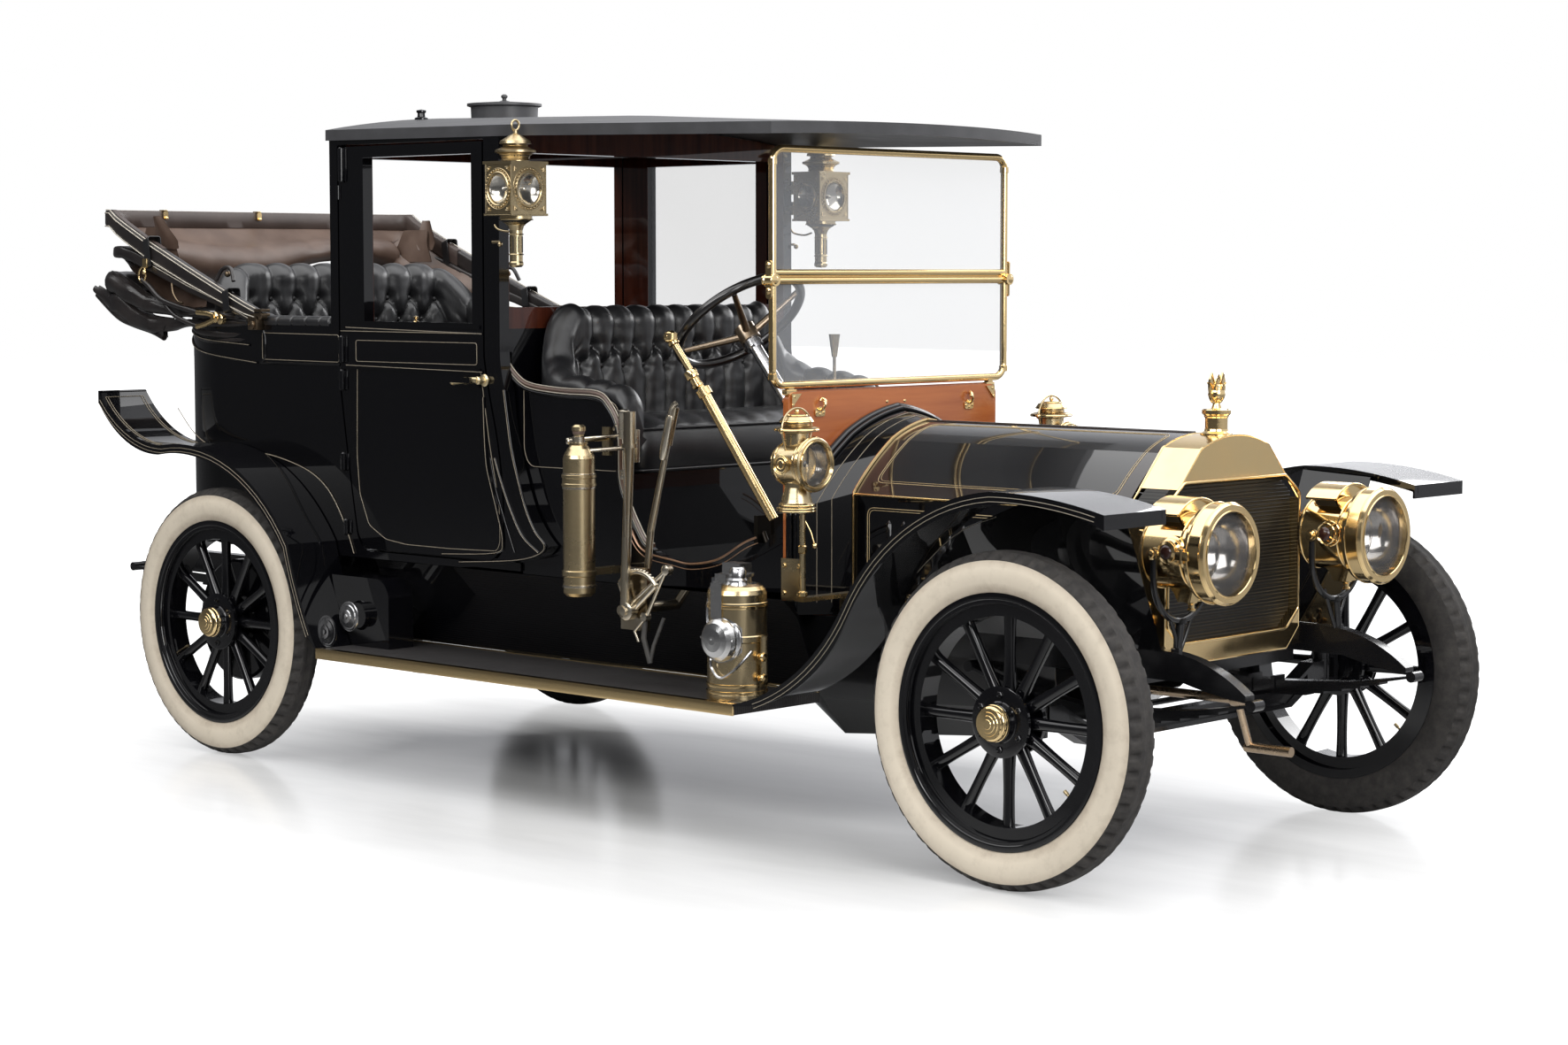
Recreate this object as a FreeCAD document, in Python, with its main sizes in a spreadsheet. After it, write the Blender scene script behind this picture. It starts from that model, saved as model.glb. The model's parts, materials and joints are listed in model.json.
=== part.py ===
import FreeCAD, Part
import Sketcher
import math
import os
from FreeCAD import Placement, Rotation, Vector

# Limousine of the brass era with a folding rear hood, in millimetres.
# +X is forward, +Y the car's left, +Z up. The origin is on the ground under the middle of the car.
# "Station" is the distance along X from the front axle, forward positive.

doc = FreeCAD.newDocument("brass_era_car")
sheet = doc.addObject("Spreadsheet::Sheet", "Sizes")

# alias, value, what it is
DRIVING_SIZES = [
    ("front_axle_x", 1868.5, "front axle from the origin"),
    ("wheelbase", 3302, "front axle to rear axle"),
    ("half_track", 782, "wheel plane from the middle"),
    ("tyre_radius", 440, "outside of the tyre"),
    ("tyre_half_width", 58, "half of the tyre's width"),
    ("bead_radius", 322, "where the tyre sits on the rim"),
    ("rim_half_width", 49, "half of the rim's width"),
    ("felloe_radius", 273, "inside of the wooden felloe"),
    ("spoke_count", 12, "spokes in each wheel"),
    ("spindle_radius", 24, "stub axle"),
    ("running_gap", 0.05, "radial play of a wheel on its stub axle"),
    ("kingpin_half_span", 665, "kingpin from the middle"),
    ("rail_inner", 364, "inner face of a frame rail"),
    ("rail_width", 40, "width of a frame rail"),
    ("rail_top", 603, "top of the frame"),
    ("rail_bottom", 528, "bottom of the frame"),
    ("spring_width", 44, "width of a leaf spring"),
    ("bonnet_front", 20, "station of the bonnet's front edge"),
    ("bonnet_rear", -943, "station of the bonnet's rear edge"),
    ("bonnet_half_width", 320, "bonnet side from the middle"),
    ("bonnet_shoulder", 955, "height of the bonnet's side hinge"),
    ("bonnet_crown", 1150, "height of the bonnet's centre hinge"),
    ("bonnet_sill", 625, "height of the bonnet's lower edge"),
    ("sheet_metal", 4, "panel thickness"),
    ("radiator_front", 150, "station of the radiator's front face"),
    ("dash_front", -1065, "station of the dash board's front face"),
    ("dash_thickness", 20, "thickness of the dash board"),
    ("dash_half_width", 470, "half of the dash board's width"),
    ("dash_top", 1245, "top of the dash board"),
    ("screen_half_width", 533, "half of the windscreen's width"),
    ("screen_bottom", 1254, "lower edge of the windscreen"),
    ("screen_split", 1574, "joint between the two panes"),
    ("screen_top", 1949, "upper edge of the windscreen"),
    ("screen_tube", 11, "radius of the windscreen's brass tube"),
    ("floor_top", 700, "top of the floor boards"),
    ("floor_thickness", 25, "thickness of the floor boards"),
    ("front_half_width", 605, "outside of the front seat's sides"),
    ("cab_half_width", 652, "outside of the cab"),
    ("panel_thickness", 40, "thickness of doors and cab walls"),
    ("door_front", -2168, "station of a door's front edge"),
    ("door_rear", -2856, "station of a door's hinge edge"),
    ("door_bottom", 705, "lower edge of a door"),
    ("door_top", 1984, "upper edge of a door"),
    ("sill_height", 1425, "window sill and arm rest height"),
    ("roof_thickness", 34, "thickness of the roof's edge"),
    ("fender_inner", 591, "inner edge of the fenders"),
    ("fender_outer", 850, "outer edge of the fenders"),
    ("fender_lip", 38, "depth of the fender's outer lip"),
    ("board_top", 398, "top of the running boards"),
    ("board_thickness", 30, "thickness of the running boards"),
    ("board_inner", 490, "inner edge of the running boards"),
    ("steering_rake", 50, "slope of the steering column, in degrees"),
]
for row, (alias, value, meaning) in enumerate(DRIVING_SIZES, start=1):
    sheet.set(f"A{row}", alias)
    sheet.set(f"B{row}", str(value))
    sheet.set(f"C{row}", meaning)
    sheet.setAlias(f"B{row}", alias)
doc.recompute()


class Size:
    """A number together with the sheet formula that gives it."""

    def __init__(self, value, text):
        self.value = float(value)
        self.text = text

    def __add__(self, other):
        other = size_of(other)
        return Size(self.value + other.value, f"({self.text} + {other.text})")

    def __sub__(self, other):
        other = size_of(other)
        return Size(self.value - other.value, f"({self.text} - {other.text})")

    def __mul__(self, other):
        other = size_of(other)
        return Size(self.value * other.value, f"({self.text} * {other.text})")

    def __truediv__(self, other):
        other = size_of(other)
        return Size(self.value / other.value, f"({self.text} / {other.text})")

    def __radd__(self, other):
        return size_of(other) + self

    def __rsub__(self, other):
        return size_of(other) - self

    def __rmul__(self, other):
        return size_of(other) * self

    def __neg__(self):
        return Size(-self.value, f"(-1 * {self.text})")


def size_of(value):
    return value if isinstance(value, Size) else Size(value, f"({float(value):g})")


def number(value):
    return value.value if isinstance(value, Size) else float(value)


def cell(alias):
    return Size(sheet.get(alias), f"Sizes.{alias}")


def station(distance):
    """X of a place measured from the front axle."""
    return cell("front_axle_x") + distance


FRONT_AXLE = cell("front_axle_x")
REAR_AXLE = cell("front_axle_x") - cell("wheelbase")
AXLE_HEIGHT = cell("tyre_radius")
METAL = cell("sheet_metal")
CAB = cell("cab_half_width")
WALL = cell("panel_thickness")


def bind(thing, **sizes):
    """Sets properties from sizes, and ties them to the sheet."""
    for name, value in sizes.items():
        value = size_of(value)
        setattr(thing, name, value.value)
        thing.setExpression(name, value.text)
    return thing


def place(thing, x=0, y=0, z=0, axis=(0, 0, 1), turn=0):
    """Puts thing at x, y, z, turned about axis, its place tied to the sheet."""
    thing.Placement = Placement(Vector(number(x), number(y), number(z)), Rotation(Vector(*axis), turn))
    for letter, value in (("x", x), ("y", y), ("z", z)):
        if isinstance(value, Size):
            thing.setExpression(f"Placement.Base.{letter}", value.text)
    return thing


def box(name, xs, ys, zs):
    """A box from low to high along each axis."""
    thing = doc.addObject("Part::Box", name)
    (x0, x1), (y0, y1), (z0, z1) = xs, ys, zs
    bind(thing, Length=size_of(x1) - x0, Width=size_of(y1) - y0, Height=size_of(z1) - z0)
    return place(thing, x0, y0, z0)


ALONG = {"x": ((0, 1, 0), 90), "y": ((1, 0, 0), -90), "z": ((0, 0, 1), 0)}


def cylinder(name, radius, length, x, y, z, along="z"):
    """A cylinder that starts at x, y, z and runs in the positive direction of one axis."""
    thing = doc.addObject("Part::Cylinder", name)
    bind(thing, Radius=radius, Height=length)
    return place(thing, x, y, z, *ALONG[along])


def rod(name, start, end, radius, end_radius=None):
    """A round bar between two points, tapered if it has an end radius."""
    a, b = (Vector(*[number(v) for v in p]) for p in (start, end))
    if end_radius is None:
        thing = doc.addObject("Part::Cylinder", name)
        bind(thing, Radius=radius, Height=(b - a).Length)
    else:
        thing = doc.addObject("Part::Cone", name)
        bind(thing, Radius1=radius, Radius2=end_radius, Height=(b - a).Length)
    place(thing, *start)
    thing.Placement.Rotation = Rotation(Vector(0, 0, 1), b - a)
    for letter, value in zip("xyz", start):
        if isinstance(value, Size):
            thing.setExpression(f"Placement.Base.{letter}", value.text)
    return thing


def fuse(name, things):
    joined = doc.addObject("Part::MultiFuse", name)
    joined.Shapes = list(things)
    return joined


def cut(name, base, tool):
    made = doc.addObject("Part::Cut", name)
    made.Base = base
    made.Tool = tool
    return made


def mirrored(name, thing):
    """The same piece on the other side of the car."""
    other = doc.addObject("Part::Mirroring", name)
    other.Source = thing
    other.Base = Vector(0, 0, 0)
    other.Normal = Vector(0, 1, 0)
    return other


def group(name, things):
    together = doc.addObject("Part::Compound", name)
    together.Links = list(things)
    return together


def both_sides(name, thing):
    return group(name, [thing, mirrored(f"{name}_other_side", thing)])


def solid(name, shape):
    """A sub-part whose shape is made with Part's functions."""
    thing = doc.addObject("Part::Feature", name)
    thing.Shape = shape
    return thing


# ---------------------------------------------------------------- sketches and features

PLANES = {"top": "XY_Plane", "side": "XZ_Plane", "front": "YZ_Plane"}


def new_body(name):
    return doc.addObject("PartDesign::Body", name)


def plane_of(body, role):
    return next(o for o in body.Origin.OriginFeatures if getattr(o, "Role", "") == role)


def sketch_on(body, plane, name, offset=0, shift=(0, 0)):
    sketch = body.newObject("Sketcher::SketchObject", name)
    sketch.AttachmentSupport = [(plane_of(body, PLANES[plane]), "")]
    sketch.MapMode = "FlatFace"
    sketch.AttachmentOffset = Placement(Vector(number(shift[0]), number(shift[1]), number(offset)), Rotation())
    for letter, value in zip("xyz", (*shift, offset)):
        if isinstance(value, Size):
            sketch.setExpression(f"AttachmentOffset.Base.{letter}", value.text)
    return sketch


def point_locks(geometry, end, x, y):
    """Constraints that tie one end of a line or arc to x and y, each with its sheet formula."""
    locks = []
    for kind, value, axis in (("DistanceX", size_of(x), -2), ("DistanceY", size_of(y), -1)):
        if abs(value.value) < 1e-9:
            locks.append((Sketcher.Constraint("PointOnObject", geometry, end, axis), None))
        else:
            locks.append((Sketcher.Constraint(kind, -1, 1, geometry, end, value.value), value.text))
    return locks


def constrain(sketch, locks):
    """Adds (constraint, formula) pairs in one go."""
    first = sketch.ConstraintCount
    sketch.addConstraint([constraint for constraint, formula in locks])
    for index, (constraint, formula) in enumerate(locks, start=first):
        if formula:
            sketch.setExpression(f"Constraints[{index}]", formula)


START, END = 1, 2


def outline(sketch, points):
    """A closed outline. A point is (x, y), or (x, y, via_x, via_y) to reach it by an arc through via."""
    spots = [Vector(number(p[0]), number(p[1]), 0) for p in points]
    count = len(points)
    first = sketch.GeometryCount
    curves, ends, locks = [], [], []
    for i, start in enumerate(spots):
        goal, end = points[(i + 1) % count], spots[(i + 1) % count]
        if len(goal) == 4:
            via = Vector(number(goal[2]), number(goal[3]), 0)
            curves.append(Part.Arc(start, via, end))
            turns_left = (via - start).cross(end - start).z > 0
            ends.append((START, END) if turns_left else (END, START))
        else:
            curves.append(Part.LineSegment(start, end))
            ends.append((START, END))
    sketch.addGeometry(curves, False)
    for i, (begin, finish) in enumerate(ends):
        following = (i + 1) % count
        locks += point_locks(first + i, begin, *points[i][:2])
        locks.append((Sketcher.Constraint("Coincident", first + i, finish, first + following, ends[following][0]), None))
        if isinstance(curves[i], Part.Arc):
            locks.append((Sketcher.Constraint("Radius", first + i, sketch.Geometry[first + i].Radius), None))
    constrain(sketch, locks)
    return sketch


def circle(sketch, x, y, radius):
    bound = size_of(radius)
    index = sketch.GeometryCount
    sketch.addGeometry(Part.Circle(Vector(number(x), number(y), 0), Vector(0, 0, 1), bound.value), False)
    constrain(sketch, point_locks(index, 3, x, y) + [(Sketcher.Constraint("Radius", index, bound.value), bound.text)])
    return sketch


def rectangle(sketch, x0, y0, x1, y1):
    return outline(sketch, [(x0, y0), (x1, y0), (x1, y1), (x0, y1)])


def pad(body, sketch, length, name, symmetric=False, backwards=False):
    feature = body.newObject("PartDesign::Pad", name)
    feature.Profile = sketch
    bind(feature, Length=length)
    feature.SideType = "Symmetric" if symmetric else "One side"
    feature.Reversed = backwards
    return feature


def pocket(body, sketch, name, length=None, symmetric=True, backwards=False):
    feature = body.newObject("PartDesign::Pocket", name)
    feature.Profile = sketch
    if length is None:
        feature.Type = "ThroughAll"
    else:
        bind(feature, Length=length)
    feature.SideType = "Symmetric" if symmetric else "One side"
    feature.Reversed = backwards
    return feature


def turned(body, sketch, name, axis="V_Axis"):
    feature = body.newObject("PartDesign::Revolution", name)
    feature.Profile = sketch
    feature.ReferenceAxis = (sketch, [axis])
    feature.Angle = 360
    return feature


def ring_pattern(body, originals, sketch, count, name, axis="V_Axis"):
    feature = body.newObject("PartDesign::PolarPattern", name)
    feature.Originals = originals
    feature.Axis = (sketch, [axis])
    feature.Angle = 360
    count = size_of(count)
    feature.Occurrences = int(count.value)
    feature.setExpression("Occurrences", count.text)
    body.Tip = feature
    return feature


def mirror_in_body(body, originals, name):
    feature = body.newObject("PartDesign::Mirrored", name)
    feature.Originals = originals
    feature.MirrorPlane = (plane_of(body, "XZ_Plane"), [""])
    body.Tip = feature
    return feature


def turned_body(name, points, axis="V_Axis"):
    """A body of revolution about its own Z axis from (radius, height) points."""
    body = new_body(name)
    sketch = sketch_on(body, "side", f"{name}_profile")
    outline(sketch, points)
    turned(body, sketch, f"{name}_turned", axis)
    return body


# ---------------------------------------------------------------- chassis


def chassis_frame():
    """Two rails that end in spring horns, tied by cross members."""
    body = new_body("chassis_frame")
    rails = sketch_on(body, "side", "rail_side", offset=cell("rail_inner"))
    top, bottom = cell("rail_top"), cell("rail_bottom")
    outline(rails, [
        (station(150), top),
        (station(466), 508, station(330), 582),
        (station(466), 490),
        (station(266), 526, station(370), 503),
        (station(150), bottom),
        (station(-900), bottom),
        (station(-1050), 490),
        (station(-2400), 490),
        (station(-2600), bottom),
        (station(-4080), bottom),
        (station(-4225), 528),
        (station(-4235), 552),
        (station(-4150), 585),
        (station(-4000), top),
    ])
    rail = pad(body, rails, cell("rail_width"), "rail")
    mirror_in_body(body, [rail], "other_rail")
    # name, underside, front edges
    for name, low, places in (("front", 500, [100]), ("rear", 545, [-1950, -2560, -3800])):
        ties = sketch_on(body, "top", f"{name}_tie_plan", offset=low)
        for place_x in places:
            rectangle(ties, station(place_x), -cell("rail_inner") - 4, station(place_x - 50), cell("rail_inner") + 4)
        pad(body, ties, 45, f"{name}_cross_members")
    arms = sketch_on(body, "side", "spring_hangers", offset=cell("rail_inner"))
    for place_x, height in ((-2560, 512), (-4215, 540)):
        circle(arms, station(place_x), height, 16)
    hanger = pad(body, arms, 490 - cell("spring_width") / 2 - cell("rail_inner"), "hanger_pins")
    mirror_in_body(body, [hanger], "other_hangers")
    return body


LEAVES = 6


def leaf_springs():
    """Four packs of stepped leaves, the main leaf rolled into an eye at both ends, clamped over its axle."""
    half = cell("spring_width") / 2
    # name, axle station, middle of the spring, front eye, rear eye, seat height, leaf thickness
    rows = [
        ("front", FRONT_AXLE, 384, (station(483), 484), (station(-450), 505), 398, 6.5),
        ("rear", REAR_AXLE, 490, (station(-2560), 512), (station(-4215), 540), 486, 7.5),
    ]
    made = []
    for name, axle, middle, front_eye, rear_eye, seat, thick in rows:
        body = new_body(f"{name}_spring")
        top = seat + LEAVES * thick
        leaves = sketch_on(body, "side", f"{name}_leaves", offset=size_of(middle) - half)
        under, over = [], []
        for eye, way in ((front_eye, 1), (rear_eye, -1)):
            reach = eye[0] - axle
            fall = eye[1] - top
            steps = []
            for i in range(LEAVES - 1):
                share = 0.3 + 0.62 * i / (LEAVES - 1)
                low = seat + i * thick + fall * share * share
                steps += [(axle + reach * share, low), (axle + reach * share, low + thick)]
            side = [(axle + way * 46, seat)] + steps + [(eye[0], eye[1] - thick / 2)]
            upper = [(eye[0], eye[1] + thick / 2), (axle + reach * 0.6, top + fall * 0.36), (axle + way * 46, top)]
            under.append(side)
            over.append(upper)
        outline(leaves, under[0] + over[0] + over[1][::-1] + under[1][::-1])
        pad(body, leaves, cell("spring_width"), f"{name}_pack")
        eyes = sketch_on(body, "side", f"{name}_eyes", offset=size_of(middle) - half)
        circle(eyes, *front_eye, 15)
        circle(eyes, *rear_eye, 15)
        pad(body, eyes, cell("spring_width"), f"{name}_rolled_eyes")
        clips = sketch_on(body, "side", f"{name}_clips", offset=size_of(middle) - half - 5)
        for place_x in (-44, 32):
            rectangle(clips, axle + place_x, seat + 2, axle + place_x + 12, top + 12)
        pad(body, clips, cell("spring_width") + 10, f"{name}_clip_bolts")
        made += [body, mirrored(f"{name}_spring_other_side", body)]
    return group("leaf_springs", made)


def front_axle():
    """A forged beam of I section that drops between the springs, a bored boss at each end."""
    body = new_body("front_axle")
    span = cell("kingpin_half_span")
    half_depth = 23
    beam = sketch_on(body, "front", "beam_front", offset=FRONT_AXLE)
    outline(beam, [
        (-480, 345), (480, 345), (600, 405), (span - 20, 415), (span - 20, 465), (590, 462), (470, 398),
        (-470, 398), (-590, 462), (-span + 20, 465), (-span + 20, 415), (-600, 405),
    ])
    pad(body, beam, 2 * half_depth, "beam", symmetric=True)
    for name, offset, backwards in (("front", half_depth, False), ("rear", -half_depth, True)):
        web = sketch_on(body, "front", f"{name}_flute", offset=FRONT_AXLE + offset)
        outline(web, [(-455, 358), (455, 358), (560, 412), (560, 432), (455, 385), (-455, 385), (-560, 432), (-560, 412)])
        pocket(body, web, f"{name}_flute_cut", 15, symmetric=False, backwards=backwards)
    bosses = sketch_on(body, "top", "boss_plan", offset=412)
    for side in (-1, 1):
        circle(bosses, FRONT_AXLE, side * span, 26)
    pad(body, bosses, 56, "bosses")
    bores = sketch_on(body, "top", "bore_plan", offset=412)
    for side in (-1, 1):
        circle(bores, FRONT_AXLE, side * span, 12 + cell("running_gap"))
    pocket(body, bores, "kingpin_bores", 200)
    return body


def knuckle(name, side):
    """A fork over the axle's boss, with the kingpin, the stub axle and a steering arm."""
    span = cell("kingpin_half_span")
    y = side * span
    web_in, web_out = sorted((number(y) + side * 31, number(y) + side * 51))
    lug_in, lug_out = sorted((number(y), number(y) + side * 51))
    tip = (FRONT_AXLE - 150, side * (span - 25), 352)
    pieces = [
        cylinder(f"{name}_kingpin", 12, 112, FRONT_AXLE, y, 384),
        cylinder(f"{name}_upper_eye", 26, 26, FRONT_AXLE, y, 469),
        cylinder(f"{name}_lower_eye", 26, 27, FRONT_AXLE, y, 384),
        box(f"{name}_upper_lug", (FRONT_AXLE - 24, FRONT_AXLE + 24), (lug_in, lug_out), (469, 495)),
        box(f"{name}_lower_lug", (FRONT_AXLE - 24, FRONT_AXLE + 24), (lug_in, lug_out), (384, 411)),
        box(f"{name}_web", (FRONT_AXLE - 24, FRONT_AXLE + 24), (web_in, web_out), (384, 495)),
        rod(f"{name}_stub", (FRONT_AXLE, y + side * 45, AXLE_HEIGHT), (FRONT_AXLE, y + side * 170, AXLE_HEIGHT),
            cell("spindle_radius")),
        rod(f"{name}_arm", (FRONT_AXLE - 15, y, 396), tip, 12),
        cylinder(f"{name}_arm_eye", 17, 35, tip[0], tip[1], 340),
    ]
    return fuse(name, pieces)


def tie_rod():
    """The bar behind the axle that turns both knuckles together."""
    span = cell("kingpin_half_span") - 25
    x = FRONT_AXLE - 150
    pieces = [rod("tie_bar", (x, -span, 386), (x, span, 386), 9)]
    for name, side in (("right", -1), ("left", 1)):
        pieces.append(cylinder(f"tie_eye_{name}", 17, 20, x, side * span, 376))
    return fuse("tie_rod", pieces)


def rear_axle():
    """Axle tube with its differential, brake plates, spring seats, stub axles and torque tube."""
    plate = 686
    pieces = [
        cylinder("axle_tube", 40, 2 * plate, REAR_AXLE, -plate, AXLE_HEIGHT, "y"),
        cylinder("differential", 140, 170, REAR_AXLE, -85, AXLE_HEIGHT, "y"),
        rod("torque_tube", (REAR_AXLE, 0, AXLE_HEIGHT), (station(-1762), 0, 500), 38, 30),
    ]
    for name, side in (("right", -1), ("left", 1)):
        low, high = sorted((side * plate, side * (plate - 6)))
        spring_low, spring_high = sorted((side * 468, side * 512))
        pieces += [
            rod(f"{name}_bell", (REAR_AXLE, side * 85, AXLE_HEIGHT), (REAR_AXLE, side * 250, AXLE_HEIGHT), 140, 48),
            cylinder(f"{name}_brake_plate", 186, 6, REAR_AXLE, low, AXLE_HEIGHT, "y"),
            rod(f"{name}_stub", (REAR_AXLE, side * 680, AXLE_HEIGHT), (REAR_AXLE, side * 835, AXLE_HEIGHT),
                cell("spindle_radius")),
            box(f"{name}_spring_seat", (REAR_AXLE - 48, REAR_AXLE + 48), (spring_low, spring_high), (440, 485)),
        ]
    return fuse("rear_axle", pieces)


def engine_block():
    """Engine, clutch shaft and gearbox as plain masses, on arms from rail to rail."""
    inner = cell("rail_inner")
    return fuse("engine_block", [
        box("engine", (station(-880), station(-215)), (-165, 165), (440, 930)),
        box("front_arm", (station(-300), station(-240)), (-inner, inner), (560, 600)),
        box("rear_arm", (station(-860), station(-800)), (-inner, inner), (560, 600)),
        cylinder("clutch_shaft", 45, 372, station(-1252), 0, 540, "x"),
        box("gearbox", (station(-1760), station(-1250)), (-140, 140), (424, 640)),
        box("gearbox_arm", (station(-1560), station(-1500)), (-inner, inner), (560, 600)),
    ])


def undertray():
    """The sheet pan below the engine, open at the top and at both ends."""
    # station, bottom height
    rows = [(-196, 408), (-400, 296), (-1050, 238), (-1300, 402)]
    sections = []
    for place_x, low in rows:
        bilge = low + (526 - low) * 0.4
        outer = [(345, 526), (338, bilge), (240, low), (-240, low), (-338, bilge), (-345, 526)]
        inner = [(-341, 526), (-334, bilge + 2), (-238, low + 4), (238, low + 4), (334, bilge + 2), (341, 526)]
        points = [Vector(number(station(place_x)), y, z) for y, z in outer + inner]
        sections.append(Part.makePolygon(points + points[:1]))
    return solid("undertray", Part.makeLoft(sections, True, True))


def exhaust():
    """The silencer on the car's right, with its pipes."""
    y = -235
    return fuse("exhaust", [
        cylinder("silencer", 68, 620, station(-2470), y, 425, "x"),
        rod("front_pipe", (station(-700), -205, 500), (station(-1860), y, 425), 21),
        rod("tail_pipe", (station(-2465), y, 425), (station(-2960), y, 400), 19),
    ])


# ---------------------------------------------------------------- wheels


def wheel(name, axle_x, side, drum):
    """Artillery wheel: turned felloe and rim, turned hub with its cap, and a ring of wooden spokes."""
    body = new_body(name)
    rim_half, bead = cell("rim_half_width"), cell("bead_radius")
    felloe = sketch_on(body, "top", f"{name}_felloe_profile")
    outline(felloe, [
        (cell("felloe_radius"), -33), (cell("felloe_radius"), 33), (bead - 14, 33), (bead - 14, rim_half),
        (bead + 12, rim_half), (bead + 12, rim_half - 5), (bead, rim_half - 7), (bead, 7 - rim_half),
        (bead + 12, 5 - rim_half), (bead + 12, -rim_half), (bead - 14, -rim_half), (bead - 14, -33),
    ])
    turned(body, felloe, f"{name}_felloe")
    spoke = sketch_on(body, "top", f"{name}_spoke_profile")
    tip = cell("felloe_radius") + 10
    outline(spoke, [(56, 0), (tip, 0), (tip, 17), (56, 20, (tip + 56) / 2, 15)])
    one = turned(body, spoke, f"{name}_spoke", "H_Axis")
    ring_pattern(body, [one], spoke, cell("spoke_count"), f"{name}_spokes")
    bore = cell("spindle_radius") + cell("running_gap")
    hub = sketch_on(body, "top", f"{name}_hub_profile")
    outline(hub, [
        (bore, 60), (46, 60), (46, 38), (90, 38), (90, 26), (62, 24), (62, -24), (90, -26), (90, -38),
        (52, -42), (50, -60), (46, -62), (46, -76), (38, -86), (0, -86), (0, -60), (bore, -60),
    ])
    body.Tip = turned(body, hub, f"{name}_hub")
    if drum:
        brake = sketch_on(body, "top", f"{name}_drum_profile")
        outline(brake, [(80, 36), (192, 40), (200, 48), (200, 104), (193, 104), (193, 52), (80, 46)])
        body.Tip = turned(body, brake, f"{name}_drum")
    return place(body, axle_x, side * cell("half_track"), AXLE_HEIGHT, turn=0 if side < 0 else 180)


def tyre(name, axle_x, side):
    """Round section tyre, bedded on the rim."""
    bead, outer, half = cell("bead_radius"), cell("tyre_radius"), cell("tyre_half_width")
    rim_half = cell("rim_half_width")
    body = new_body(name)
    section = sketch_on(body, "top", f"{name}_section")
    middle = (bead + outer) / 2 + 4
    outline(section, [
        (bead, 7.5 - rim_half), (bead, rim_half - 7.5), (bead + 12, rim_half - 6),
        (outer - 17, half - 19, middle, half), (outer - 17, 19 - half, outer, 0),
        (bead + 12, 6 - rim_half, middle, -half),
    ])
    turned(body, section, f"{name}_carcass")
    return place(body, axle_x, side * cell("half_track"), AXLE_HEIGHT, turn=0 if side < 0 else 180)


# ---------------------------------------------------------------- radiator, bonnet and scuttle


def radiator_shell():
    """Brass shell with cut corners, its filler neck and a plain leaf finial."""
    body = new_body("radiator_shell")
    depth = cell("radiator_front") - cell("bonnet_front")
    face = sketch_on(body, "front", "shell_outline", offset=station(cell("bonnet_front")))
    crown = cell("bonnet_crown")
    outline(face, [
        (-258, 545), (258, 545), (317, 602), (317, 955), (160, 1118),
        (-160, 1118, 0, crown), (-317, 955), (-317, 602),
    ])
    pad(body, face, depth, "shell")
    opening = sketch_on(body, "front", "core_opening", offset=station(cell("bonnet_front")))
    outline(opening, core_outline())
    pocket(body, opening, "core_cut")
    neck_x = station(85)
    neck = sketch_on(body, "side", "neck_profile", shift=(neck_x, 0))
    outline(neck, [
        (0, 1110), (31, 1110), (31, 1202), (39, 1206), (39, 1214), (14, 1220), (9, 1236),
        (21, 1256, 18, 1242), (0, 1300, 16, 1282),
    ])
    body.Tip = turned(body, neck, "neck_and_cap")
    leaves = sketch_on(body, "front", "leaf_outline", offset=neck_x)
    for side in (-1, 1):
        outline(leaves, [
            (side * 4, 1232), (side * 34, 1262, side * 24, 1238), (side * 24, 1318, side * 36, 1292), (side * 6, 1270),
        ])
    body.Tip = pad(body, leaves, 7, "leaves", symmetric=True)
    return body


def core_outline():
    return [
        (-250, 602), (250, 602), (308, 652), (308, 979), (238, 1030), (-238, 1030), (-308, 979), (-308, 652),
    ]


def radiator_core():
    body = new_body("radiator_core")
    face = sketch_on(body, "front", "core_face", offset=station(45))
    outline(face, core_outline())
    pad(body, face, 75, "core")
    return body


# Half of an arch from its foot to its crown: (half width, height, share of the metal taken off each)
def bonnet_arch(foot, shoulder, crown, half_width):
    return [
        (half_width, foot, 1, 0),
        (half_width, shoulder, 1, 0.4),
        (half_width * 0.78, shoulder + (crown - shoulder) * 0.37, 0.7, 0.7),
        (half_width * 0.48, shoulder + (crown - shoulder) * 0.75, 0.4, 0.9),
        (half_width * 0.25, shoulder + (crown - shoulder) * 0.91, 0.2, 1),
        (0, crown, 0, 1),
    ]


def front_arch():
    """The bonnet's section where it meets the radiator."""
    return bonnet_arch(number(cell("bonnet_sill")), number(cell("bonnet_shoulder")),
                       number(cell("bonnet_crown")), 317)


def rear_arch():
    """The bonnet's section where it meets the scuttle."""
    return bonnet_arch(number(cell("bonnet_sill")), number(cell("bonnet_shoulder")),
                       number(cell("bonnet_crown")), number(cell("bonnet_half_width")))


def half_shell_wire(x, arch, metal, side, start, middle_gap):
    """A closed band that follows one half of an arch from its start to the crown."""
    outer, inner = [], []
    for half_width, height, across, down in arch[start:]:
        outer.append(Vector(x, side * max(half_width, middle_gap), height))
        inner.append(Vector(x, side * max(half_width - metal * across, middle_gap), height - metal * down))
    edges = []
    for line in (outer, inner):
        steps = line if len(line) % 2 else line[1:]
        if steps is not line:
            edges.append(Part.makeLine(line[0], line[1]))
        for i in range(0, len(steps) - 2, 2):
            edges.append(Part.Arc(steps[i], steps[i + 1], steps[i + 2]).toShape())
    edges.append(Part.makeLine(outer[0], inner[0]))
    edges.append(Part.makeLine(outer[-1], inner[-1]))
    return Part.Wire(Part.__sortEdges__(edges))


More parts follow.
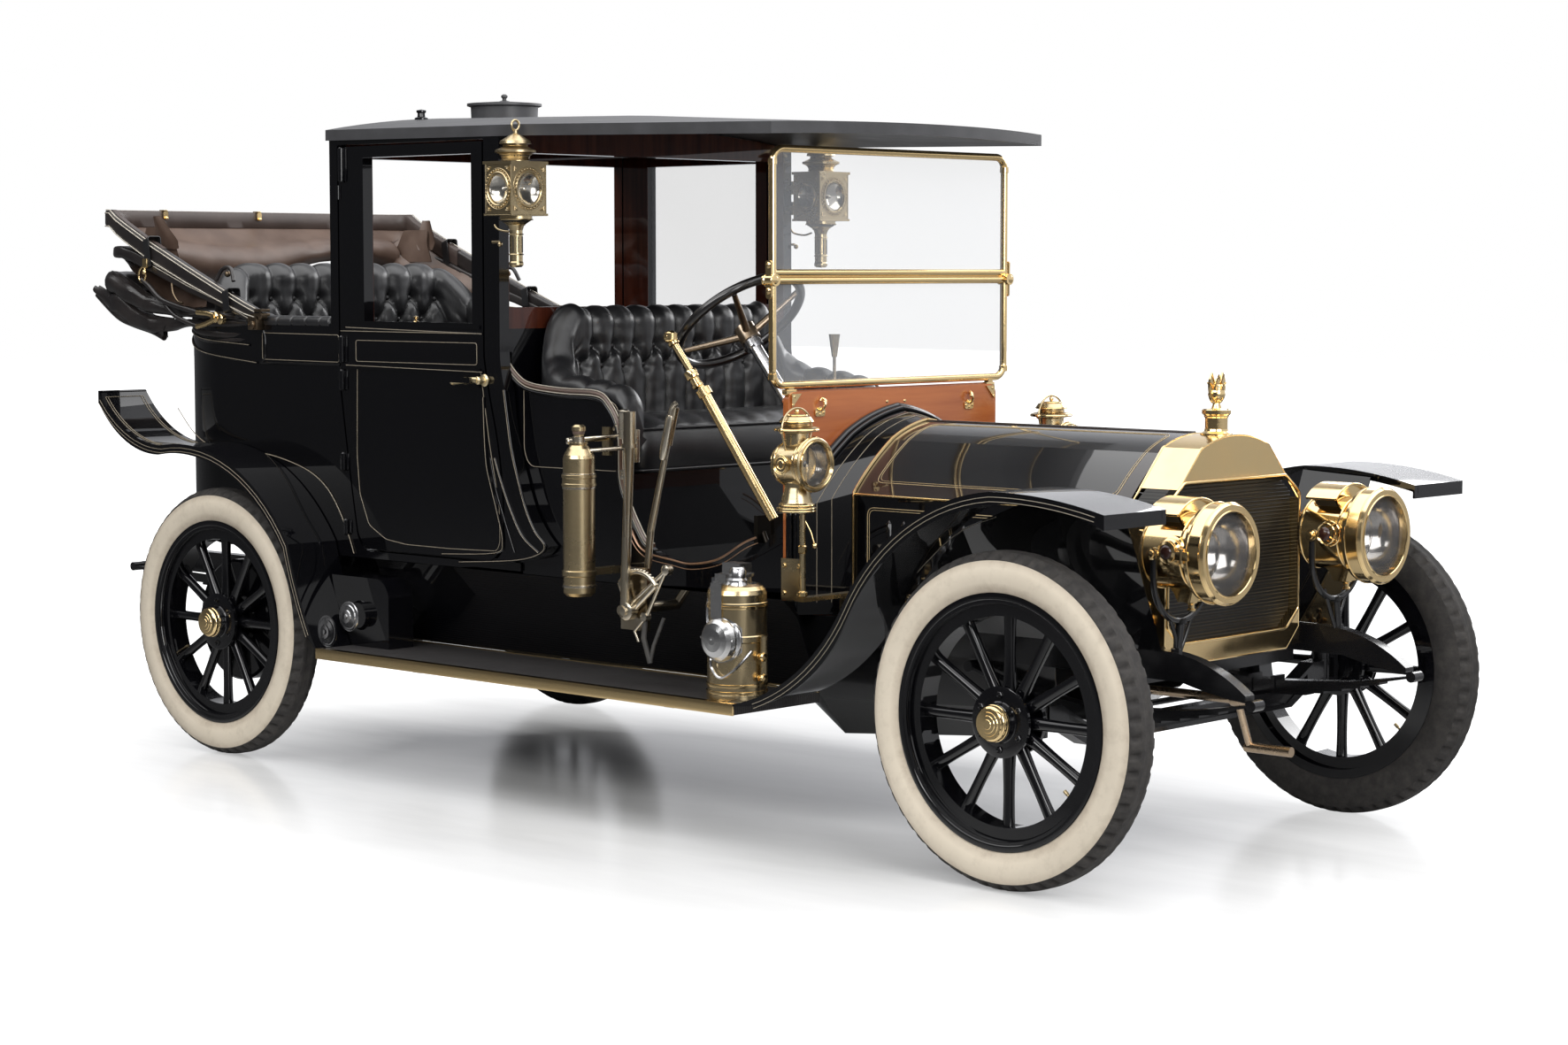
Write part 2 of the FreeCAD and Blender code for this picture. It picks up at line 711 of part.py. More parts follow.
def bonnet_top(name, side):
    """One half of the bonnet's roof, from the centre hinge to the side hinge."""
    metal = number(METAL)
    gap = 4 if side < 0 else 10
    wires = [
        half_shell_wire(number(station(cell("bonnet_front") - 5)), front_arch(), metal, side, 1, gap),
        half_shell_wire(number(station(cell("bonnet_rear") + 5)), rear_arch(), metal, side, 1, gap),
    ]
    leaf = Part.makeLoft(wires, True, True)
    if side < 0:
        length = number(cell("bonnet_front") - cell("bonnet_rear")) - 10
        start = Vector(number(station(cell("bonnet_rear") + 5)), 0, number(cell("bonnet_crown")))
        leaf = leaf.fuse(Part.makeCylinder(5, length, start, Vector(1, 0, 0)))
    return solid(name, leaf)


def bonnet_side(name, side):
    """The upright panel that hangs from the bonnet's side hinge."""
    outer = cell("bonnet_half_width")
    ys = (-outer, METAL - outer) if side < 0 else (outer - METAL, outer)
    return box(name, (station(cell("bonnet_rear") + 5), station(cell("bonnet_front") - 5)), ys,
               (cell("bonnet_sill") + 3, cell("bonnet_shoulder") - 7))


def scuttle():
    """The cowl that flares from the bonnet to the dash board."""
    metal = number(METAL) + 1
    foot = 605
    dash = bonnet_arch(foot, 905, 1189, number(cell("dash_half_width")))
    near = [(w, foot if i == 0 else z, a, d) for i, (w, z, a, d) in enumerate(rear_arch())]
    halves = []
    for side in (-1, 1):
        wires = [
            half_shell_wire(number(station(cell("bonnet_rear"))), near, metal, side, 0, 0),
            half_shell_wire(number(station(cell("dash_front"))), dash, metal, side, 0, 0),
        ]
        halves.append(Part.makeLoft(wires, True, True))
    return solid("scuttle", halves[0].fuse(halves[1]).removeSplitter())


def dash_board():
    """The mahogany board that carries the windscreen."""
    body = new_body("dash_board")
    half, top = cell("dash_half_width"), cell("dash_top")
    face = sketch_on(body, "front", "dash_face", offset=station(cell("dash_front") - cell("dash_thickness")))
    outline(face, [
        (-half, 605), (half, 605), (half, top - 30), (half - 30, top, half - 9, top - 9),
        (30 - half, top), (-half, top - 30, 9 - half, top - 9),
    ])
    pad(body, face, cell("dash_thickness"), "board")
    return body


SCREEN_X = station(-1078)


def windscreen_frame():
    """Brass tube round both panes, with a rail on each side of the split and two feet on the dash."""
    tube, half = cell("screen_tube"), cell("screen_half_width") - cell("screen_tube")
    low, high = cell("screen_bottom") + tube, cell("screen_top") - tube
    corner = 40
    pieces = []
    for name, z in (("bottom", low), ("top", high)):
        pieces.append(rod(f"screen_{name}", (SCREEN_X, corner - half, z), (SCREEN_X, half - corner, z), tube))
    for name, z in (("lower_rail", cell("screen_split") - tube), ("upper_rail", cell("screen_split") + tube)):
        pieces.append(rod(f"screen_{name}", (SCREEN_X, -half, z), (SCREEN_X, half, z), tube - 0.5))
    # corner, side, height, quarter turns of the bend
    corners = [("left_top", 1, high - corner, 0), ("right_top", -1, high - corner, 1),
               ("right_bottom", -1, low + corner, 2), ("left_bottom", 1, low + corner, 3)]
    for name, side, z, turns in corners:
        bend = doc.addObject("Part::Torus", f"screen_bend_{name}")
        bind(bend, Radius1=corner, Radius2=tube, Angle3=90)
        place(bend, SCREEN_X, side * (half - corner), z)
        bend.Placement.Rotation = Rotation(Vector(1, 0, 0), 90 * turns) * Rotation(Vector(1, 1, 1), 120)
        pieces.append(bend)
    for name, side in (("right", -1), ("left", 1)):
        post_y = side * half
        foot_low, foot_high = sorted((side * 440, side * 462))
        split = cell("screen_split")
        link_low, link_high = sorted((number(post_y) + side * 4, number(post_y) + side * 14))
        pieces += [
            rod(f"screen_post_{name}", (SCREEN_X, post_y, low + corner), (SCREEN_X, post_y, high - corner), tube),
            box(f"screen_foot_{name}", (SCREEN_X - 8, SCREEN_X + 8), (foot_low, foot_high), (cell("dash_top"), low)),
            box(f"screen_link_{name}", (SCREEN_X - 9, SCREEN_X + 9), (link_low, link_high), (split - 55, split + 42)),
            cylinder(f"screen_knob_{name}", 17, 42, SCREEN_X - 21, post_y + side * 6, split - 9, "x"),
        ]
    return fuse("windscreen_frame", pieces)


def windscreen_glass():
    """The two panes inside the brass frame."""
    tube, half = cell("screen_tube"), cell("screen_half_width") - 2 * cell("screen_tube")
    low, high, split = cell("screen_bottom") + 2 * tube, cell("screen_top") - 2 * tube, cell("screen_split")
    body = new_body("windscreen_glass")
    face = sketch_on(body, "front", "panes", offset=SCREEN_X)
    cut_corner = 34
    outline(face, [
        (-half, low + cut_corner), (cut_corner - half, low, 10 - half, low + 10), (half - cut_corner, low),
        (half, low + cut_corner, half - 10, low + 10), (half, split - 2 * tube), (-half, split - 2 * tube),
    ])
    outline(face, [
        (-half, split + 2 * tube), (half, split + 2 * tube), (half, high - cut_corner),
        (half - cut_corner, high, half - 10, high - 10), (cut_corner - half, high),
        (-half, high - cut_corner, 10 - half, high - 10),
    ])
    pad(body, face, 5, "panes_pad", symmetric=True)
    return body


# ---------------------------------------------------------------- coachwork


def padded_outline(name, plane, points, start, length):
    """A plain padded block from one outline."""
    body = new_body(name)
    face = sketch_on(body, plane, f"{name}_outline", offset=start)
    outline(face, points)
    pad(body, face, length, f"{name}_pad")
    return body


def common(name, things):
    made = doc.addObject("Part::MultiCommon", name)
    made.Shapes = list(things)
    return made


SPAN = 700
ENTRY_SPLIT = station(-2046)


def body_front():
    """Front compartment: low U-shaped entries, floor, seat box, toe board and sills."""
    half, dash_half = cell("front_half_width"), cell("dash_half_width")
    back, front = ENTRY_SPLIT, station(-1085)
    bend = station(-1600)
    skin = 22
    pillar = station(-2091)
    silhouette = padded_outline("front_side_view", "side", [
        (pillar, 702), (back, 702), (back, 668), (front, 668), (front, 830),
        (station(-1358), 744, station(-1200), 762), (station(-1606), 1000, station(-1546), 804),
        (station(-1609), 1090), (station(-1710), 1227, station(-1634), 1186), (station(-1990), 1241),
        (pillar, 1300, station(-2050), 1262),
    ], -SPAN, 2 * SPAN)
    walls = []
    for side in (-1, 1):
        walls.append(padded_outline(f"front_wall_plan_{'right' if side < 0 else 'left'}", "top", [
            (pillar, side * half), (bend, side * half), (front, side * dash_half),
            (front, side * (dash_half - skin)), (bend, side * (half - skin)), (pillar, side * (half - skin)),
        ], 660, 660))
    sides = common("front_sides", [silhouette, group("front_walls", walls)])
    inner, dash_inner = half - skin, dash_half - skin
    floor = padded_outline("front_floor", "top", [
        (back, -inner), (bend, -inner), (front, -dash_inner), (front, dash_inner), (bend, inner), (back, inner),
    ], cell("floor_top") - cell("floor_thickness"), cell("floor_thickness"))
    toe = padded_outline("toe_board", "side", [
        (front, 690), (front, 880), (front - 14, 880), (station(-1290), 690),
    ], -dash_inner, 2 * dash_inner)
    rail_in, rail_out = cell("rail_inner"), cell("rail_inner") + cell("rail_width")
    pieces = [
        sides, floor, toe,
        box("seat_box", (back, station(-1668)), (-inner, inner), (690, 985)),
    ]
    for name, low, high in (("right", -rail_out, -rail_in), ("left", rail_in, rail_out)):
        pieces.append(box(f"front_sill_{name}", (back, front), (low, high), (cell("rail_top"), 680)))
    return fuse("body_front", pieces)


def front_seat():
    """Cushion, and a back that curves round into the arms."""
    half = 581
    cushion = box("front_cushion", (station(-1965), station(-1660)), (-490, 490), (986, 1138))
    silhouette = padded_outline("front_seat_side_view", "side", [
        (station(-2088), 1145), (station(-2020), 986), (station(-1612), 986), (station(-1612), 1150),
        (station(-1710), 1264, station(-1636), 1240), (station(-1880), 1278), (station(-2000), 1328, station(-1946), 1296),
        (station(-2036), 1500, station(-2024), 1410), (station(-2088), 1500),
    ], -SPAN, 2 * SPAN)
    plan = padded_outline("front_seat_plan", "top", [
        (station(-1612), -half), (station(-1612), 92 - half), (station(-1900), 96 - half),
        (station(-1972), 190 - half, station(-1960), 120 - half), (station(-1972), half - 190),
        (station(-1900), half - 96, station(-1960), half - 120), (station(-1612), half - 92), (station(-1612), half),
        (station(-2000), half), (station(-2088), half - 90, station(-2066), half - 22), (station(-2088), 90 - half),
        (station(-2000), -half, station(-2066), 22 - half),
    ], 980, 560)
    back = common("front_back_rest", [silhouette, plan])
    return group("front_seat", [cushion, back])


def door_points(gap):
    """A door's outline, grown by a gap all round. The foot swells forward and the rear is cut for the fender."""
    rear, front = cell("door_rear") + FRONT_AXLE - gap, cell("door_front") + FRONT_AXLE + gap
    low, high = cell("door_bottom") - gap, cell("door_top") + gap
    return [
        (rear, high), (rear, 1239 - gap / 2),
        (station(-2780) - gap, 770, station(-2818) - gap, 985),
        (station(-2690), low, station(-2752) - gap, 722 - gap),
        (station(-2150), low),
        (station(-2083) + gap, 800, station(-2100) + gap, 736 - gap),
        (station(-2128) + gap, 1150, station(-2094) + gap, 985),
        (front, 1330, station(-2152) + gap, 1246),
        (front, high),
    ]


def door(name, side):
    """A coach door hung at its rear edge, as thick as the wall, with its window cut and a belt moulding."""
    body = new_body(f"{name}_panel_body")
    face = sketch_on(body, "side", f"{name}_face", offset=CAB - WALL if side < 0 else -CAB)
    outline(face, door_points(size_of(0)))
    pad(body, face, WALL, f"{name}_panel")
    window = sketch_on(body, "side", f"{name}_window", offset=-side * CAB)
    rectangle(window, station(-2735), cell("sill_height") + 6, station(-2218), 1948)
    pocket(body, window, f"{name}_window_cut")
    belt = sketch_on(body, "side", f"{name}_belt", offset=CAB if side < 0 else -CAB - 5)
    for low, high in ((1278, 1292), (1412, 1424)):
        rectangle(belt, station(-2850), low, station(-2180), high)
    body.Tip = pad(body, belt, 5, f"{name}_mouldings")
    y = side * number(CAB)
    mount, grip = station(-2192), station(-2284)
    handle_y = sorted((y + side * 30, y + side * 42))
    fittings = [
        box(f"{name}_handle_plate", (mount - 9, mount + 9), sorted((y - side * 2, y + side * 4)), (1234, 1280)),
        cylinder(f"{name}_handle_stem", 7, 34, mount, min(y - side * 2, y + side * 32), 1257, "y"),
        box(f"{name}_handle_grip", (grip, mount + 8), handle_y, (1249, 1265)),
    ]
    for i, height in enumerate((1264, 1348, 1840)):
        fittings.append(cylinder(f"{name}_hinge_{i + 1}", 6, 44, station(-2856), y + side * 3, height - 22))
    return fuse(name, [body, *fittings])


def door_glass(name, side):
    """The raised pane, held in the door's run."""
    y = side * (CAB - WALL / 2)
    return box(name, (station(-2735), station(-2218)), (y - 3, y + 3), (cell("sill_height") + 6, 1948))


def cab_body():
    """Hollow rear compartment: side walls with the door openings cut, floor, tub, header and seat box."""
    floor_top = cell("floor_top")
    under = floor_top - cell("floor_thickness")
    front, end = station(-2048), station(-2864)
    walls = []
    for side in (-1, 1):
        name = "right" if side < 0 else "left"
        start = CAB - WALL if side < 0 else -CAB
        plate = padded_outline(f"cab_wall_{name}", "side", [
            (station(-2902), under), (station(-2281), under), (station(-1928), 731, station(-2100), 697),
            (station(-1880), 764, station(-1897), 744), (station(-2005), 946, station(-1954), 840),
            (station(-2071), 1230, station(-2049), 1085), (station(-2092), 1345, station(-2086), 1288),
            (station(-2092), 1999), (station(-2902), 2008),
        ], start, WALL)
        gap = padded_outline(f"door_opening_{name}", "side", door_points(size_of(7)), start - 10, WALL + 20)
        walls.append(cut(f"cab_side_{name}", plate, gap))
    inner = CAB - WALL
    tub = []
    # name, inset, floor height
    for name, inset, low in (("outer", 0, under), ("inner", number(WALL), floor_top)):
        view = padded_outline(f"tub_view_{name}", "side", [
            (end + (1 if inset else 0), low), (station(-3480), low),
            (station(-3800 + inset), 1000, station(-3725 + inset), 800),
            (station(-3887 + inset), 1420, station(-3862 + inset), 1200),
            (end + (1 if inset else 0), 1420 + (5 if inset else 0)),
        ], -SPAN, 2 * SPAN)
        half = CAB - inset
        rear = station(-3887 + inset)
        plan = padded_outline(f"tub_plan_{name}", "top", [
            (end + (1 if inset else 0), -half), (end + (1 if inset else 0), half), (station(-3500), half),
            (rear, half - 330, station(-3790 + inset * 0.8), half - 118), (rear, 330 - half),
            (station(-3500), -half, station(-3790 + inset * 0.8), 118 - half),
        ], 650, 800)
        tub.append(common(f"tub_{name}", [view, plan]))
    shell = cut("tub", *tub)
    rail_in, rail_out = cell("rail_inner"), cell("rail_inner") + cell("rail_width")
    pieces = walls + [
        shell,
        box("cab_floor", (station(-2902), front), (-inner - 1, inner + 1), (under, floor_top)),
        box("rear_seat_box", (station(-3660), station(-3190)), (-inner, inner), (floor_top - 5, 878)),
        box("partition_foot", (station(-2118), station(-2092)), (8 - inner, inner - 8), (floor_top - 5, 1345)),
        box("partition", (station(-2118), station(-2092)), (-inner - 1, inner + 1), (1344, 1480)),
    ]
    # name, rear face, thickness, height at the walls, height in the middle
    for name, place_x, thick, edge, crown in (("front", -2150, 55, 2000, 2040), ("rear", -2902, 40, 2010, 2060)):
        pieces.append(padded_outline(f"header_{name}", "front", [
            (-inner - 1, 1950), (inner + 1, 1950), (inner + 1, edge), (-inner - 1, edge, 0, crown),
        ], station(place_x), thick))
    for name, low, high in (("right", -rail_out, -rail_in), ("left", rail_in, rail_out)):
        pieces.append(box(f"cab_sill_{name}", (station(-3600), front), (low, high), (cell("rail_top"), under + 5)))
    return fuse("cab_body", pieces)


def roof():
    """The fixed roof: arched across, falling to a bowed visor over the windscreen."""
    thick = number(cell("roof_thickness"))
    # station, half width, edge height, crown height
    rows = [(-2990, 668, 2006, 2100), (-2000, 652, 1996, 2076), (-900, 604, 1972, 2016)]
    sections = []
    for place_x, half, edge, crown in rows:
        x = number(station(place_x))
        top = Part.Arc(Vector(x, -half, edge + thick), Vector(x, 0, crown), Vector(x, half, edge + thick))
        under = Part.Arc(Vector(x, half, edge), Vector(x, 0, crown - thick), Vector(x, -half, edge))
        sides = [Part.makeLine(top.EndPoint, under.StartPoint), Part.makeLine(under.EndPoint, top.StartPoint)]
        sections.append(Part.Wire([top.toShape(), sides[0], under.toShape(), sides[1]]))
    arch = solid("roof_arch", Part.makeLoft(sections, True, True))
    plan = padded_outline("roof_plan", "top", [
        (station(-2902), -SPAN), (station(-1025), -SPAN), (station(-1025), SPAN, station(-930), 0),
        (station(-2902), SPAN),
    ], 1900, 300)
    return common("roof", [arch, plan])


def ventilator():
    """The round roof ventilator with its lid and knob."""
    body = turned_body("ventilator", [
        (0, 2091), (110, 2091), (112, 2132), (124, 2136), (124, 2144), (20, 2152), (7, 2156), (7, 2162),
        (11, 2166), (11, 2171), (5, 2176), (0, 2176),
    ])
    return place(body, station(-2790), 0, 0)


def rear_seat():
    """Deep rear cushion, and a tall back that curves round into the arms."""
    half = 590
    cushion = box("rear_cushion", (station(-3620), station(-3150)), (-480, 480), (880, 1060))
    silhouette = padded_outline("rear_seat_side_view", "side", [
        (station(-3640), 880), (station(-3180), 880), (station(-3180), 1360), (station(-3260), 1432, station(-3200), 1418),
        (station(-3480), 1470), (station(-3640), 1618, station(-3590), 1560), (station(-3745), 1618),
        (station(-3735), 1100),
    ], -SPAN, 2 * SPAN)
    plan = padded_outline("rear_seat_plan", "top", [
        (station(-3180), -half), (station(-3180), 105 - half), (station(-3520), 110 - half),
        (station(-3630), 240 - half, station(-3600), 145 - half), (station(-3630), half - 240),
        (station(-3520), half - 110, station(-3600), half - 145), (station(-3180), half - 105), (station(-3180), half),
        (station(-3500), half), (station(-3745), half - 230, station(-3682), half - 60), (station(-3745), 230 - half),
        (station(-3500), -half, station(-3682), 60 - half),
    ], 870, 760)
    back = common("rear_back_rest", [silhouette, plan])
    return group("rear_seat", [cushion, back])


def folded_hood():
    """The leather hood folded down behind the seat: two rising arms, a deep back and the slack below it."""
    silhouette = padded_outline("hood_side_view", "side", [
        (station(-3300), 1428), (station(-3300), 1458), (station(-3620), 1596), (station(-4082), 1806),
        (station(-4142), 1790, station(-4120), 1812), (station(-4218), 1596, station(-4188), 1690),
        (station(-4210), 1500, station(-4228), 1548), (station(-3850), 1368, station(-4070), 1400),
        (station(-3783), 1372), (station(-3783), 1428),
    ], -SPAN, 2 * SPAN)
    half = 678
    plan = padded_outline("hood_plan", "top", [
        (station(-3290), -half), (station(-3960), -half), (station(-4240), 200 - half, station(-4166), 52 - half),
        (station(-4240), half - 200), (station(-3960), half, station(-4166), half - 52), (station(-3290), half),
        (station(-3290), half - 74), (station(-3880), half - 78), (station(-4020), half - 220, station(-3990), half - 116),
        (station(-4020), 220 - half), (station(-3880), 78 - half, station(-3990), 116 - half), (station(-3290), 74 - half),
    ], 1300, 600)
    apron = box("hood_apron", (station(-4060), station(-3852)), (-575, 575), (1424, 1470))
    return fuse("folded_hood", [common("hood_folds", [silhouette, plan]), apron])


def hood_irons():
    """The jointed side irons that fold the hood, on a pivot plate at each side."""
    y = 688
    pieces = [
        rod("iron_lower", (station(-3312), -y, 1440), (station(-3700), -y, 1612), 9),
        rod("iron_upper", (station(-3700), -y, 1612), (station(-4080), -y, 1792), 8),
        cylinder("iron_pivot", 26, 24, station(-3312), -y - 12, 1440, "y"),
        cylinder("iron_joint", 17, 24, station(-3700), -y - 12, 1612, "y"),
        cylinder("iron_end", 15, 24, station(-4080), -y - 12, 1792, "y"),
    ]
    return both_sides("hood_irons", fuse("hood_iron_set", pieces))


# ---------------------------------------------------------------- fenders and boards

# Crown line of each fender from its free end to the running board: (station, height) or with an arc's via point.
FRONT_CROWN = [(347, 992), (-20, 1032, 170, 1024), (-524, 692, -318, 922), (-921, 400, -690, 505)]
REAR_CROWN = [(-3915, 1184), (-3560, 1012, -3752, 1054), (-2888, 722, -3140, 944), (-2754, 400, -2826, 545)]


def lowered(line, drop, along):
    """A fender's line moved in by drop, with its free end held upright and its foot held level."""
    low = [(line[0][0], line[0][1] - drop)]
    for before, point, after in zip(line, line[1:], line[2:] + [None]):
        lean = 0.5 if after else 0
        low.append((
            point[0] - along * drop * lean, point[1] - (drop * 0.85 if after else 6),
            point[2] - along * drop * 0.6, point[3] - drop * 0.75,
        ))
    return low


def band(line, drop, along):
    """A closed outline between a fender's line and the same line lowered."""
    upper = [tuple(station(v) if i % 2 == 0 else v for i, v in enumerate(point)) for point in line]
    low = lowered(line, drop, along)
    under = [(station(low[-1][0]), low[-1][1])]
    for target, passed in zip(low[-2::-1], low[:0:-1]):
        under.append((station(target[0]), target[1], station(passed[2]), passed[3]))
    return upper + under


def sorted_pair(x0, z0, x1, z1):
    """The corners of an upright rectangle, its stations in rising order."""
    low, high = sorted((x0, x1))
    return station(low), z0, station(high), z1


def fender(name, crown, along, inner):
    """A fender of sheet metal: the crowned sheet, and the lip that hangs from its outer edge."""
    body = new_body(name)
    outer, lip = cell("fender_outer"), number(cell("fender_lip"))
    top = sketch_on(body, "side", f"{name}_sheet_view", offset=inner)
    outline(top, band(crown, 6, along))
    pad(body, top, outer - inner, f"{name}_sheet")
    tip_x, tip_z = crown[0]
    rim = sketch_on(body, "side", f"{name}_tip_view", offset=inner)
    rectangle(rim, *sorted_pair(tip_x, tip_z - lip, tip_x + 6 * along, tip_z - 4))
    pad(body, rim, outer - inner, f"{name}_tip")
    edge = sketch_on(body, "side", f"{name}_lip_view", offset=outer - 7)
    outline(edge, band(crown, lip, along))
    body.Tip = pad(body, edge, 7, f"{name}_lip")
    return body


def front_fenders():
    return both_sides("front_fenders", fender("front_fender", FRONT_CROWN, -1, cell("fender_inner")))


def rear_fenders():
    return both_sides("rear_fenders", fender("rear_fender", REAR_CROWN, 1, CAB + 4))


def running_boards():
    """A long step each side, on two brackets from the frame."""
    top, outer = cell("board_top"), cell("fender_outer")
    pieces = [box("board", (station(-2750), station(-924)), (-outer, -cell("board_inner")),
                  (top - cell("board_thickness"), top))]
    for name, place_x in (("front", -1250), ("rear", -2350)):
        pieces.append(box(f"{name}_bracket", (station(place_x), station(place_x + 40)),
                          (-outer + 60, -cell("rail_inner")), (top - cell("board_thickness") - 14, 370)))
        pieces.append(box(f"{name}_hanger", (station(place_x), station(place_x + 40)),
                          (-cell("rail_inner") - cell("rail_width"), -cell("rail_inner")), (354, 490)))
    return both_sides("running_boards", fuse("running_board", pieces))


def splash_aprons():
    """Sloping sheets from the frame to the running boards, and from the frame up to the front fenders."""
    long_apron = padded_outline("board_apron", "front", [
        (-604, 666), (-598, 666), (-cell("board_inner"), 402), (-cell("board_inner") - 6, 402),
    ], station(-2750), 2750 - 924)
    # station, height where the apron meets the fender
    rows = [(205, 1008), (-20, 1020), (-318, 905), (-524, 680)]
    sections = []
    for place_x, high in rows:
        x = number(station(place_x))
        corners = [Vector(x, -591, high), Vector(x, -587, high), Vector(x, -406, 603), Vector(x, -410, 603)]
        sections.append(Part.makePolygon(corners + corners[:1]))
    wheel_apron = solid("wheel_apron", Part.makeLoft(sections, True, True))
    return both_sides("splash_aprons", group("splash_apron_set", [long_apron, wheel_apron]))


def tool_boxes():
    """Round-nosed boxes ahead of the rear fenders, each with a round cap on its outer face."""
    chest = padded_outline("tool_chest", "side", [
        (station(-2748), cell("board_top")), (station(-2566), cell("board_top")), (station(-2566), 560),
        (station(-2630), 619, station(-2584), 600), (station(-2846), 619), (station(-2806), 505, station(-2832), 562),
    ], 606, 100)
    cap = cylinder("tool_chest_cap", 40, 24, station(-2690), -730, 500, "y")
    return both_sides("tool_boxes", fuse("tool_box", [chest, cap]))


# ---------------------------------------------------------------- lamps

LAMP_AXIS = (station(0), -368, 866)


def saddle(name, radius, thick, reach, xs, y, z):
    """A duct bent over a lamp's drum: a band of the drum's own curve, reach degrees to each side."""
    lean = math.radians(reach)
    inner, outer = radius, radius + thick
    body = new_body(name)
    face = sketch_on(body, "front", f"{name}_face", offset=xs[0])
    outline(face, [
        (y - inner * math.sin(lean), z + inner * math.cos(lean)),
        (y + inner * math.sin(lean), z + inner * math.cos(lean), y, z + inner),
        (y + outer * math.sin(lean), z + outer * math.cos(lean)),
        (y - outer * math.sin(lean), z + outer * math.cos(lean), y, z + outer),
    ])
    pad(body, face, size_of(xs[1]) - xs[0], f"{name}_duct")
    return body


def headlamps():
    """Acetylene headlamps: drum and broad flared rim, arched chimney, jewel in stepped rings, burner box below."""
    drum = turned_body("headlamp_drum", [
        (0, 156), (60, 158), (90, 166), (100, 178), (100, 306), (107, 310), (107, 318), (116, 326), (130, 334),
        (132, 344), (132, 386), (127, 394), (110, 394), (110, 372), (114, 366), (114, 350),
        (84, 300), (0, 252, 44, 262),
    ])
    place(drum, *LAMP_AXIS, axis=(0, 1, 0), turn=90)
    x, y, z = LAMP_AXIS
    burner = padded_outline("burner_box", "side", [
        (x + 212, z - 84), (x + 300, z - 84), (x + 296, z - 106), (x + 290, z - 130), (x + 250, z - 131), (x + 238, z - 108),
    ], number(-y) - 34, 68)
    jewel = turned_body("jewel_rings", [
        (0, 90), (40, 90), (40, 106), (34, 110), (34, 118), (28, 122), (28, 134), (20, 138), (15, 132), (0, 136),
    ])
    place(jewel, x + 284, y, z + 8, axis=(1, 0, 0), turn=90)
    pieces = [
        drum, burner, jewel,
        saddle("chimney", 96, 40, 37, (x + 208, x + 282), y, z),
        saddle("chimney_lid", 134, 8, 43, (x + 198, x + 292), y, z),
        cylinder("trunnion", 13, 258, x + 236, y - 129, z, "y"),
    ]
    return both_sides("headlamps", fuse("headlamp", pieces))


def lamp_brackets():
    """Forged forks that hold the headlamps, each on a stem from the spring horn."""
    x, y, z = LAMP_AXIS[0] + 236, LAMP_AXIS[1], LAMP_AXIS[2]
    reach, drop = 121, 62
    fork = doc.addObject("Part::Torus", "lamp_fork")
    bind(fork, Radius1=reach, Radius2=9, Angle3=180)
    place(fork, x, y, z - drop)
    fork.Placement.Rotation = Rotation(Vector(1, 0, 0), 180) * Rotation(Vector(1, 1, 1), 120)
    pieces = [fork, rod("lamp_stem", (x, y, z - drop - reach), (x, -384, 585), 12)]
    for name, side in (("outer", -1), ("inner", 1)):
        pieces.append(cylinder(f"{name}_fork_arm", 9, drop, x, y + side * reach, z - drop))
        pieces.append(cylinder(f"{name}_fork_eye", 17, 12, x, y + side * reach - 6, z, "y"))
    return both_sides("lamp_brackets", fuse("lamp_bracket", pieces))


def coach_lamps():
    """Square candle lamps on the front posts: panelled lantern with oval lights, stepped chimney, long tail."""
    x, y = station(-1984), -680
    half_x, half_y, low, high = 58, 70, 1758, 1912
    top = turned_body("coach_lamp_top", [
        (0, 1908), (40, 1908), (40, 1922), (46, 1938), (62, 1944), (62, 1950), (40, 1960), (34, 1962),
        (34, 1968), (48, 1970), (46, 1978), (20, 1994), (8, 2000), (8, 2010), (0, 2010),
    ])
    place(top, x, y, 0)
    tail = turned_body("coach_lamp_tail", [
        (0, 1601), (16, 1602), (22, 1608), (22, 1615), (20, 1619), (20, 1712), (25, 1727), (49, 1744), (49, 1760), (0, 1760),
    ])
    place(tail, x, y, 0)
    ring = doc.addObject("Part::Torus", "coach_lamp_ring")
    bind(ring, Radius1=15, Radius2=3.5)
    place(ring, x, y, 2025, axis=(0, 1, 0), turn=90)
    pieces = [
        top, tail, ring,
        box("lantern_roof", (x - half_x - 5, x + half_x + 5), (y - half_y - 5, y + half_y + 5), (high - 4, high + 5)),
        box("lantern_base", (x - half_x - 4, x + half_x + 4), (y - half_y - 4, y + half_y + 4), (low - 3, low + 4)),
        box("lower_arm", (station(-2094), x - half_x), (-651, -630), (1790, 1806)),
        box("upper_arm", (station(-2094), x - half_x), (-651, -630), (1858, 1874)),
        lantern_frame(x, y, half_x, half_y, low, high),
    ]
    return both_sides("coach_lamps", fuse("coach_lamp", pieces))


def lantern_frame(x, y, half_x, half_y, low, high):
    """The lantern's four walls, each with its oval light cut through."""
    middle, depth = (low + high) / 2, 5
    shell = cut("lantern_shell",
                box("lantern_outside", (x - half_x, x + half_x), (y - half_y, y + half_y), (low, high)),
                box("lantern_inside", (x - half_x + depth, x + half_x - depth),
                    (y - half_y + depth, y + half_y - depth), (low + depth, high - depth)))
    lights = []
    for name, along, across, radius in (("front", "x", half_y, 47), ("side", "y", half_x, 43)):
        light = cylinder(f"{name}_light", radius, 400, x if along == "y" else x - 200,
                         y if along == "x" else y - 200, middle, along)
        lights.append(light)
    return cut("lantern_walls", shell, fuse("lantern_lights", lights))


DASH_LAMP = (station(-932), -578, 1052)


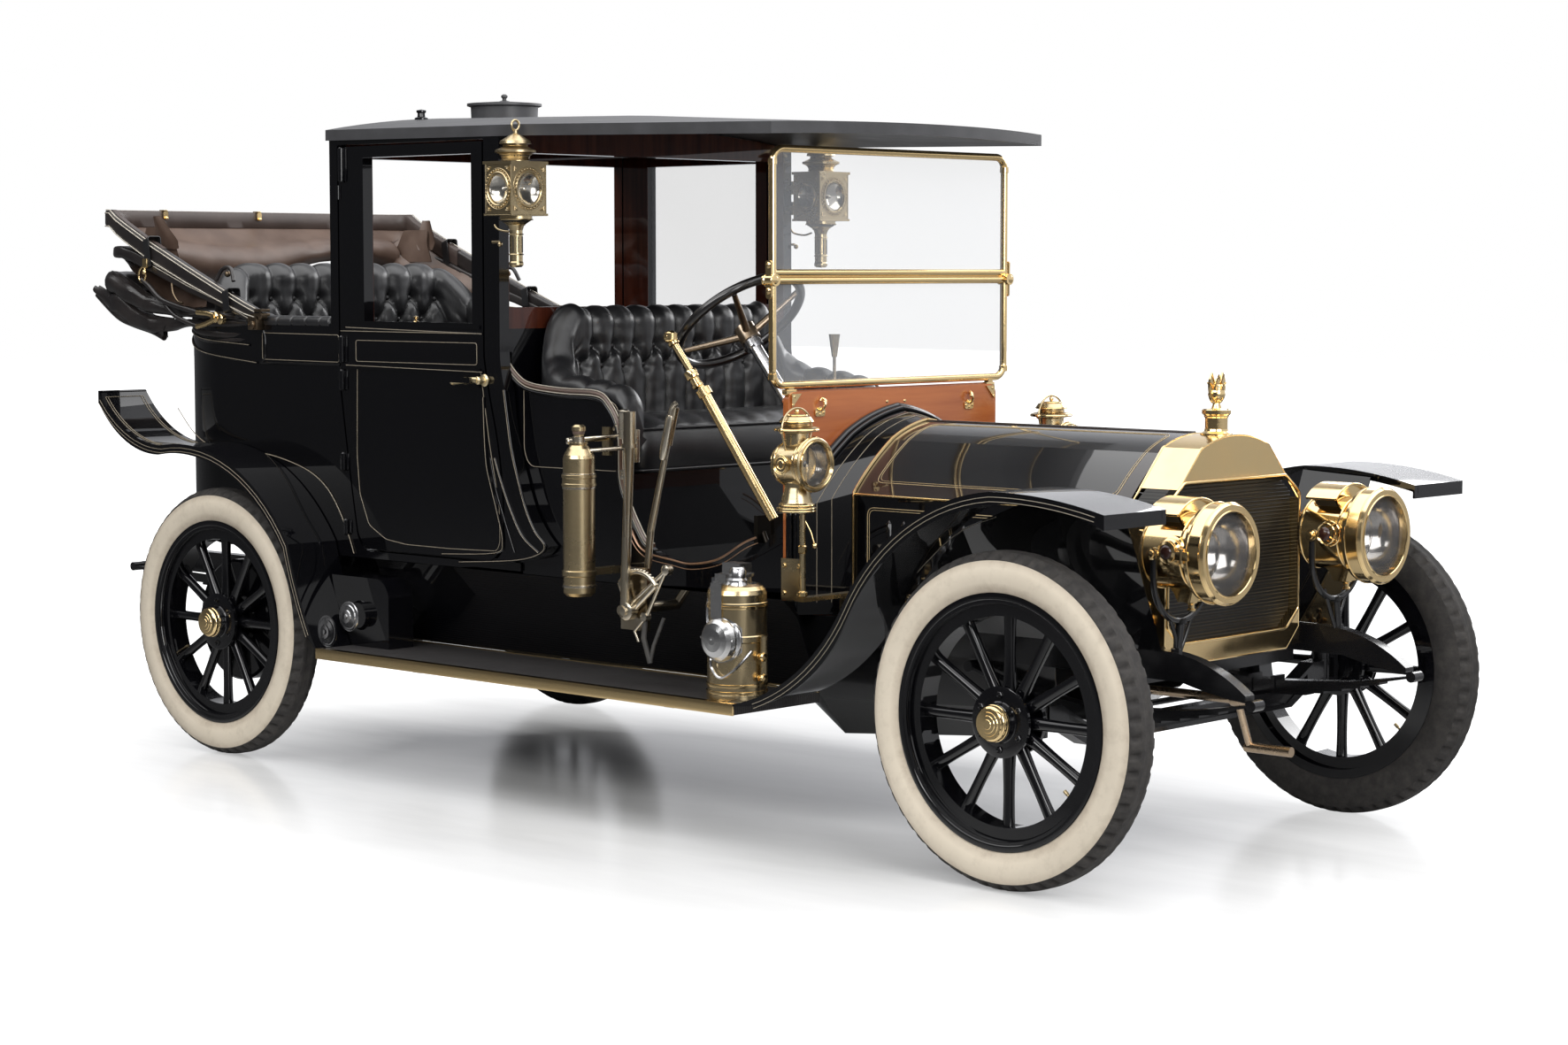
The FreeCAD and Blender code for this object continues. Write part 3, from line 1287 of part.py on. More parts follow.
def dash_lamps():
    """Oil lamps on round posts at the scuttle: flared foot, short barrel with its lens ring, flanged chimney, bail."""
    x, y, z = DASH_LAMP
    stand = turned_body("dash_lamp_stand", [
        (0, 916), (54, 916), (54, 928), (50, 931), (50, 938), (45, 942), (42, 952), (34, 985), (34, 1138),
        (46, 1142), (63, 1144), (63, 1152), (52, 1156), (34, 1159), (34, 1166), (47, 1168), (47, 1174),
        (40, 1184), (20, 1190), (0, 1192),
    ])
    place(stand, x, y, 0)
    barrel = turned_body("dash_lamp_barrel", [
        (0, -56), (44, -54), (58, -46), (62, -36), (62, 40), (67, 44), (67, 52), (72, 56), (76, 61), (76, 72),
        (72, 76), (65, 76), (62, 70), (62, 58), (50, 30), (0, 20),
    ])
    place(barrel, x, y, z, axis=(0, 1, 0), turn=90)
    bail = doc.addObject("Part::Torus", "dash_lamp_bail")
    bind(bail, Radius1=62, Radius2=3, Angle3=180)
    place(bail, x, y, 1146)
    bail.Placement.Rotation = Rotation(Vector(1, 1, 1), 120)
    pieces = [
        stand, bail, barrel,
        cylinder("lamp_side_plate", 26, 12, x, y - 67, z, "y"),
        rod("lamp_post", (x + 22, y, 664), (x + 22, y, 920), 9),
        box("lamp_post_plate", (x - 60, x + 20), (y, y + 6), (664, 782)),
        box("post_foot", (x + 4, x + 40), (y - 14, -366), (664, 676)),
        box("post_leg", (x + 4, x + 40), (-402, -366), (cell("rail_top"), 676)),
    ]
    for name, side in (("outer", -1), ("inner", 1)):
        pieces.append(rod(f"{name}_bail_leg", (x, y + side * 62, 1146), (x, y + side * 46, 1088), 3))
    return both_sides("dash_lamps", fuse("dash_lamp", pieces))


def lamp_glass():
    """Front glasses of the headlamps and dash lamps."""
    x, y, z = LAMP_AXIS
    front = cylinder("headlamp_glass", 109, 5, x + 374, y, z, "x")
    side = cylinder("dash_lamp_glass", 61, 4, DASH_LAMP[0] + 62, DASH_LAMP[1], DASH_LAMP[2], "x")
    return both_sides("lamp_glass", group("lamp_glasses_right", [front, side]))


# ---------------------------------------------------------------- fittings on the running board, controls


def gas_generator():
    """Acetylene generator: banded canister with a clamped lid, a round steel bell and a drain tube."""
    x, y = station(-1010), -740
    body = turned_body("generator_canister", [
        (0, 398), (86, 398), (86, 414), (84, 418), (84, 560), (86, 563), (86, 578), (84, 581), (84, 662), (86, 664),
        (86, 670), (84, 672), (84, 694), (80, 706), (72, 716), (60, 722), (42, 724), (42, 740), (48, 742), (48, 750), (0, 750),
    ])
    place(body, x, y, 0)
    bell = turned_body("generator_bell", [(0, 0), (62, 0), (62, 6), (58, 18), (48, 28), (32, 34), (12, 37), (0, 37)])
    place(bell, x + 12, y - 78, 570, axis=(1, 0, 0), turn=90)
    return fuse("gas_generator", [
        body, bell,
        box("generator_lid", (x - 34, x + 34), (y - 24, y + 24), (748, 779)),
        box("generator_strap", (x - 18, x + 24), (y - 88, y - 60), (630, 728)),
        box("generator_hasp", (x - 18, x + 24), (y - 70, y), (724, 752)),
        cylinder("generator_tube", 11, 126, x + 95, y + 8, 454),
        box("generator_tube_lug", (x + 78, x + 95), (y, y + 14), (500, 516)),
    ])


def brass_cylinder():
    """The upright brass cylinder on its bracket beside the driver."""
    x, y = station(-1630), -760
    body = turned_body("cylinder_shell", [
        (0, 642), (38, 642), (47, 652), (47, 700), (51, 703), (51, 716), (47, 719), (47, 962), (51, 965),
        (51, 972), (49, 974), (49, 988), (51, 990), (51, 998), (47, 1001), (47, 1046), (44, 1056), (34, 1074),
        (25, 1085), (27, 1087), (27, 1092), (15, 1093), (15, 1124), (21, 1126), (21, 1138), (14, 1144), (0, 1145),
    ])
    place(body, x, y, 0)
    return fuse("brass_cylinder", [
        body,
        rod("cylinder_arm", (x - 2, y + 8, 1098), (x - 39, -608, 1098), 8),
        box("cylinder_plate", (x - 54, x - 24), (-614, -605), (1046, 1130)),
        box("cylinder_strap", (x - 15, x + 15), (-720, -605), (700, 720)),
    ])


def driver_controls():
    """Brake and gear levers on their cross shaft, the telescopic brass stay and three pedals."""
    pieces = [
        rod("lever_shaft", (station(-1404), -404, 620), (station(-1404), -812, 620), 15),
        rod("brake_lever", (station(-1404), -796, 600), (station(-1380), -796, 1092), 14),
        cylinder("brake_collar", 23, 11, station(-1380), -796, 1088),
        rod("brake_grip", (station(-1380), -796, 1092), (station(-1380), -796, 1192), 18),
        rod("gear_lower", (station(-1404), -716, 620), (station(-1387), -706, 843), 11),
        rod("gear_middle", (station(-1387), -706, 843), (station(-1321), -700, 1101), 11, 9),
        rod("gear_grip", (station(-1323), -700, 1095), (station(-1294), -700, 1204), 14),
        box("lever_quadrant", (station(-1452), station(-1344)), (-764, -752), (560, 742)),
    ]
    stay_top, stay_foot = (station(-1409), -600, 1397), (station(-1104), -490, 880)
    collar = (station(-1318), -563, 1250)
    stay = fuse("stay", [
        rod("stay_upper", stay_top, collar, 10),
        rod("stay_lower", collar, stay_foot, 15),
        rod("stay_collar", collar, (station(-1306), -558, 1231), 22),
        cylinder("stay_knob", 20, 20, station(-1409), -600, 1392),
    ])
    pedals = []
    for name, y in (("clutch", 240), ("brake", 330), ("throttle", 400)):
        pedals.append(fuse(f"{name}_pedal", [
            box(f"{name}_pad", (station(-1240), station(-1226)), (-y - 28, -y + 28), (800, 880)),
            rod(f"{name}_stem", (station(-1230), -y, 830), (station(-1190), -y, 755), 8),
        ]))
    control = fuse("mixture_lever", [
        rod("mixture_stem", (station(-1200), -123, 720), (station(-1200), -123, 1340), 5),
        rod("mixture_grip", (station(-1200), -123, 1336), (station(-1200), -123, 1404), 8, 17),
    ])
    return group("driver_controls", [fuse("lever_set", pieces), stay, control, *pedals])


RAKE = math.radians(number(cell("steering_rake")))
WHEEL_CENTRE = (station(-1371), -350, 1443)


def down_the_column(distance):
    x, y, z = WHEEL_CENTRE
    return (x + distance * math.cos(RAKE), y, z - distance * math.sin(RAKE))


def steering_column():
    """The polished column, from below the hand wheel to a flange on the dash board."""
    reach = (number(station(-1087)) - number(WHEEL_CENTRE[0])) / math.cos(RAKE)
    return fuse("steering_column", [
        rod("column_tube", down_the_column(76), down_the_column(reach), 19),
        rod("column_collar", down_the_column(76), down_the_column(100), 27),
    ])


def steering_wheel():
    """Black rim on four bronze spokes that fall to a hub below the rim's plane."""
    rim = doc.addObject("Part::Torus", "hand_rim")
    bind(rim, Radius1=203, Radius2=14)
    pieces = [rim, cylinder("hand_hub", 32, 50, 0, 0, -75)]
    for i in range(4):
        angle = math.radians(45 + 90 * i)
        c, s = math.cos(angle), math.sin(angle)
        pieces.append(rod(f"hand_spoke_{i + 1}", (24 * c, 24 * s, -48), (198 * c, 198 * s, 0), 12, 8))
    made = fuse("steering_wheel", pieces)
    made.Placement = Placement(
        Vector(*[number(v) for v in WHEEL_CENTRE]),
        Rotation(Vector(0, 1, 0), -(90 - math.degrees(RAKE))),
    )
    made.setExpression("Placement.Base.x", WHEEL_CENTRE[0].text)
    return made


def crank_handle():
    """The starting crank, hanging below the radiator."""
    return fuse("crank_handle", [
        rod("crank_shaft", (station(-215), 0, 430), (station(180), 0, 430), 13),
        cylinder("crank_boss", 19, 30, station(150), 0, 430, "x"),
        rod("crank_arm", (station(165), 0, 430), (station(165), 62, 292), 10),
        rod("crank_grip", (station(152), 62, 292), (station(300), 62, 292), 14),
    ])


# ---------------------------------------------------------------- the whole car

SIDES = (("right", -1), ("left", 1))
sub_parts = [
    chassis_frame(), leaf_springs(), front_axle(), tie_rod(), rear_axle(), engine_block(), undertray(), exhaust(),
    radiator_shell(), radiator_core(), scuttle(), dash_board(), windscreen_frame(), windscreen_glass(),
    body_front(), front_seat(), cab_body(), roof(), ventilator(), rear_seat(), folded_hood(), hood_irons(),
    front_fenders(), rear_fenders(), running_boards(), splash_aprons(), tool_boxes(),
    headlamps(), lamp_brackets(), coach_lamps(), dash_lamps(), lamp_glass(),
    gas_generator(), brass_cylinder(), driver_controls(), steering_column(), steering_wheel(), crank_handle(),
    door_glass("door_glass_left", 1),
]
for name, side in SIDES:
    sub_parts += [
        door(f"door_{name}", side),
        bonnet_top(f"bonnet_top_{name}", side),
        bonnet_side(f"bonnet_side_{name}", side),
        knuckle(f"knuckle_{name}", side),
        wheel(f"wheel_front_{name}", FRONT_AXLE, side, drum=False),
        wheel(f"wheel_rear_{name}", REAR_AXLE, side, drum=True),
        tyre(f"tyre_front_{name}", FRONT_AXLE, side),
        tyre(f"tyre_rear_{name}", REAR_AXLE, side),
    ]

doc.recompute()
faults = [f"{o.Label}: {o.getStatusString()}" for o in doc.Objects if {"Invalid", "Error"} & set(o.State)]
faults += [f"{p.Label} has no valid shape" for p in sub_parts if p.Shape.isNull() or not p.Shape.isValid()]
if faults:
    raise SystemExit("\n".join(faults))

os.makedirs("parts", exist_ok=True)
for part in sub_parts:
    part.Shape.exportStep(f"parts/{part.Label}.step")
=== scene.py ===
import json
import math

import bmesh
import bpy
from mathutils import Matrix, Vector, noise


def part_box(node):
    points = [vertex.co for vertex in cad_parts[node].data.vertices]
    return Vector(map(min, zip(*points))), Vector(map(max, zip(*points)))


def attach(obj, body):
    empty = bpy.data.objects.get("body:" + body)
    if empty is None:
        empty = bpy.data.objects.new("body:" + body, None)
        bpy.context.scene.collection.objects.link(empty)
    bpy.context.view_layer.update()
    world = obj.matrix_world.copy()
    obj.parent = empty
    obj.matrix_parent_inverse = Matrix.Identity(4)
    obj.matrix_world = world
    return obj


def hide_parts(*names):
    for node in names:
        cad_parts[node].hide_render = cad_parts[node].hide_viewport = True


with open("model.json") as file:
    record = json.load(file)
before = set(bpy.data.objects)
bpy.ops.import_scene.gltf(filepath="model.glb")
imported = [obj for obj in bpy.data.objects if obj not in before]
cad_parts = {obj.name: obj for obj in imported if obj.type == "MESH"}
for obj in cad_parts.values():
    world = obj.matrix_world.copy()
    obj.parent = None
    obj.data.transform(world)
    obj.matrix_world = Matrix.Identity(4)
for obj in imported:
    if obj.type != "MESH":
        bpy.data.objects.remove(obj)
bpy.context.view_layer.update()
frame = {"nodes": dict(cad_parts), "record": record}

MM = 0.001
TAU = 2 * math.pi
ALONG, ACROSS, UP = Vector((1, 0, 0)), Vector((0, 1, 0)), Vector((0, 0, 1))
NODES = frame["nodes"]


def middle(node):
    low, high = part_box(node)
    return (low + high) / 2


FRONT_HUB = middle("tyre_front_right")
REAR_HUB = middle("tyre_rear_right")
FRONT_AXLE_X = FRONT_HUB.x
SIDES = (("right", -1), ("left", 1))


def at(station, y, z):
    """A place in millimetres: ahead of the front axle, left of the middle, above the ground."""
    return Vector((FRONT_AXLE_X + station * MM, y * MM, z * MM))


def off(base, x, y, z):
    """A place from another one, by so many millimetres along, across and up."""
    return base + Vector((x, y, z)) * MM


# ---------------------------------------------------------------- camera

camera_data = bpy.data.cameras.new("camera")
camera_data.lens = 70.12
camera_data.sensor_width = 36
camera_data.clip_end = 200
camera = bpy.data.objects.new("camera", camera_data)
camera.location = at(4871, -6869, 1595)
camera.rotation_euler = (math.radians(85.264), 0, math.radians(42.93))
scene = bpy.context.scene
scene.collection.objects.link(camera)
scene.camera = camera
scene.view_settings.view_transform = "Standard"

# ---------------------------------------------------------------- materials


class Term:
    """A shader value that takes ordinary arithmetic; & and | join masks of 0 and 1."""

    def __init__(self, owner, socket):
        self.owner = owner
        self.socket = socket

    def math(self, operation, *values):
        return self.owner.math(operation, self, *values)

    def __add__(self, other):
        return self.math("ADD", other)

    def __sub__(self, other):
        return self.math("SUBTRACT", other)

    def __rsub__(self, other):
        return self.owner.math("SUBTRACT", other, self)

    def __mul__(self, other):
        return self.math("MULTIPLY", other)

    __and__ = __mul__

    def __or__(self, other):
        return self.math("MAXIMUM", other)

    def __lt__(self, other):
        return self.math("LESS_THAN", other)

    def __gt__(self, other):
        return self.math("GREATER_THAN", other)

    def abs(self):
        return self.math("ABSOLUTE")

    def fract(self):
        return self.math("FRACT")

    def ramp(self, low, high):
        """0 below low, 1 above high, straight between."""
        return self.owner.node("ShaderNodeMapRange", Value=self, From_Min=low, From_Max=high).out("Result")


def distance(*gaps):
    """The straight distance whose parts along the axes are the gaps."""
    total = gaps[0] * gaps[0]
    for gap in gaps[1:]:
        total = total + gap * gap
    return total.math("SQRT")


class Made:
    """A shader node that has been made, with its outputs as terms."""

    def __init__(self, owner, node):
        self.owner = owner
        self.node = node

    def out(self, name=0):
        return Term(self.owner, self.node.outputs[name])


class Tree:
    """A tree of shader nodes. Values are numbers, colours or terms."""

    def __init__(self, tree):
        self.tree = tree

    def feed(self, entry, value):
        if isinstance(value, Term):
            self.tree.links.new(value.socket, entry)
        elif isinstance(value, tuple) and len(value) == 3 and entry.type == "RGBA":
            entry.default_value = (*value, 1)
        else:
            entry.default_value = value

    def node(self, kind, settings=None, **values):
        node = self.tree.nodes.new(kind)
        for name, value in (settings or {}).items():
            setattr(node, name, value)
        for name, value in values.items():
            self.feed(node.inputs[name.replace("_", " ")], value)
        return Made(self, node)

    def in_order(self, kind, settings, *values):
        """A node fed by the order of its inputs, where their names repeat."""
        made = self.node(kind, settings)
        for entry, value in zip(made.node.inputs, values):
            self.feed(entry, value)
        return made

    def math(self, operation, *values):
        return self.in_order("ShaderNodeMath", {"operation": operation}, *values).out()

    def mix(self, amount, a, b):
        """Colour a where amount is 0, b where it is 1."""
        node = self.node("ShaderNodeMix", {"data_type": "RGBA"}).node
        for entry, value in zip((node.inputs[0], node.inputs[6], node.inputs[7]), (amount, a, b)):
            self.feed(entry, value)
        return Term(self, node.outputs[2])

    def blend(self, amount, a, b):
        """Shader a where amount is 0, b where it is 1."""
        return self.in_order("ShaderNodeMixShader", None, amount, a, b).out()


class Paint(Tree):
    """One procedural material."""

    def __init__(self, name, base, **values):
        self.material = bpy.data.materials.new(name)
        self.material.use_nodes = True
        super().__init__(self.material.node_tree)
        self.shader = self.tree.nodes["Principled BSDF"]
        self.set(Base_Color=base, **values)

    def set(self, **values):
        for name, value in values.items():
            self.feed(self.shader.inputs[name.replace("_", " ")], value)
        return self

    def place(self):
        """Where the surface is, in the piece's own frame."""
        return self.node("ShaderNodeTexCoord").out("Object")

    def axes(self):
        parts = self.node("ShaderNodeSeparateXYZ", Vector=self.place())
        return parts.out("X"), parts.out("Y"), parts.out("Z")

    def stretched(self, factors):
        """The piece's own frame, stretched along each axis."""
        return self.in_order("ShaderNodeVectorMath", {"operation": "MULTIPLY"}, self.place(), factors).out()

    def noise(self, scale, detail=3.0, stretch=(1, 1, 1), roughness=0.55):
        return self.node("ShaderNodeTexNoise", Vector=self.stretched(stretch), Scale=scale, Detail=detail,
                         Roughness=roughness).out()

    def bump(self, height, strength=0.2, distance=0.001):
        self.set(Normal=self.node("ShaderNodeBump", Strength=strength, Distance=distance,
                                  Height=height).out("Normal"))
        return self


def lacquer(name, base, rough=0.03, dust=0.03):
    """Deep coach paint under clear varnish, with a faint unevenness of the polish."""
    paint = Paint(name, base, Roughness=0.4, Coat_Weight=1.0, Coat_Roughness=rough, Specular_IOR_Level=0.05)
    cloud = paint.noise(3.0, 4)
    tint = tuple(min(1, c * 1.6 + 0.001) for c in base)
    paint.set(Base_Color=paint.mix(cloud.ramp(0.35, 0.75), base, tint), Roughness=cloud * 0.15 + 0.3)
    return paint.bump(paint.noise(7, 2), dust, 0.002)


def metal(name, base, rough=0.15, tarnish=None, amount=0.3, scale=14.0):
    """Metal whose polish and colour vary with age."""
    paint = Paint(name, base, Metallic=1.0, Roughness=rough)
    cloud = paint.noise(scale, 6, roughness=0.65)
    if tarnish:
        paint.set(Base_Color=paint.mix(cloud.ramp(0.45, 0.75) * amount, base, tarnish))
    paint.set(Roughness=cloud.ramp(0.3, 0.8) * 0.14 + rough)
    return paint.bump(paint.noise(scale * 3, 2), 0.03, 0.001)


def leather(name, base, light, rough=0.42):
    """Leather with a fine grain and slightly worn high spots."""
    paint = Paint(name, base, Roughness=rough, Coat_Weight=0.25, Coat_Roughness=0.28)
    wear = paint.noise(7, 5)
    paint.set(Base_Color=paint.mix(wear.ramp(0.4, 0.8), base, light), Roughness=wear * 0.22 + rough - 0.11)
    grain = paint.node("ShaderNodeTexVoronoi", Vector=paint.place(), Scale=420.0).out("Distance")
    return paint.bump(grain + wear * 0.6, 0.16, 0.0006)


def wood(name, dark, light, along=(1, 0.08, 1), rough=0.25):
    """Varnished wood with its grain along one axis."""
    paint = Paint(name, dark, Roughness=rough, Coat_Weight=0.6, Coat_Roughness=0.12)
    grain = paint.noise(34, 6, along, 0.6)
    band = paint.noise(7, 2, along)
    paint.set(Base_Color=paint.mix((grain * 0.6 + band * 0.5).ramp(0.3, 0.8), dark, light))
    return paint.bump(grain, 0.05, 0.0008)


def matt(name, base, light, rough=0.6, scale=20.0):
    """A dull surface with cloudy wear."""
    paint = Paint(name, base, Roughness=rough)
    cloud = paint.noise(scale, 5)
    paint.set(Base_Color=paint.mix(cloud.ramp(0.35, 0.75), base, light), Roughness=cloud * 0.2 + rough - 0.1)
    return paint.bump(cloud, 0.08, 0.001)


BLACK = lacquer("black_lacquer", (0.0009, 0.0009, 0.0015), 0.025, 0.006)
ROOF_BLACK = matt("roof_cloth", (0.04, 0.04, 0.042), (0.058, 0.058, 0.062), 0.42, 9.0)
FRAME_BLACK = lacquer("frame_black", (0.004, 0.004, 0.0045), 0.14, 0.05)
STRIPE = matt("stripe_gold", (0.42, 0.31, 0.16), (0.5, 0.39, 0.22), 0.4, 60.0)
# Fine grey-gold lines: the pinstripes, and also painted highlights laid along the crowns of mouldings.
FINE_STRIPE_AND_HIGHLIGHT = matt("grey_gold_stripe_and_highlight", (0.2, 0.17, 0.125), (0.27, 0.23, 0.17), 0.4, 60.0)
BRASS = metal("polished_brass", (0.88, 0.66, 0.34), 0.09, (0.7, 0.46, 0.19), 0.3, 5.0)
AGED_BRASS = metal("aged_brass", (0.56, 0.45, 0.27), 0.22, (0.3, 0.23, 0.13), 0.6, 6.0)
NICKEL = metal("worn_nickel", (0.56, 0.51, 0.42), 0.2, (0.36, 0.28, 0.17), 0.5, 9.0)
SILVER = Paint("silvered_mirror", (0.3, 0.285, 0.27), Metallic=1.0, Roughness=0.15)
STEEL = metal("polished_steel", (0.52, 0.52, 0.53), 0.16, (0.3, 0.28, 0.26), 0.4, 16.0)
BRONZE = metal("dark_bronze", (0.2, 0.15, 0.1), 0.25, (0.09, 0.06, 0.04), 0.6, 20.0)
IRON = matt("cast_iron", (0.03, 0.03, 0.03), (0.06, 0.055, 0.05), 0.55)
MAHOGANY = wood("mahogany", (0.2, 0.043, 0.012), (0.42, 0.13, 0.035))
BLACK_LEATHER = leather("black_leather", (0.008, 0.008, 0.009), (0.02, 0.02, 0.021), 0.37)
BROWN_LEATHER = leather("brown_hood_leather", (0.08, 0.049, 0.035), (0.14, 0.093, 0.07), 0.5)
BOW_LEATHER = leather("bow_leather", (0.04, 0.026, 0.021), (0.065, 0.046, 0.039), 0.5)
DARK_LEATHER = leather("dark_hood_leather", (0.012, 0.010, 0.010), (0.03, 0.024, 0.022), 0.36)
COPPER = metal("copper_edging", (0.3, 0.19, 0.13), 0.28, (0.13, 0.07, 0.05), 0.7)


def glass(name, tint, alpha):
    """Clear glass with a faint haze."""
    paint = Paint(name, tint, Roughness=0.02, Alpha=alpha, IOR=1.45)
    haze = paint.noise(1.6, 2)
    return paint.set(Alpha=haze * 0.03 + alpha)


WINDOW = glass("window_glass", (0.62, 0.64, 0.67), 0.12)
LAMP_GLASS = glass("lamp_glass", (0.3, 0.3, 0.3), 0.06)


def tyre_paint():
    """Cream outer wall with some road dirt, dark tread and inner wall, for each wheel's own place."""
    paint = Paint("tyre_cream_and_black", (0.7, 0.64, 0.52), Roughness=0.7)
    x, y, z = paint.axes()
    hub_height = FRONT_HUB.z
    radius = None
    for hub in (FRONT_HUB, REAR_HUB):
        near = distance(x - hub.x, z - hub_height)
        radius = near if radius is None else radius.math("MINIMUM", near)
    dirt = paint.noise(26, 6, roughness=0.7)
    scuff = paint.noise(5, 4)
    smear = (dirt.ramp(0.5, 0.78) * 0.35 + scuff.ramp(0.45, 0.8) * 0.25)
    cream = paint.mix(smear, (0.66, 0.585, 0.47), (0.36, 0.30, 0.225))
    rim_dirt = (radius.ramp(0.36, 0.345) + radius.ramp(0.398, 0.415)).math("MINIMUM", 1.0)
    cream = paint.mix(rim_dirt * (dirt * 0.9) * 0.8, cream, (0.3, 0.235, 0.17))
    outer_side = y.abs() > abs(FRONT_HUB.y) + 0.012
    wall = outer_side & (radius < 0.4165)
    tread = paint.mix(dirt.ramp(0.4, 0.75), (0.021, 0.019, 0.018), (0.05, 0.045, 0.04))
    paint.set(Base_Color=paint.mix(wall, tread, cream), Roughness=0.82 - wall * 0.2)
    return paint.bump(dirt, 0.12, 0.001)


TYRE = tyre_paint()


def core_paint():
    """Fine honeycomb of the radiator, with painted shade in its cells."""
    paint = Paint("radiator_honeycomb", (0.01, 0.01, 0.01), Roughness=0.45, Metallic=0.4)
    rows_per_metre = 130
    _, y, z = paint.axes()
    across = (y * rows_per_metre).fract()
    up = (z * rows_per_metre).fract()
    wall = ((across - 0.5).abs() > 0.36) | ((up - 0.5).abs() > 0.3)
    # The cell middles are painted darker than their walls: painted shade inside the openings.
    paint.set(Base_Color=paint.mix(wall, (0.001, 0.001, 0.001), (0.02, 0.019, 0.017)))
    return paint.bump(wall, 0.9, 0.003)


def mat_paint():
    """Ribbed rubber of the running boards."""
    paint = Paint("ribbed_mat", (0.014, 0.013, 0.013), Roughness=0.55)
    ribs_per_metre = 125
    y = paint.axes()[1]
    rib = ((y * ribs_per_metre).fract() - 0.5).abs() * 2
    grime = paint.noise(12, 5)
    paint.set(Base_Color=paint.mix(rib.ramp(0.3, 0.8), (0.012, 0.011, 0.011), (0.03, 0.027, 0.026)),
              Roughness=grime * 0.3 + 0.4)
    return paint.bump(rib, 0.6, 0.0015)


CORE = core_paint()
MAT = mat_paint()

SLOT_PAINTS = {
    "frame_paint": FRAME_BLACK, "engine_iron": IRON, "exhaust_iron": IRON, "polished_brass": BRASS,
    "core_black": CORE, "black_lacquer": BLACK, "mahogany": MAHOGANY, "clear_glass": WINDOW,
    "black_leather": BLACK_LEATHER, "roof_black": ROOF_BLACK, "hood_leather": DARK_LEATHER,
    "aged_brass": AGED_BRASS, "board_rubber": MAT, "polished_steel": STEEL, "rim_black": BLACK,
    "wheel_black": BLACK, "tyre": TYRE,
}


def repaint(node, paint):
    materials = NODES[node].data.materials
    materials.clear()
    materials.append(paint.material)


for part in frame["record"]["subparts"]:
    repaint(part["node"], SLOT_PAINTS[part["material_slot"]])
repaint("lamp_glass", LAMP_GLASS)


# ---------------------------------------------------------------- mesh building


def basis(axis):
    """Two directions square to axis and to each other."""
    axis = Vector(axis).normalized()
    side = axis.cross(Vector((0, 0, 1)))
    if side.length < 0.05:
        side = Vector((0, 1, 0))
    side.normalize()
    return side, side.cross(axis).normalized()


def smooth_path(points, steps=6, closed=False):
    """A soft line through every point."""
    points = [Vector(p) for p in points]
    count = len(points)
    spans = count if closed else count - 1
    line = []
    for i in range(spans):
        if closed:
            a, b, c, d = (points[(i + k) % count] for k in (-1, 0, 1, 2))
        else:
            a, b, c, d = (points[min(max(i + k, 0), count - 1)] for k in (-1, 0, 1, 2))
        for k in range(steps):
            t = k / steps
            line.append(0.5 * (2 * b + (c - a) * t + (2 * a - 5 * b + 4 * c - d) * t * t
                               + (3 * b - a - 3 * c + d) * t ** 3))
    if not closed:
        line.append(points[-1])
    return line


def turns(count):
    """Evenly spaced angles once round."""
    return [TAU * i / count for i in range(count)]


def oval(centre, u, v, a, b, count=48):
    """Points round a centre, a along u and b along v."""
    return [centre + u * (a * math.cos(t)) + v * (b * math.sin(t)) for t in turns(count)]


def wire(*places):
    """A soft line through places in millimetres."""
    return smooth_path([at(*place) for place in places])


def rounded(points, radius, steps=5):
    """A closed flat outline with rounded corners; a point may carry its own radius as a third number."""
    line = []
    count = len(points)
    for i, point in enumerate(points):
        corner = Vector(point[:2])
        r = point[2] if len(point) > 2 else radius
        before, after = Vector(points[i - 1][:2]) - corner, Vector(points[(i + 1) % count][:2]) - corner
        reach = min(r, before.length * 0.49, after.length * 0.49)
        a, b = corner + before.normalized() * reach, corner + after.normalized() * reach
        for k in range(steps + 1):
            t = k / steps
            line.append(a * (1 - t) ** 2 + corner * 2 * t * (1 - t) + b * t * t)
    return line


ROUND = [(math.cos(TAU * i / 10), math.sin(TAU * i / 10)) for i in range(10)]
LINE = [(math.cos(TAU * i / 6), math.sin(TAU * i / 6)) for i in range(6)]


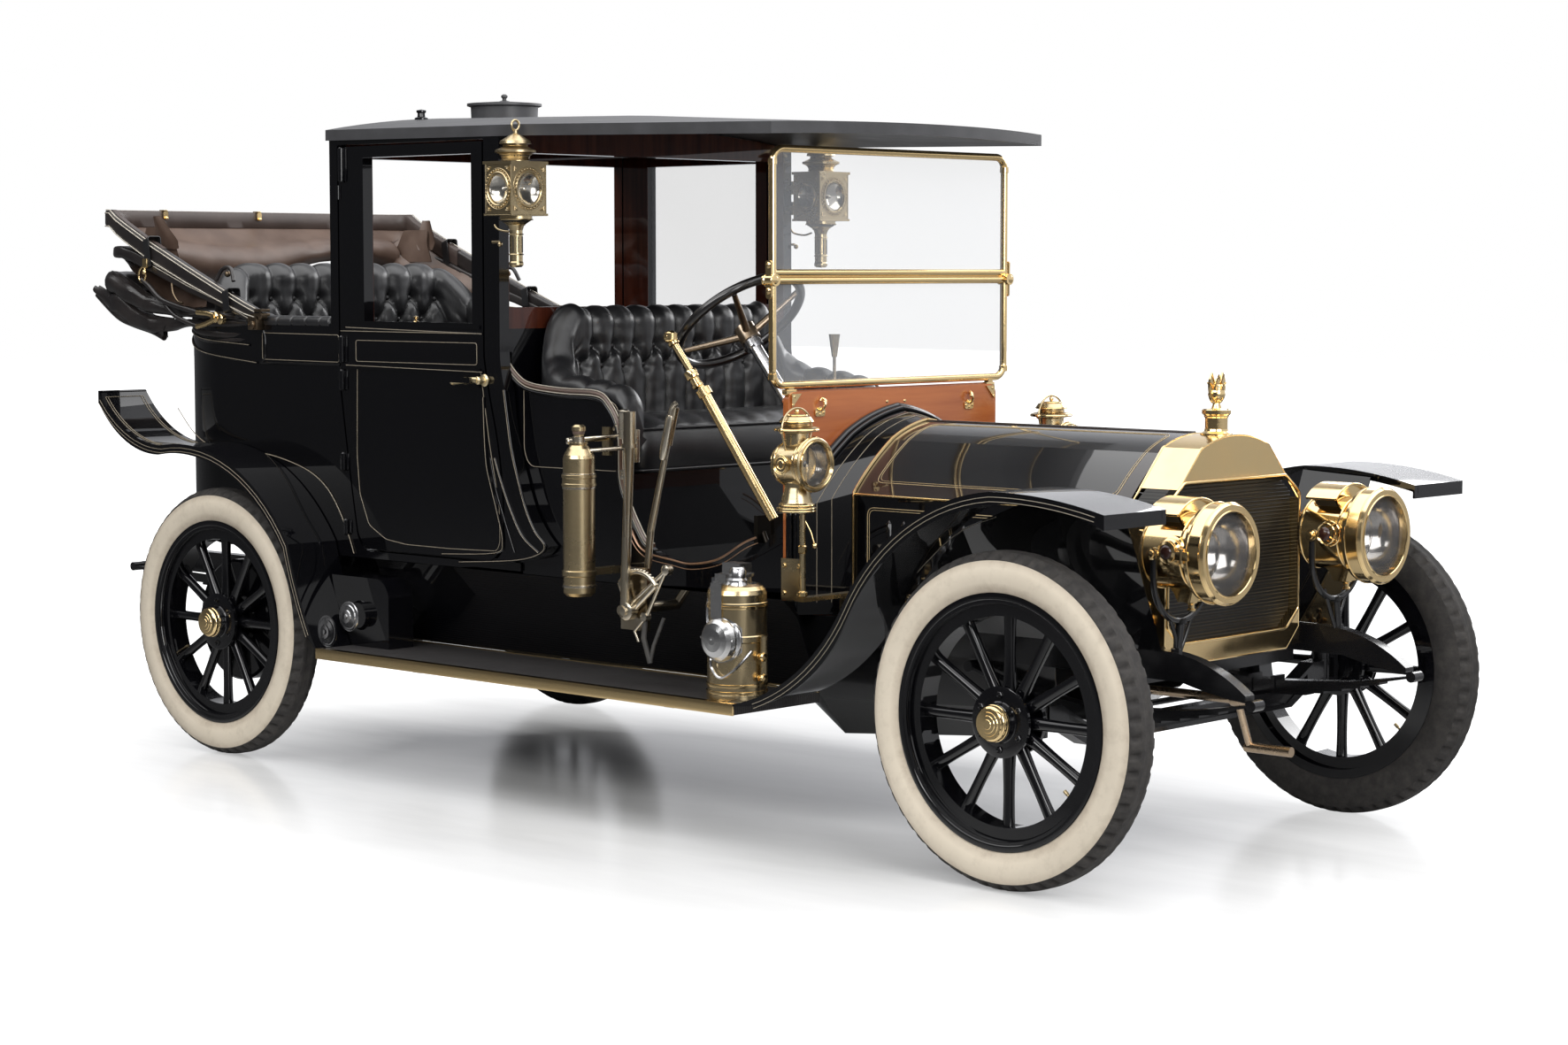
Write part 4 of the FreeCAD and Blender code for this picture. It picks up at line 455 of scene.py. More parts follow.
class Piece:
    """A mesh made of several shapes in the car's frame, riding on one body."""

    def __init__(self, name, paint, body="car", slot=None, sharp=38):
        self.name, self.paint, self.body, self.slot, self.sharp = name, paint, body, slot, sharp
        self.verts, self.faces = [], []

    def grid(self, rows, closed_rows=False, closed_columns=False):
        """A surface through rows of points."""
        start, width = len(self.verts), len(rows[0])
        for row in rows:
            self.verts.extend(Vector(p) for p in row)
        for i in range(len(rows) if closed_rows else len(rows) - 1):
            for j in range(width if closed_columns else width - 1):
                a, b = (i * width, ((i + 1) % len(rows)) * width)
                k = (j + 1) % width
                self.faces.append(tuple(start + v for v in (a + j, a + k, b + k, b + j)))
        return self

    def skin(self, rings):
        """A closed surface through rings, with both ends capped."""
        return self.grid(rings, closed_columns=True).cap(rings[0][::-1]).cap(rings[-1])

    def cap(self, ring):
        start = len(self.verts)
        self.verts.extend(Vector(p) for p in ring)
        self.faces.append(tuple(range(start, start + len(ring))))
        return self

    def tube(self, path, radius, section=ROUND, closed=False, up=None):
        """A bar along a path. radius is a number or one for each point; up holds a flat section steady."""
        path = [Vector(p) for p in path]
        count = len(path)
        rows = []
        side = None
        for i, point in enumerate(path):
            ahead = path[(i + 1) % count] if closed else path[min(i + 1, count - 1)]
            behind = path[i - 1] if closed else path[max(i - 1, 0)]
            run = (ahead - behind).normalized()
            if up is not None:
                side = run.cross(Vector(up)).normalized()
            elif side is None:
                side = basis(run)[0]
            else:
                side = (side - run * side.dot(run)).normalized()
            rise = side.cross(run)
            size = radius[i] if isinstance(radius, (list, tuple)) else radius
            rows.append([point + (side * u + rise * v) * size for u, v in section])
        return self.grid(rows, closed_rows=True, closed_columns=True) if closed else self.skin(rows)

    def hoop(self, centre, u, v, radius, thick, count):
        """A thin round wire in the plane of u and v, sizes in millimetres."""
        return self.tube(oval(centre, u, v, radius * MM, radius * MM, count), thick * MM, LINE, closed=True)

    def lathe(self, base, axis, profile, steps):
        """A turned shape: profile is (radius, distance along axis) in millimetres."""
        base, axis = Vector(base), Vector(axis).normalized()
        u, v = basis(axis)
        rows = []
        for i in range(steps):
            angle = TAU * i / steps
            out = u * math.cos(angle) + v * math.sin(angle)
            rows.append([base + axis * (z * MM) + out * (max(r, 0.02) * MM) for r, z in profile])
        return self.grid(rows, closed_rows=True)

    def ball(self, centre, radius, squash=1.0, axis=(0, 0, 1), steps=12):
        arc = [(radius * math.sin(math.pi * i / 8), -radius * squash * math.cos(math.pi * i / 8))
               for i in range(9)]
        return self.lathe(centre, axis, arc, steps)

    def block(self, low, high, bevel=0.0):
        """A box with its edges taken off."""
        low, high = Vector(low), Vector(high)
        bm = bmesh.new()
        bmesh.ops.create_cube(bm, size=1)
        for vert in bm.verts:
            vert.co = Vector(low[i] + (vert.co[i] + 0.5) * (high[i] - low[i]) for i in range(3))
        if bevel:
            bmesh.ops.bevel(bm, geom=bm.edges[:], offset=bevel, segments=2, affect="EDGES", profile=0.6)
        start = len(self.verts)
        bm.verts.index_update()
        self.verts.extend(vert.co.copy() for vert in bm.verts)
        self.faces.extend(tuple(start + vert.index for vert in face.verts) for face in bm.faces)
        bm.free()
        return self

    def plate(self, outline, depth, place, bevel=0.0):
        """A flat outline made thick: place(u, v, w) gives the point, w from 0 to depth."""
        count = len(outline)
        levels = [(0, 0), (0, depth)]
        if bevel:
            levels = [(bevel, 0), (0, bevel), (0, depth - bevel), (bevel, depth)]
        centre = sum((Vector(p) for p in outline), Vector((0, 0))) / count
        rings = []
        for inset, w in levels:
            ring = []
            for p in outline:
                p = Vector(p)
                away = p - centre
                p -= away.normalized() * min(inset, away.length * 0.5)
                ring.append(place(p.x, p.y, w))
            rings.append(ring)
        return self.skin(rings)

    def both(self, build):
        """Builds on the right, then again mirrored to the left."""
        for side in (-1, 1):
            build(self, side)
        return self

    def done(self, cad=()):
        """Makes the object, in place of the CAD nodes named."""
        mesh = bpy.data.meshes.new(self.name)
        mesh.from_pydata([tuple(v) for v in self.verts], [], self.faces)
        bm = bmesh.new()
        bm.from_mesh(mesh)
        bmesh.ops.remove_doubles(bm, verts=bm.verts, dist=0.00002)
        bmesh.ops.recalc_face_normals(bm, faces=bm.faces)
        bm.to_mesh(mesh)
        bm.free()
        mesh.polygons.foreach_set("use_smooth", [True] * len(mesh.polygons))
        mesh.set_sharp_from_angle(angle=math.radians(self.sharp))
        mesh.materials.append(self.paint.material)
        thing = bpy.data.objects.new(self.name, mesh)
        scene.collection.objects.link(thing)
        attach(thing, self.body)
        if cad:
            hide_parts(*cad)
        return thing


# ---------------------------------------------------------------- wheels

TREAD_STEPS = 360
STEPS_PER_LUG = 6


def tyre(name, hub, side, body, cad):
    """A round cover with a notched tread."""
    # radius, distance outboard, how far a notch cuts in
    wall = [(322, 41, 0), (334, 47, 0), (352, 54.5, 0), (378, 58, 0), (400, 56, 0), (414, 50.5, 0),
            (419, 49.5, 0),
            (421, 49, 4), (429, 40, 11), (436, 27, 11), (437.6, 24, 1), (439.5, 12, 0), (438, 9, 0),
            (437.8, 7, 0)]
    profile = wall + [(r, -w, cut) for r, w, cut in reversed(wall)]
    piece = Piece(name, TYRE, body, "tyre", sharp=50)
    rows = []
    for i in range(TREAD_STEPS):
        angle = TAU * i / TREAD_STEPS
        notch = i % STEPS_PER_LUG in (0, 1)
        out = Vector((math.cos(angle), 0, math.sin(angle)))
        rows.append([hub + out * ((r - notch * cut) * MM) + ACROSS * (side * w * MM) for r, w,
                     cut in profile])
    piece.grid(rows, closed_rows=True).done([cad])


def hub_fittings(name, hub, side, body, valve_angle):
    """Brass cap, nuts round it, tyre valve and the bead of the rim."""
    out = Vector((0, side, 0))
    cap = Piece(f"hub_cap_{name}", BRASS, body, "polished_brass")
    cap.lathe(hub, out, [
        (44, 60), (48.5, 61), (48.5, 66), (47, 67.5), (47.2, 77), (45, 80.5), (40.5, 83.5), (40, 87),
        (32, 87.5),
        (31, 89.5), (23, 90), (22, 91.5), (13, 92), (12, 93.4), (0, 93.6),
    ], 48).done()
    nuts = Piece(f"hub_nuts_{name}", BLACK, body, "wheel_black")
    for i in range(6):
        angle = TAU * (i + 0.5) / 6
        spot = hub + Vector((math.cos(angle), 0, math.sin(angle))) * 0.071
        nuts.lathe(spot, out, [(9.5, 37), (9.5, 44), (8, 45.5), (4, 45.5), (4, 50), (0, 51)], 6)
    nuts.lathe(hub, out, [(92, 36), (93, 38.5), (88, 40.5), (56, 40.5), (52, 44), (50, 58), (49, 60),
                          (46, 60)], 48)
    nuts.done()
    valve = Piece(f"tyre_valve_{name}", AGED_BRASS, body, "aged_brass")
    along = Vector((math.cos(valve_angle), 0, math.sin(valve_angle)))
    valve.lathe(hub + along * 0.277, -along,
                [(7, 0), (7, 3), (3.6, 4), (3.6, 22), (5.2, 23), (5.2, 36), (0, 38)], 12)
    valve.done()
    ring = Piece(f"rim_bead_{name}", BLACK, body, "wheel_black")
    ring.lathe(hub, out, [(333, 50.5), (327, 52), (318, 51), (314, 47), (307, 46), (304, 40), (304, 34)], 96)
    ring.done()


def wheels():
    for end, hub in (("front", FRONT_HUB), ("rear", REAR_HUB)):
        for word, side in SIDES:
            name, body = f"{end}_{word}", f"wheel_{end}_{word}"
            place = Vector((hub.x, -hub.y * side, hub.z))
            tyre(f"tyre_cover_{name}", place, side, body, f"tyre_{name}")
            hub_fittings(name, place, side, body, math.radians(-42 if end == "front" else 205))


wheels()

# ---------------------------------------------------------------- coachwork lines


def arc(a, via, b, steps=14):
    """Points from a to b on the circle through via; all are (along, up)."""
    ax, az, bx, bz, cx, cz = *a, *via, *b
    d = 2 * (ax * (bz - cz) + bx * (cz - az) + cx * (az - bz))
    a2, b2, c2 = ax * ax + az * az, bx * bx + bz * bz, cx * cx + cz * cz
    ox = (a2 * (bz - cz) + b2 * (cz - az) + c2 * (az - bz)) / d
    oz = (a2 * (cx - bx) + b2 * (ax - cx) + c2 * (bx - ax)) / d
    start, mid, end = (math.atan2(z - oz, x - ox) for x, z in (a, via, b))
    radius = math.hypot(ax - ox, az - oz)
    sweep, part = (end - start) % TAU, (mid - start) % TAU
    if part > sweep:
        sweep -= TAU
    return [(ox + radius * math.cos(start + sweep * i / steps),
             oz + radius * math.sin(start + sweep * i / steps))
            for i in range(steps + 1)]


def chain(start, *arcs):
    """A line of arcs: start, then (end, via) pairs."""
    line = [start]
    for end, via in arcs:
        line += arc(line[-1], via, end)[1:]
    return line


def inset(line, amount):
    """The same line moved sideways by amount, in its own plane."""
    moved = []
    for i, (x, z) in enumerate(line):
        ahead, behind = line[min(i + 1, len(line) - 1)], line[max(i - 1, 0)]
        run, rise = ahead[0] - behind[0], ahead[1] - behind[1]
        size = math.hypot(run, rise)
        moved.append((x + amount * rise / size, z - amount * run / size))
    return moved


FRONT_CROWN = chain((347, 992), ((-20, 1032), (170, 1024)), ((-524, 692), (-318, 922)),
                    ((-921, 400), (-690, 505)))
REAR_CROWN = chain((-3915, 1184), ((-3560, 1012), (-3752, 1054)), ((-2888, 722), (-3140, 944)),
                   ((-2754, 400), (-2826, 545)))


def fender_stripes():
    def build(piece, side):
        for line, way in ((FRONT_CROWN, -1), (REAR_CROWN, 1)):
            for depth in (13, 25):
                path = inset(line, way * depth)[1:-2]
                piece.tube([at(x, side * 850.4, z) for x, z in path], 0.001, LINE)
    Piece("fender_stripes", FINE_STRIPE_AND_HIGHLIGHT).both(build).done()


def flat_stripe(piece, corners, radius, y, thick=0.0011):
    """A closed line with round corners on an upright face."""
    piece.tube([at(x, y, z) for x, z in rounded(corners, radius)], thick, LINE, closed=True)


DOOR_LINE = [(-2772, 1284), (-2778, 1002), (-2766, 880), (-2722, 782), (-2640, 741), (-2540, 730),
             (-2330, 730),
             (-2112, 736), (-2097, 762), (-2100, 880), (-2143, 1069), (-2176, 1261), (-2180, 1284)]


def coach_stripes():
    for word, side in SIDES:
        door = Piece(f"door_stripes_{word}", FINE_STRIPE_AND_HIGHLIGHT, f"door_{word}")
        flat_stripe(door, [(-2778, 1303), (-2197, 1303), (-2197, 1370), (-2778, 1370)], 9, side * 652.6)
        flat_stripe(door, DOOR_LINE, 14, side * 652.6)
        door.tube([at(x, side * 657.4, 1399) for x in (-2848, -2184)], 0.0012, LINE)
        door.done()

    def build(piece, side):
        flat_stripe(piece, [(-3262, 1300), (-2864, 1298), (-2864, 1385), (-3262, 1387)], 9, side * 652.8)
        flat_stripe(piece, [(-2036, 1248), (-1990, 1243), (-1700, 1222), (-1628, 1196), (-1618, 1150),
                            (-1618, 1000),
                            (-2010, 998), (-2036, 1040)], 26, side * 605.6)
    Piece("body_stripes", FINE_STRIPE_AND_HIGHLIGHT).both(build).done()


fender_stripes()
coach_stripes()


def board_edges():
    """Brass angle round each running board."""
    low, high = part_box("running_boards")
    top = 398 * MM

    def build(piece, side):
        # inner edge, outer edge, underside, top
        for y0, y1, z0, z1 in ((-0.006, 0.0015, -0.031, 0.0025), (-0.022, -0.004, -0.001, 0.0025),
                               (-0.358, -0.347, -0.001, 0.003)):
            near, away = sorted((side * (high.y + y0), side * (high.y + y1)))
            piece.block((low.x - 0.002, near, top + z0), (high.x + 0.002, away, top + z1), 0.0008)
    Piece("board_brass_edges", BRASS, slot="polished_brass").both(build).done()


board_edges()

# ---------------------------------------------------------------- bonnet, radiator, dash and windscreen


def arch(half, shoulder, crown, grow=0.0, steps=12):
    """Half of the bonnet's section from its shoulder to its crown, as (across, up), moved outward by grow."""
    rise = crown - shoulder
    knots = [(half, shoulder), (half * 0.78, shoulder + rise * 0.37), (half * 0.48, shoulder + rise * 0.75),
             (half * 0.25, shoulder + rise * 0.91), (0, crown)]
    line = arc(knots[0], knots[1], knots[2], steps) + arc(knots[2], knots[3], knots[4], steps)[1:]
    return inset(line, grow)


def along_line(line, distance):
    """The point at a distance along a line of (a, b) points, and past its ends if need be."""
    for (a, b), (c, d) in zip(line, line[1:]):
        size = math.hypot(c - a, d - b)
        if distance <= size or (c, d) == line[-1]:
            share = distance / size
            return a + (c - a) * share, b + (d - b) * share
        distance -= size


def length_of(line):
    return sum(math.hypot(c - a, d - b) for (a, b), (c, d) in zip(line, line[1:]))


def divided(corners, most):
    """A flat outline with points added so that no run is longer than most."""
    points = []
    for i, corner in enumerate(corners):
        a, b = Vector(corner), Vector(corners[(i + 1) % len(corners)])
        parts = max(1, math.ceil((b - a).length / most))
        points += [a.lerp(b, k / parts) for k in range(parts)]
    return points


BONNET_FRONT, BONNET_REAR = 15, -938
SHOULDER, CROWN = 955, 1150


def on_bonnet(x, s, side, grow=1.0):
    """A place on the bonnet's roof: x along the car, s from the side hinge up."""
    share = (x - BONNET_REAR) / (BONNET_FRONT - BONNET_REAR)
    y, z = along_line(arch(320 - 3 * share, SHOULDER, CROWN, grow), s)
    return at(x, side * y, z)


def bonnet_trim():
    """Stripes, side hinge, louvres and latches of each half of the bonnet."""
    reach = length_of(arch(320, SHOULDER, CROWN))
    for word, side in SIDES:
        stripes = Piece(f"bonnet_stripes_{word}", STRIPE, f"bonnet_{word}")
        for edge, thick in ((50, 0.0009), (57, 0.0006)):
            corners = [(BONNET_REAR + edge, edge - 8), (BONNET_FRONT - edge, edge - 8),
                       (BONNET_FRONT - edge, reach - edge + 14), (BONNET_REAR + edge, reach - edge + 14)]
            path = divided(rounded(corners, 26), 24)
            stripes.tube([on_bonnet(x, s, side, 0.7) for x, s in path], thick, LINE, closed=True)
        stripes.done()
        hinge = Piece(f"bonnet_side_hinge_{word}", BRASS, "car", "polished_brass")
        hinge.tube([at(BONNET_REAR, side * 322, 951.5), at(BONNET_FRONT, side * 319.5, 951.5)], 0.0034)
        hinge.done()
        side_panel = Piece(f"bonnet_side_trim_{word}", STRIPE, f"bonnet_flap_{word}")
        corners = [(BONNET_REAR + 44, 668), (BONNET_FRONT - 44, 668), (BONNET_FRONT - 44, 916),
                   (BONNET_REAR + 44, 916)]
        flat_stripe(side_panel, corners, 26, side * 320.6)
        flat_stripe(side_panel, [(x + (7 if x < -400 else -7), z + (7 if z < 800 else -7)) for x,
                                 z in corners], 20,
                    side * 320.6, 0.0008)
        side_panel.done()
        louvres = Piece(f"bonnet_louvres_{word}", BLACK, f"bonnet_flap_{word}", "black_lacquer")
        for i in range(14):
            x = -812 + i * 55
            rows = []
            for k in range(9):
                angle = math.pi * k / 8
                rows.append([at(x + 9 * math.cos(angle) * w, side * (320.2 + 7 * math.sin(angle) * w), z)
                             for z, w in ((700, 0), (712, 1), (872, 1), (884, 0))])
            louvres.grid(rows)
        louvres.done()
        flap_latches = Piece(f"bonnet_latches_{word}", BRASS, f"bonnet_flap_{word}", "polished_brass")
        for x in (-180, -750):
            flap_latches.lathe(at(x, side * 320, 646), (0, side, 0),
                               [(11, 0), (11, 3), (6, 5), (5, 12), (9, 15), (0, 17)], 16)
        flap_latches.done()


BAND = Paint("bonnet_bands", (0.002, 0.002, 0.003), Roughness=0.35, Coat_Weight=1.0, Coat_Roughness=0.025,
             Specular_IOR_Level=0.2)


def bonnet_paint():
    """Black with a maroon border inside the pinstripes' edge."""
    x, y, z = BAND.axes()
    front, rear = at(BONNET_FRONT, 0, 0).x, at(BONNET_REAR, 0, 0).x
    band = (x > front - 0.05) | (x < rear + 0.05) | (y.abs() < 0.044) | (z < 0.991)
    cloud = BAND.noise(5, 4)
    maroon = BAND.mix(cloud, (0.006, 0.0026, 0.0022), (0.011, 0.0046, 0.0036))
    BAND.set(Base_Color=BAND.mix(band, (0.0018, 0.0018, 0.0026), maroon))
    BAND.bump(BAND.noise(7, 2), 0.03, 0.002)
    for word, _ in SIDES:
        repaint(f"bonnet_top_{word}", BAND)


def scuttle_trim():
    """Brass strip at the bonnet's rear edge, black rim at the dash, and the fine lines between."""
    strip = Piece("bonnet_rear_strip", BRASS, slot="polished_brass")
    for side in (-1, 1):
        upright = [(320, 628), (320, 800), (320, 940)]
        section = [(-1.6, -0.2), (-1.6, 0.3), (-1.1, 0.55), (1.1, 0.55), (1.6, 0.3), (1.6, -0.2)]
        line = inset(upright + arch(320, SHOULDER, CROWN), 1.2)
        strip.tube([at(-943, side * y, z) for y, z in line], 0.0052, section, up=ALONG)
        strip.tube([at(-943, side * 322, 629), at(BONNET_FRONT, side * 319, 629)], 0.0032)
    strip.done()
    rim = Piece("scuttle_rim", BLACK, slot="black_lacquer")
    for side in (-1, 1):
        upright = [(470, 612), (470, 760), (470, 890)]
        line = upright + arch(470, 905, 1189)
        rim.tube([at(-1058, side * y, z) for y, z in inset(line, 2)], 0.011)
        rim.tube([at(-1040, side * y, z) for y, z in inset(line, -2)], 0.006)
    rim.done()
    stripes = Piece("scuttle_stripes", FINE_STRIPE_AND_HIGHLIGHT)
    for side in (-1, 1):
        for x, share in ((-1012, 0.57), (-985, 0.345)):
            half, shoulder, crown = 320 + 150 * share, 955 - 50 * share, 1150 + 39 * share
            path = [(half, 640), (half, 760), (half, shoulder - 20)] + arch(half, shoulder, crown)
            stripes.tube([at(x, side * y, z) for y, z in inset(path, 0.9)], 0.0011, LINE)
    stripes.done()


def radiator_trim():
    """Rolled edges of the shell, its side fittings, the filler neck and the rows of the core."""
    beads = Piece("radiator_beads", BRASS, slot="polished_brass")
    core = [(-250, 602), (250, 602), (308, 652), (308, 979), (238, 1030), (-238, 1030), (-308, 979),
            (-308, 652)]
    beads.tube([at(151, y, z) for y, z in rounded(core, 8, 3)], 0.0045, closed=True)
    top = arc((160, 1118), (0, 1150), (-160, 1118), 16)
    outer = [(-258, 545), (258, 545), (317, 602), (317, 955)] + top + [(-317, 955), (-317, 602)]
    for x, drop, thick in ((147.5, 1.5, 0.0034), (24, 1, 0.0032)):
        path = [(y * (1 - drop / 317), z + (drop if z < 700 else -drop)) for y, z in outer]
        beads.tube([at(x, y, z) for y, z in path], thick, LINE, closed=True)
    for side in (-1, 1):
        for z in (640, 900):
            beads.lathe(at(70, side * 317, z), (0, side, 0), [(9, -1), (9, 2), (7, 4), (0, 4.5)], 6)
        beads.block(at(50, side * 318, 612), at(108, side * 334, 626), 0.002)
        beads.block(at(72, side * 318, 626), at(86, side * 340, 700), 0.003)
        beads.lathe(at(79, side * 340, 664), (0, side, 0),
                    [(12, -4), (12, 4), (7, 6), (7, 18), (11, 21), (11, 27), (0, 29)], 16)
        beads.ball(at(79, side * 337, 706), 9)
    beads.lathe(at(85, 0, 1150), UP, [(44, -2), (44, 2), (38, 5), (33, 8), (31.5, 14)], 32)
    beads.lathe(at(85, 0, 1200), UP, [(31.6, -6), (34, -3), (34, 0), (39.6, 5), (39.8, 15), (37, 17)], 32)
    beads.done()
    vanes = Piece("radiator_rows", CORE, slot="core_black")
    for i in range(42):
        z = 606 + i * 10.1
        reach = min(307, 250 + (z - 602) * 1.16, 307 - max(0, z - 979) * 1.35)
        vanes.tube([at(120.6, -reach, z), at(120.6, reach, z)], 0.0018, LINE)
    vanes.done()


def finial():
    """A plain bud of upright leaves on the filler cap."""
    bud = Piece("filler_finial", BRASS, slot="polished_brass")
    top = at(85, 0, 0)
    bud.lathe(top, UP, [
        (15, 1218), (11, 1224), (9, 1232), (12, 1238), (21, 1246), (24, 1256), (22, 1268), (15, 1282),
        (9, 1296), (0, 1302),
    ], 28)
    for ring, (count, foot, reach, base,
               tip) in enumerate(((6, 18, 12, 1240, 1290), (5, 12, 10, 1252, 1312))):
        for i in range(count):
            angle = TAU * (i + 0.5 * ring) / count
            out, across = (Vector((math.cos(angle), math.sin(angle), 0)),
                           Vector((-math.sin(angle), math.cos(angle), 0)))
            rows = []
            for k in range(9):
                t = k / 8
                wide = (9.5 * math.sin(math.pi * min(1, 0.16 + t * 0.86)) ** 0.8) * MM
                lean = (foot + reach * t * t) * MM
                height = (base + (tip - base) * t) * MM
                rows.append([top + out * (lean - abs(w) * 0.0022) + across * wide * w + Vector((0, 0, height))
                             for w in (-1, -0.5, 0, 0.5, 1)])
            inner = [[p - out * 0.0022 for p in row] for row in rows]
            bud.grid(rows).grid(inner)
            edge = [row[0] for row in rows] + [row[-1] for row in reversed(rows)]
            back = [row[0] for row in inner] + [row[-1] for row in reversed(inner)]
            bud.grid([edge, back], closed_columns=True)
    bud.done()


def screen_fittings():
    """Hinge links, clamps and knobs of the windscreen, its feet, and the bar across the glass."""
    metalwork = Piece("windscreen_fittings", BRASS, slot="polished_brass")
    x, half, split = -1078, 522, 1574

    def build(piece, side):
        y = side * (half + 9)
        link = rounded([(-10, -62), (10, -62), (12, 46), (-12, 46)], 8)
        piece.plate(link, 0.006, lambda u, v,
                    w: at(x, y + side * (2 + w * 1000), 0) + Vector((u * MM, 0, (v + split) * MM)),
                    0.001)
        for z, size in ((1534, 9), (1607, 9)):
            piece.lathe(at(x, y + side * 6, z), (0, side, 0),
                        [(size, -4), (size, 3), (size * 0.6, 5), (0, 6)], 12)
        piece.lathe(at(x - 24, y, 1565), ALONG, [
            (0, 0), (11, 1), (17.6, 5), (17.6, 11), (14, 14), (10, 16), (10, 30), (15, 33), (17.6, 36),
            (17.6, 42), (10, 46),
            (0, 47),
        ], 20)
        for z in (1290, 1900):
            piece.lathe(at(x, side * half, z), UP, [(11.2, -9), (13.4, -8), (13.4, 8), (11.2, 9)], 20)
        piece.block(at(x - 9, side * 432, 1238), at(x + 9, side * 470, 1250), 0.002)
        gusset = [(side * 459, 1200), (side * 459, 1240), (side * 419, 1240)]
        piece.plate(gusset, 0.004, lambda u, v, w: at(-1063.5, u, v) + Vector((w, 0, 0)))
        for y2, z in ((side * 449, 1232), (side * 455, 1208)):
            piece.lathe(at(-1059.5, y2, z), ALONG, [(5, 0), (4, 2), (0, 2.4)], 10)
    metalwork.both(build)
    metalwork.tube([at(x, -half + 10, split), at(x, half - 10, split)], 0.0035)
    metalwork.done()


def dash_fittings():
    """Hook latches and screws on the board, and its moulded upper edge."""
    latches = Piece("dash_latches", BRASS, slot="polished_brass")

    def build(piece, side):
        y = side * 338
        leaf = rounded([(-20, -14), (20, -14), (22, 6), (8, 14), (-8, 14), (-22, 6)], 7)
        piece.plate(leaf, 0.0035, lambda u, v, w: at(-1064.5, y + u, 1186 + v) + Vector((w, 0, 0)), 0.001)
        for u, z in ((-15, 1183), (15, 1183), (0, 1178)):
            piece.lathe(at(-1061, y + u, z), ALONG, [(4.6, 0), (3.8, 2), (0, 2.6)], 10)
        hook = [(-1059, y, 1190), (-1050, y, 1196), (-1044, y - side * 4, 1207), (-1047, y - side * 6, 1219),
                (-1056, y - side * 4, 1224), (-1060, y, 1217)]
        piece.tube(wire(*hook), 0.0042)
        piece.ball(at(-1048, y - side * 5, 1213), 7)
        piece.lathe(at(-1064.5, side * 444, 1222), ALONG, [(6, 0), (5, 2), (0, 3)], 12)
        piece.lathe(at(-1064.5, side * 40, 1206), ALONG, [(5, 0), (4, 2), (0, 2.6)], 12)
    latches.both(build).done()
    edge = Piece("dash_moulding", MAHOGANY, slot="mahogany")
    line = rounded([(-469, 1216), (-440, 1245), (440, 1245), (469, 1216)], 10, 4)
    edge.tube([at(-1088, y, z) for y, z in line], 0.0045)
    edge.done()


bonnet_trim()
bonnet_paint()
scuttle_trim()
radiator_trim()
finial()
screen_fittings()
dash_fittings()

# ---------------------------------------------------------------- lamps

JEWEL = lacquer("dark_jewel", (0.02, 0.006, 0.004), 0.02)
DARK = matt("lamp_black", (0.006, 0.005, 0.004), (0.014, 0.012, 0.01), 0.6)


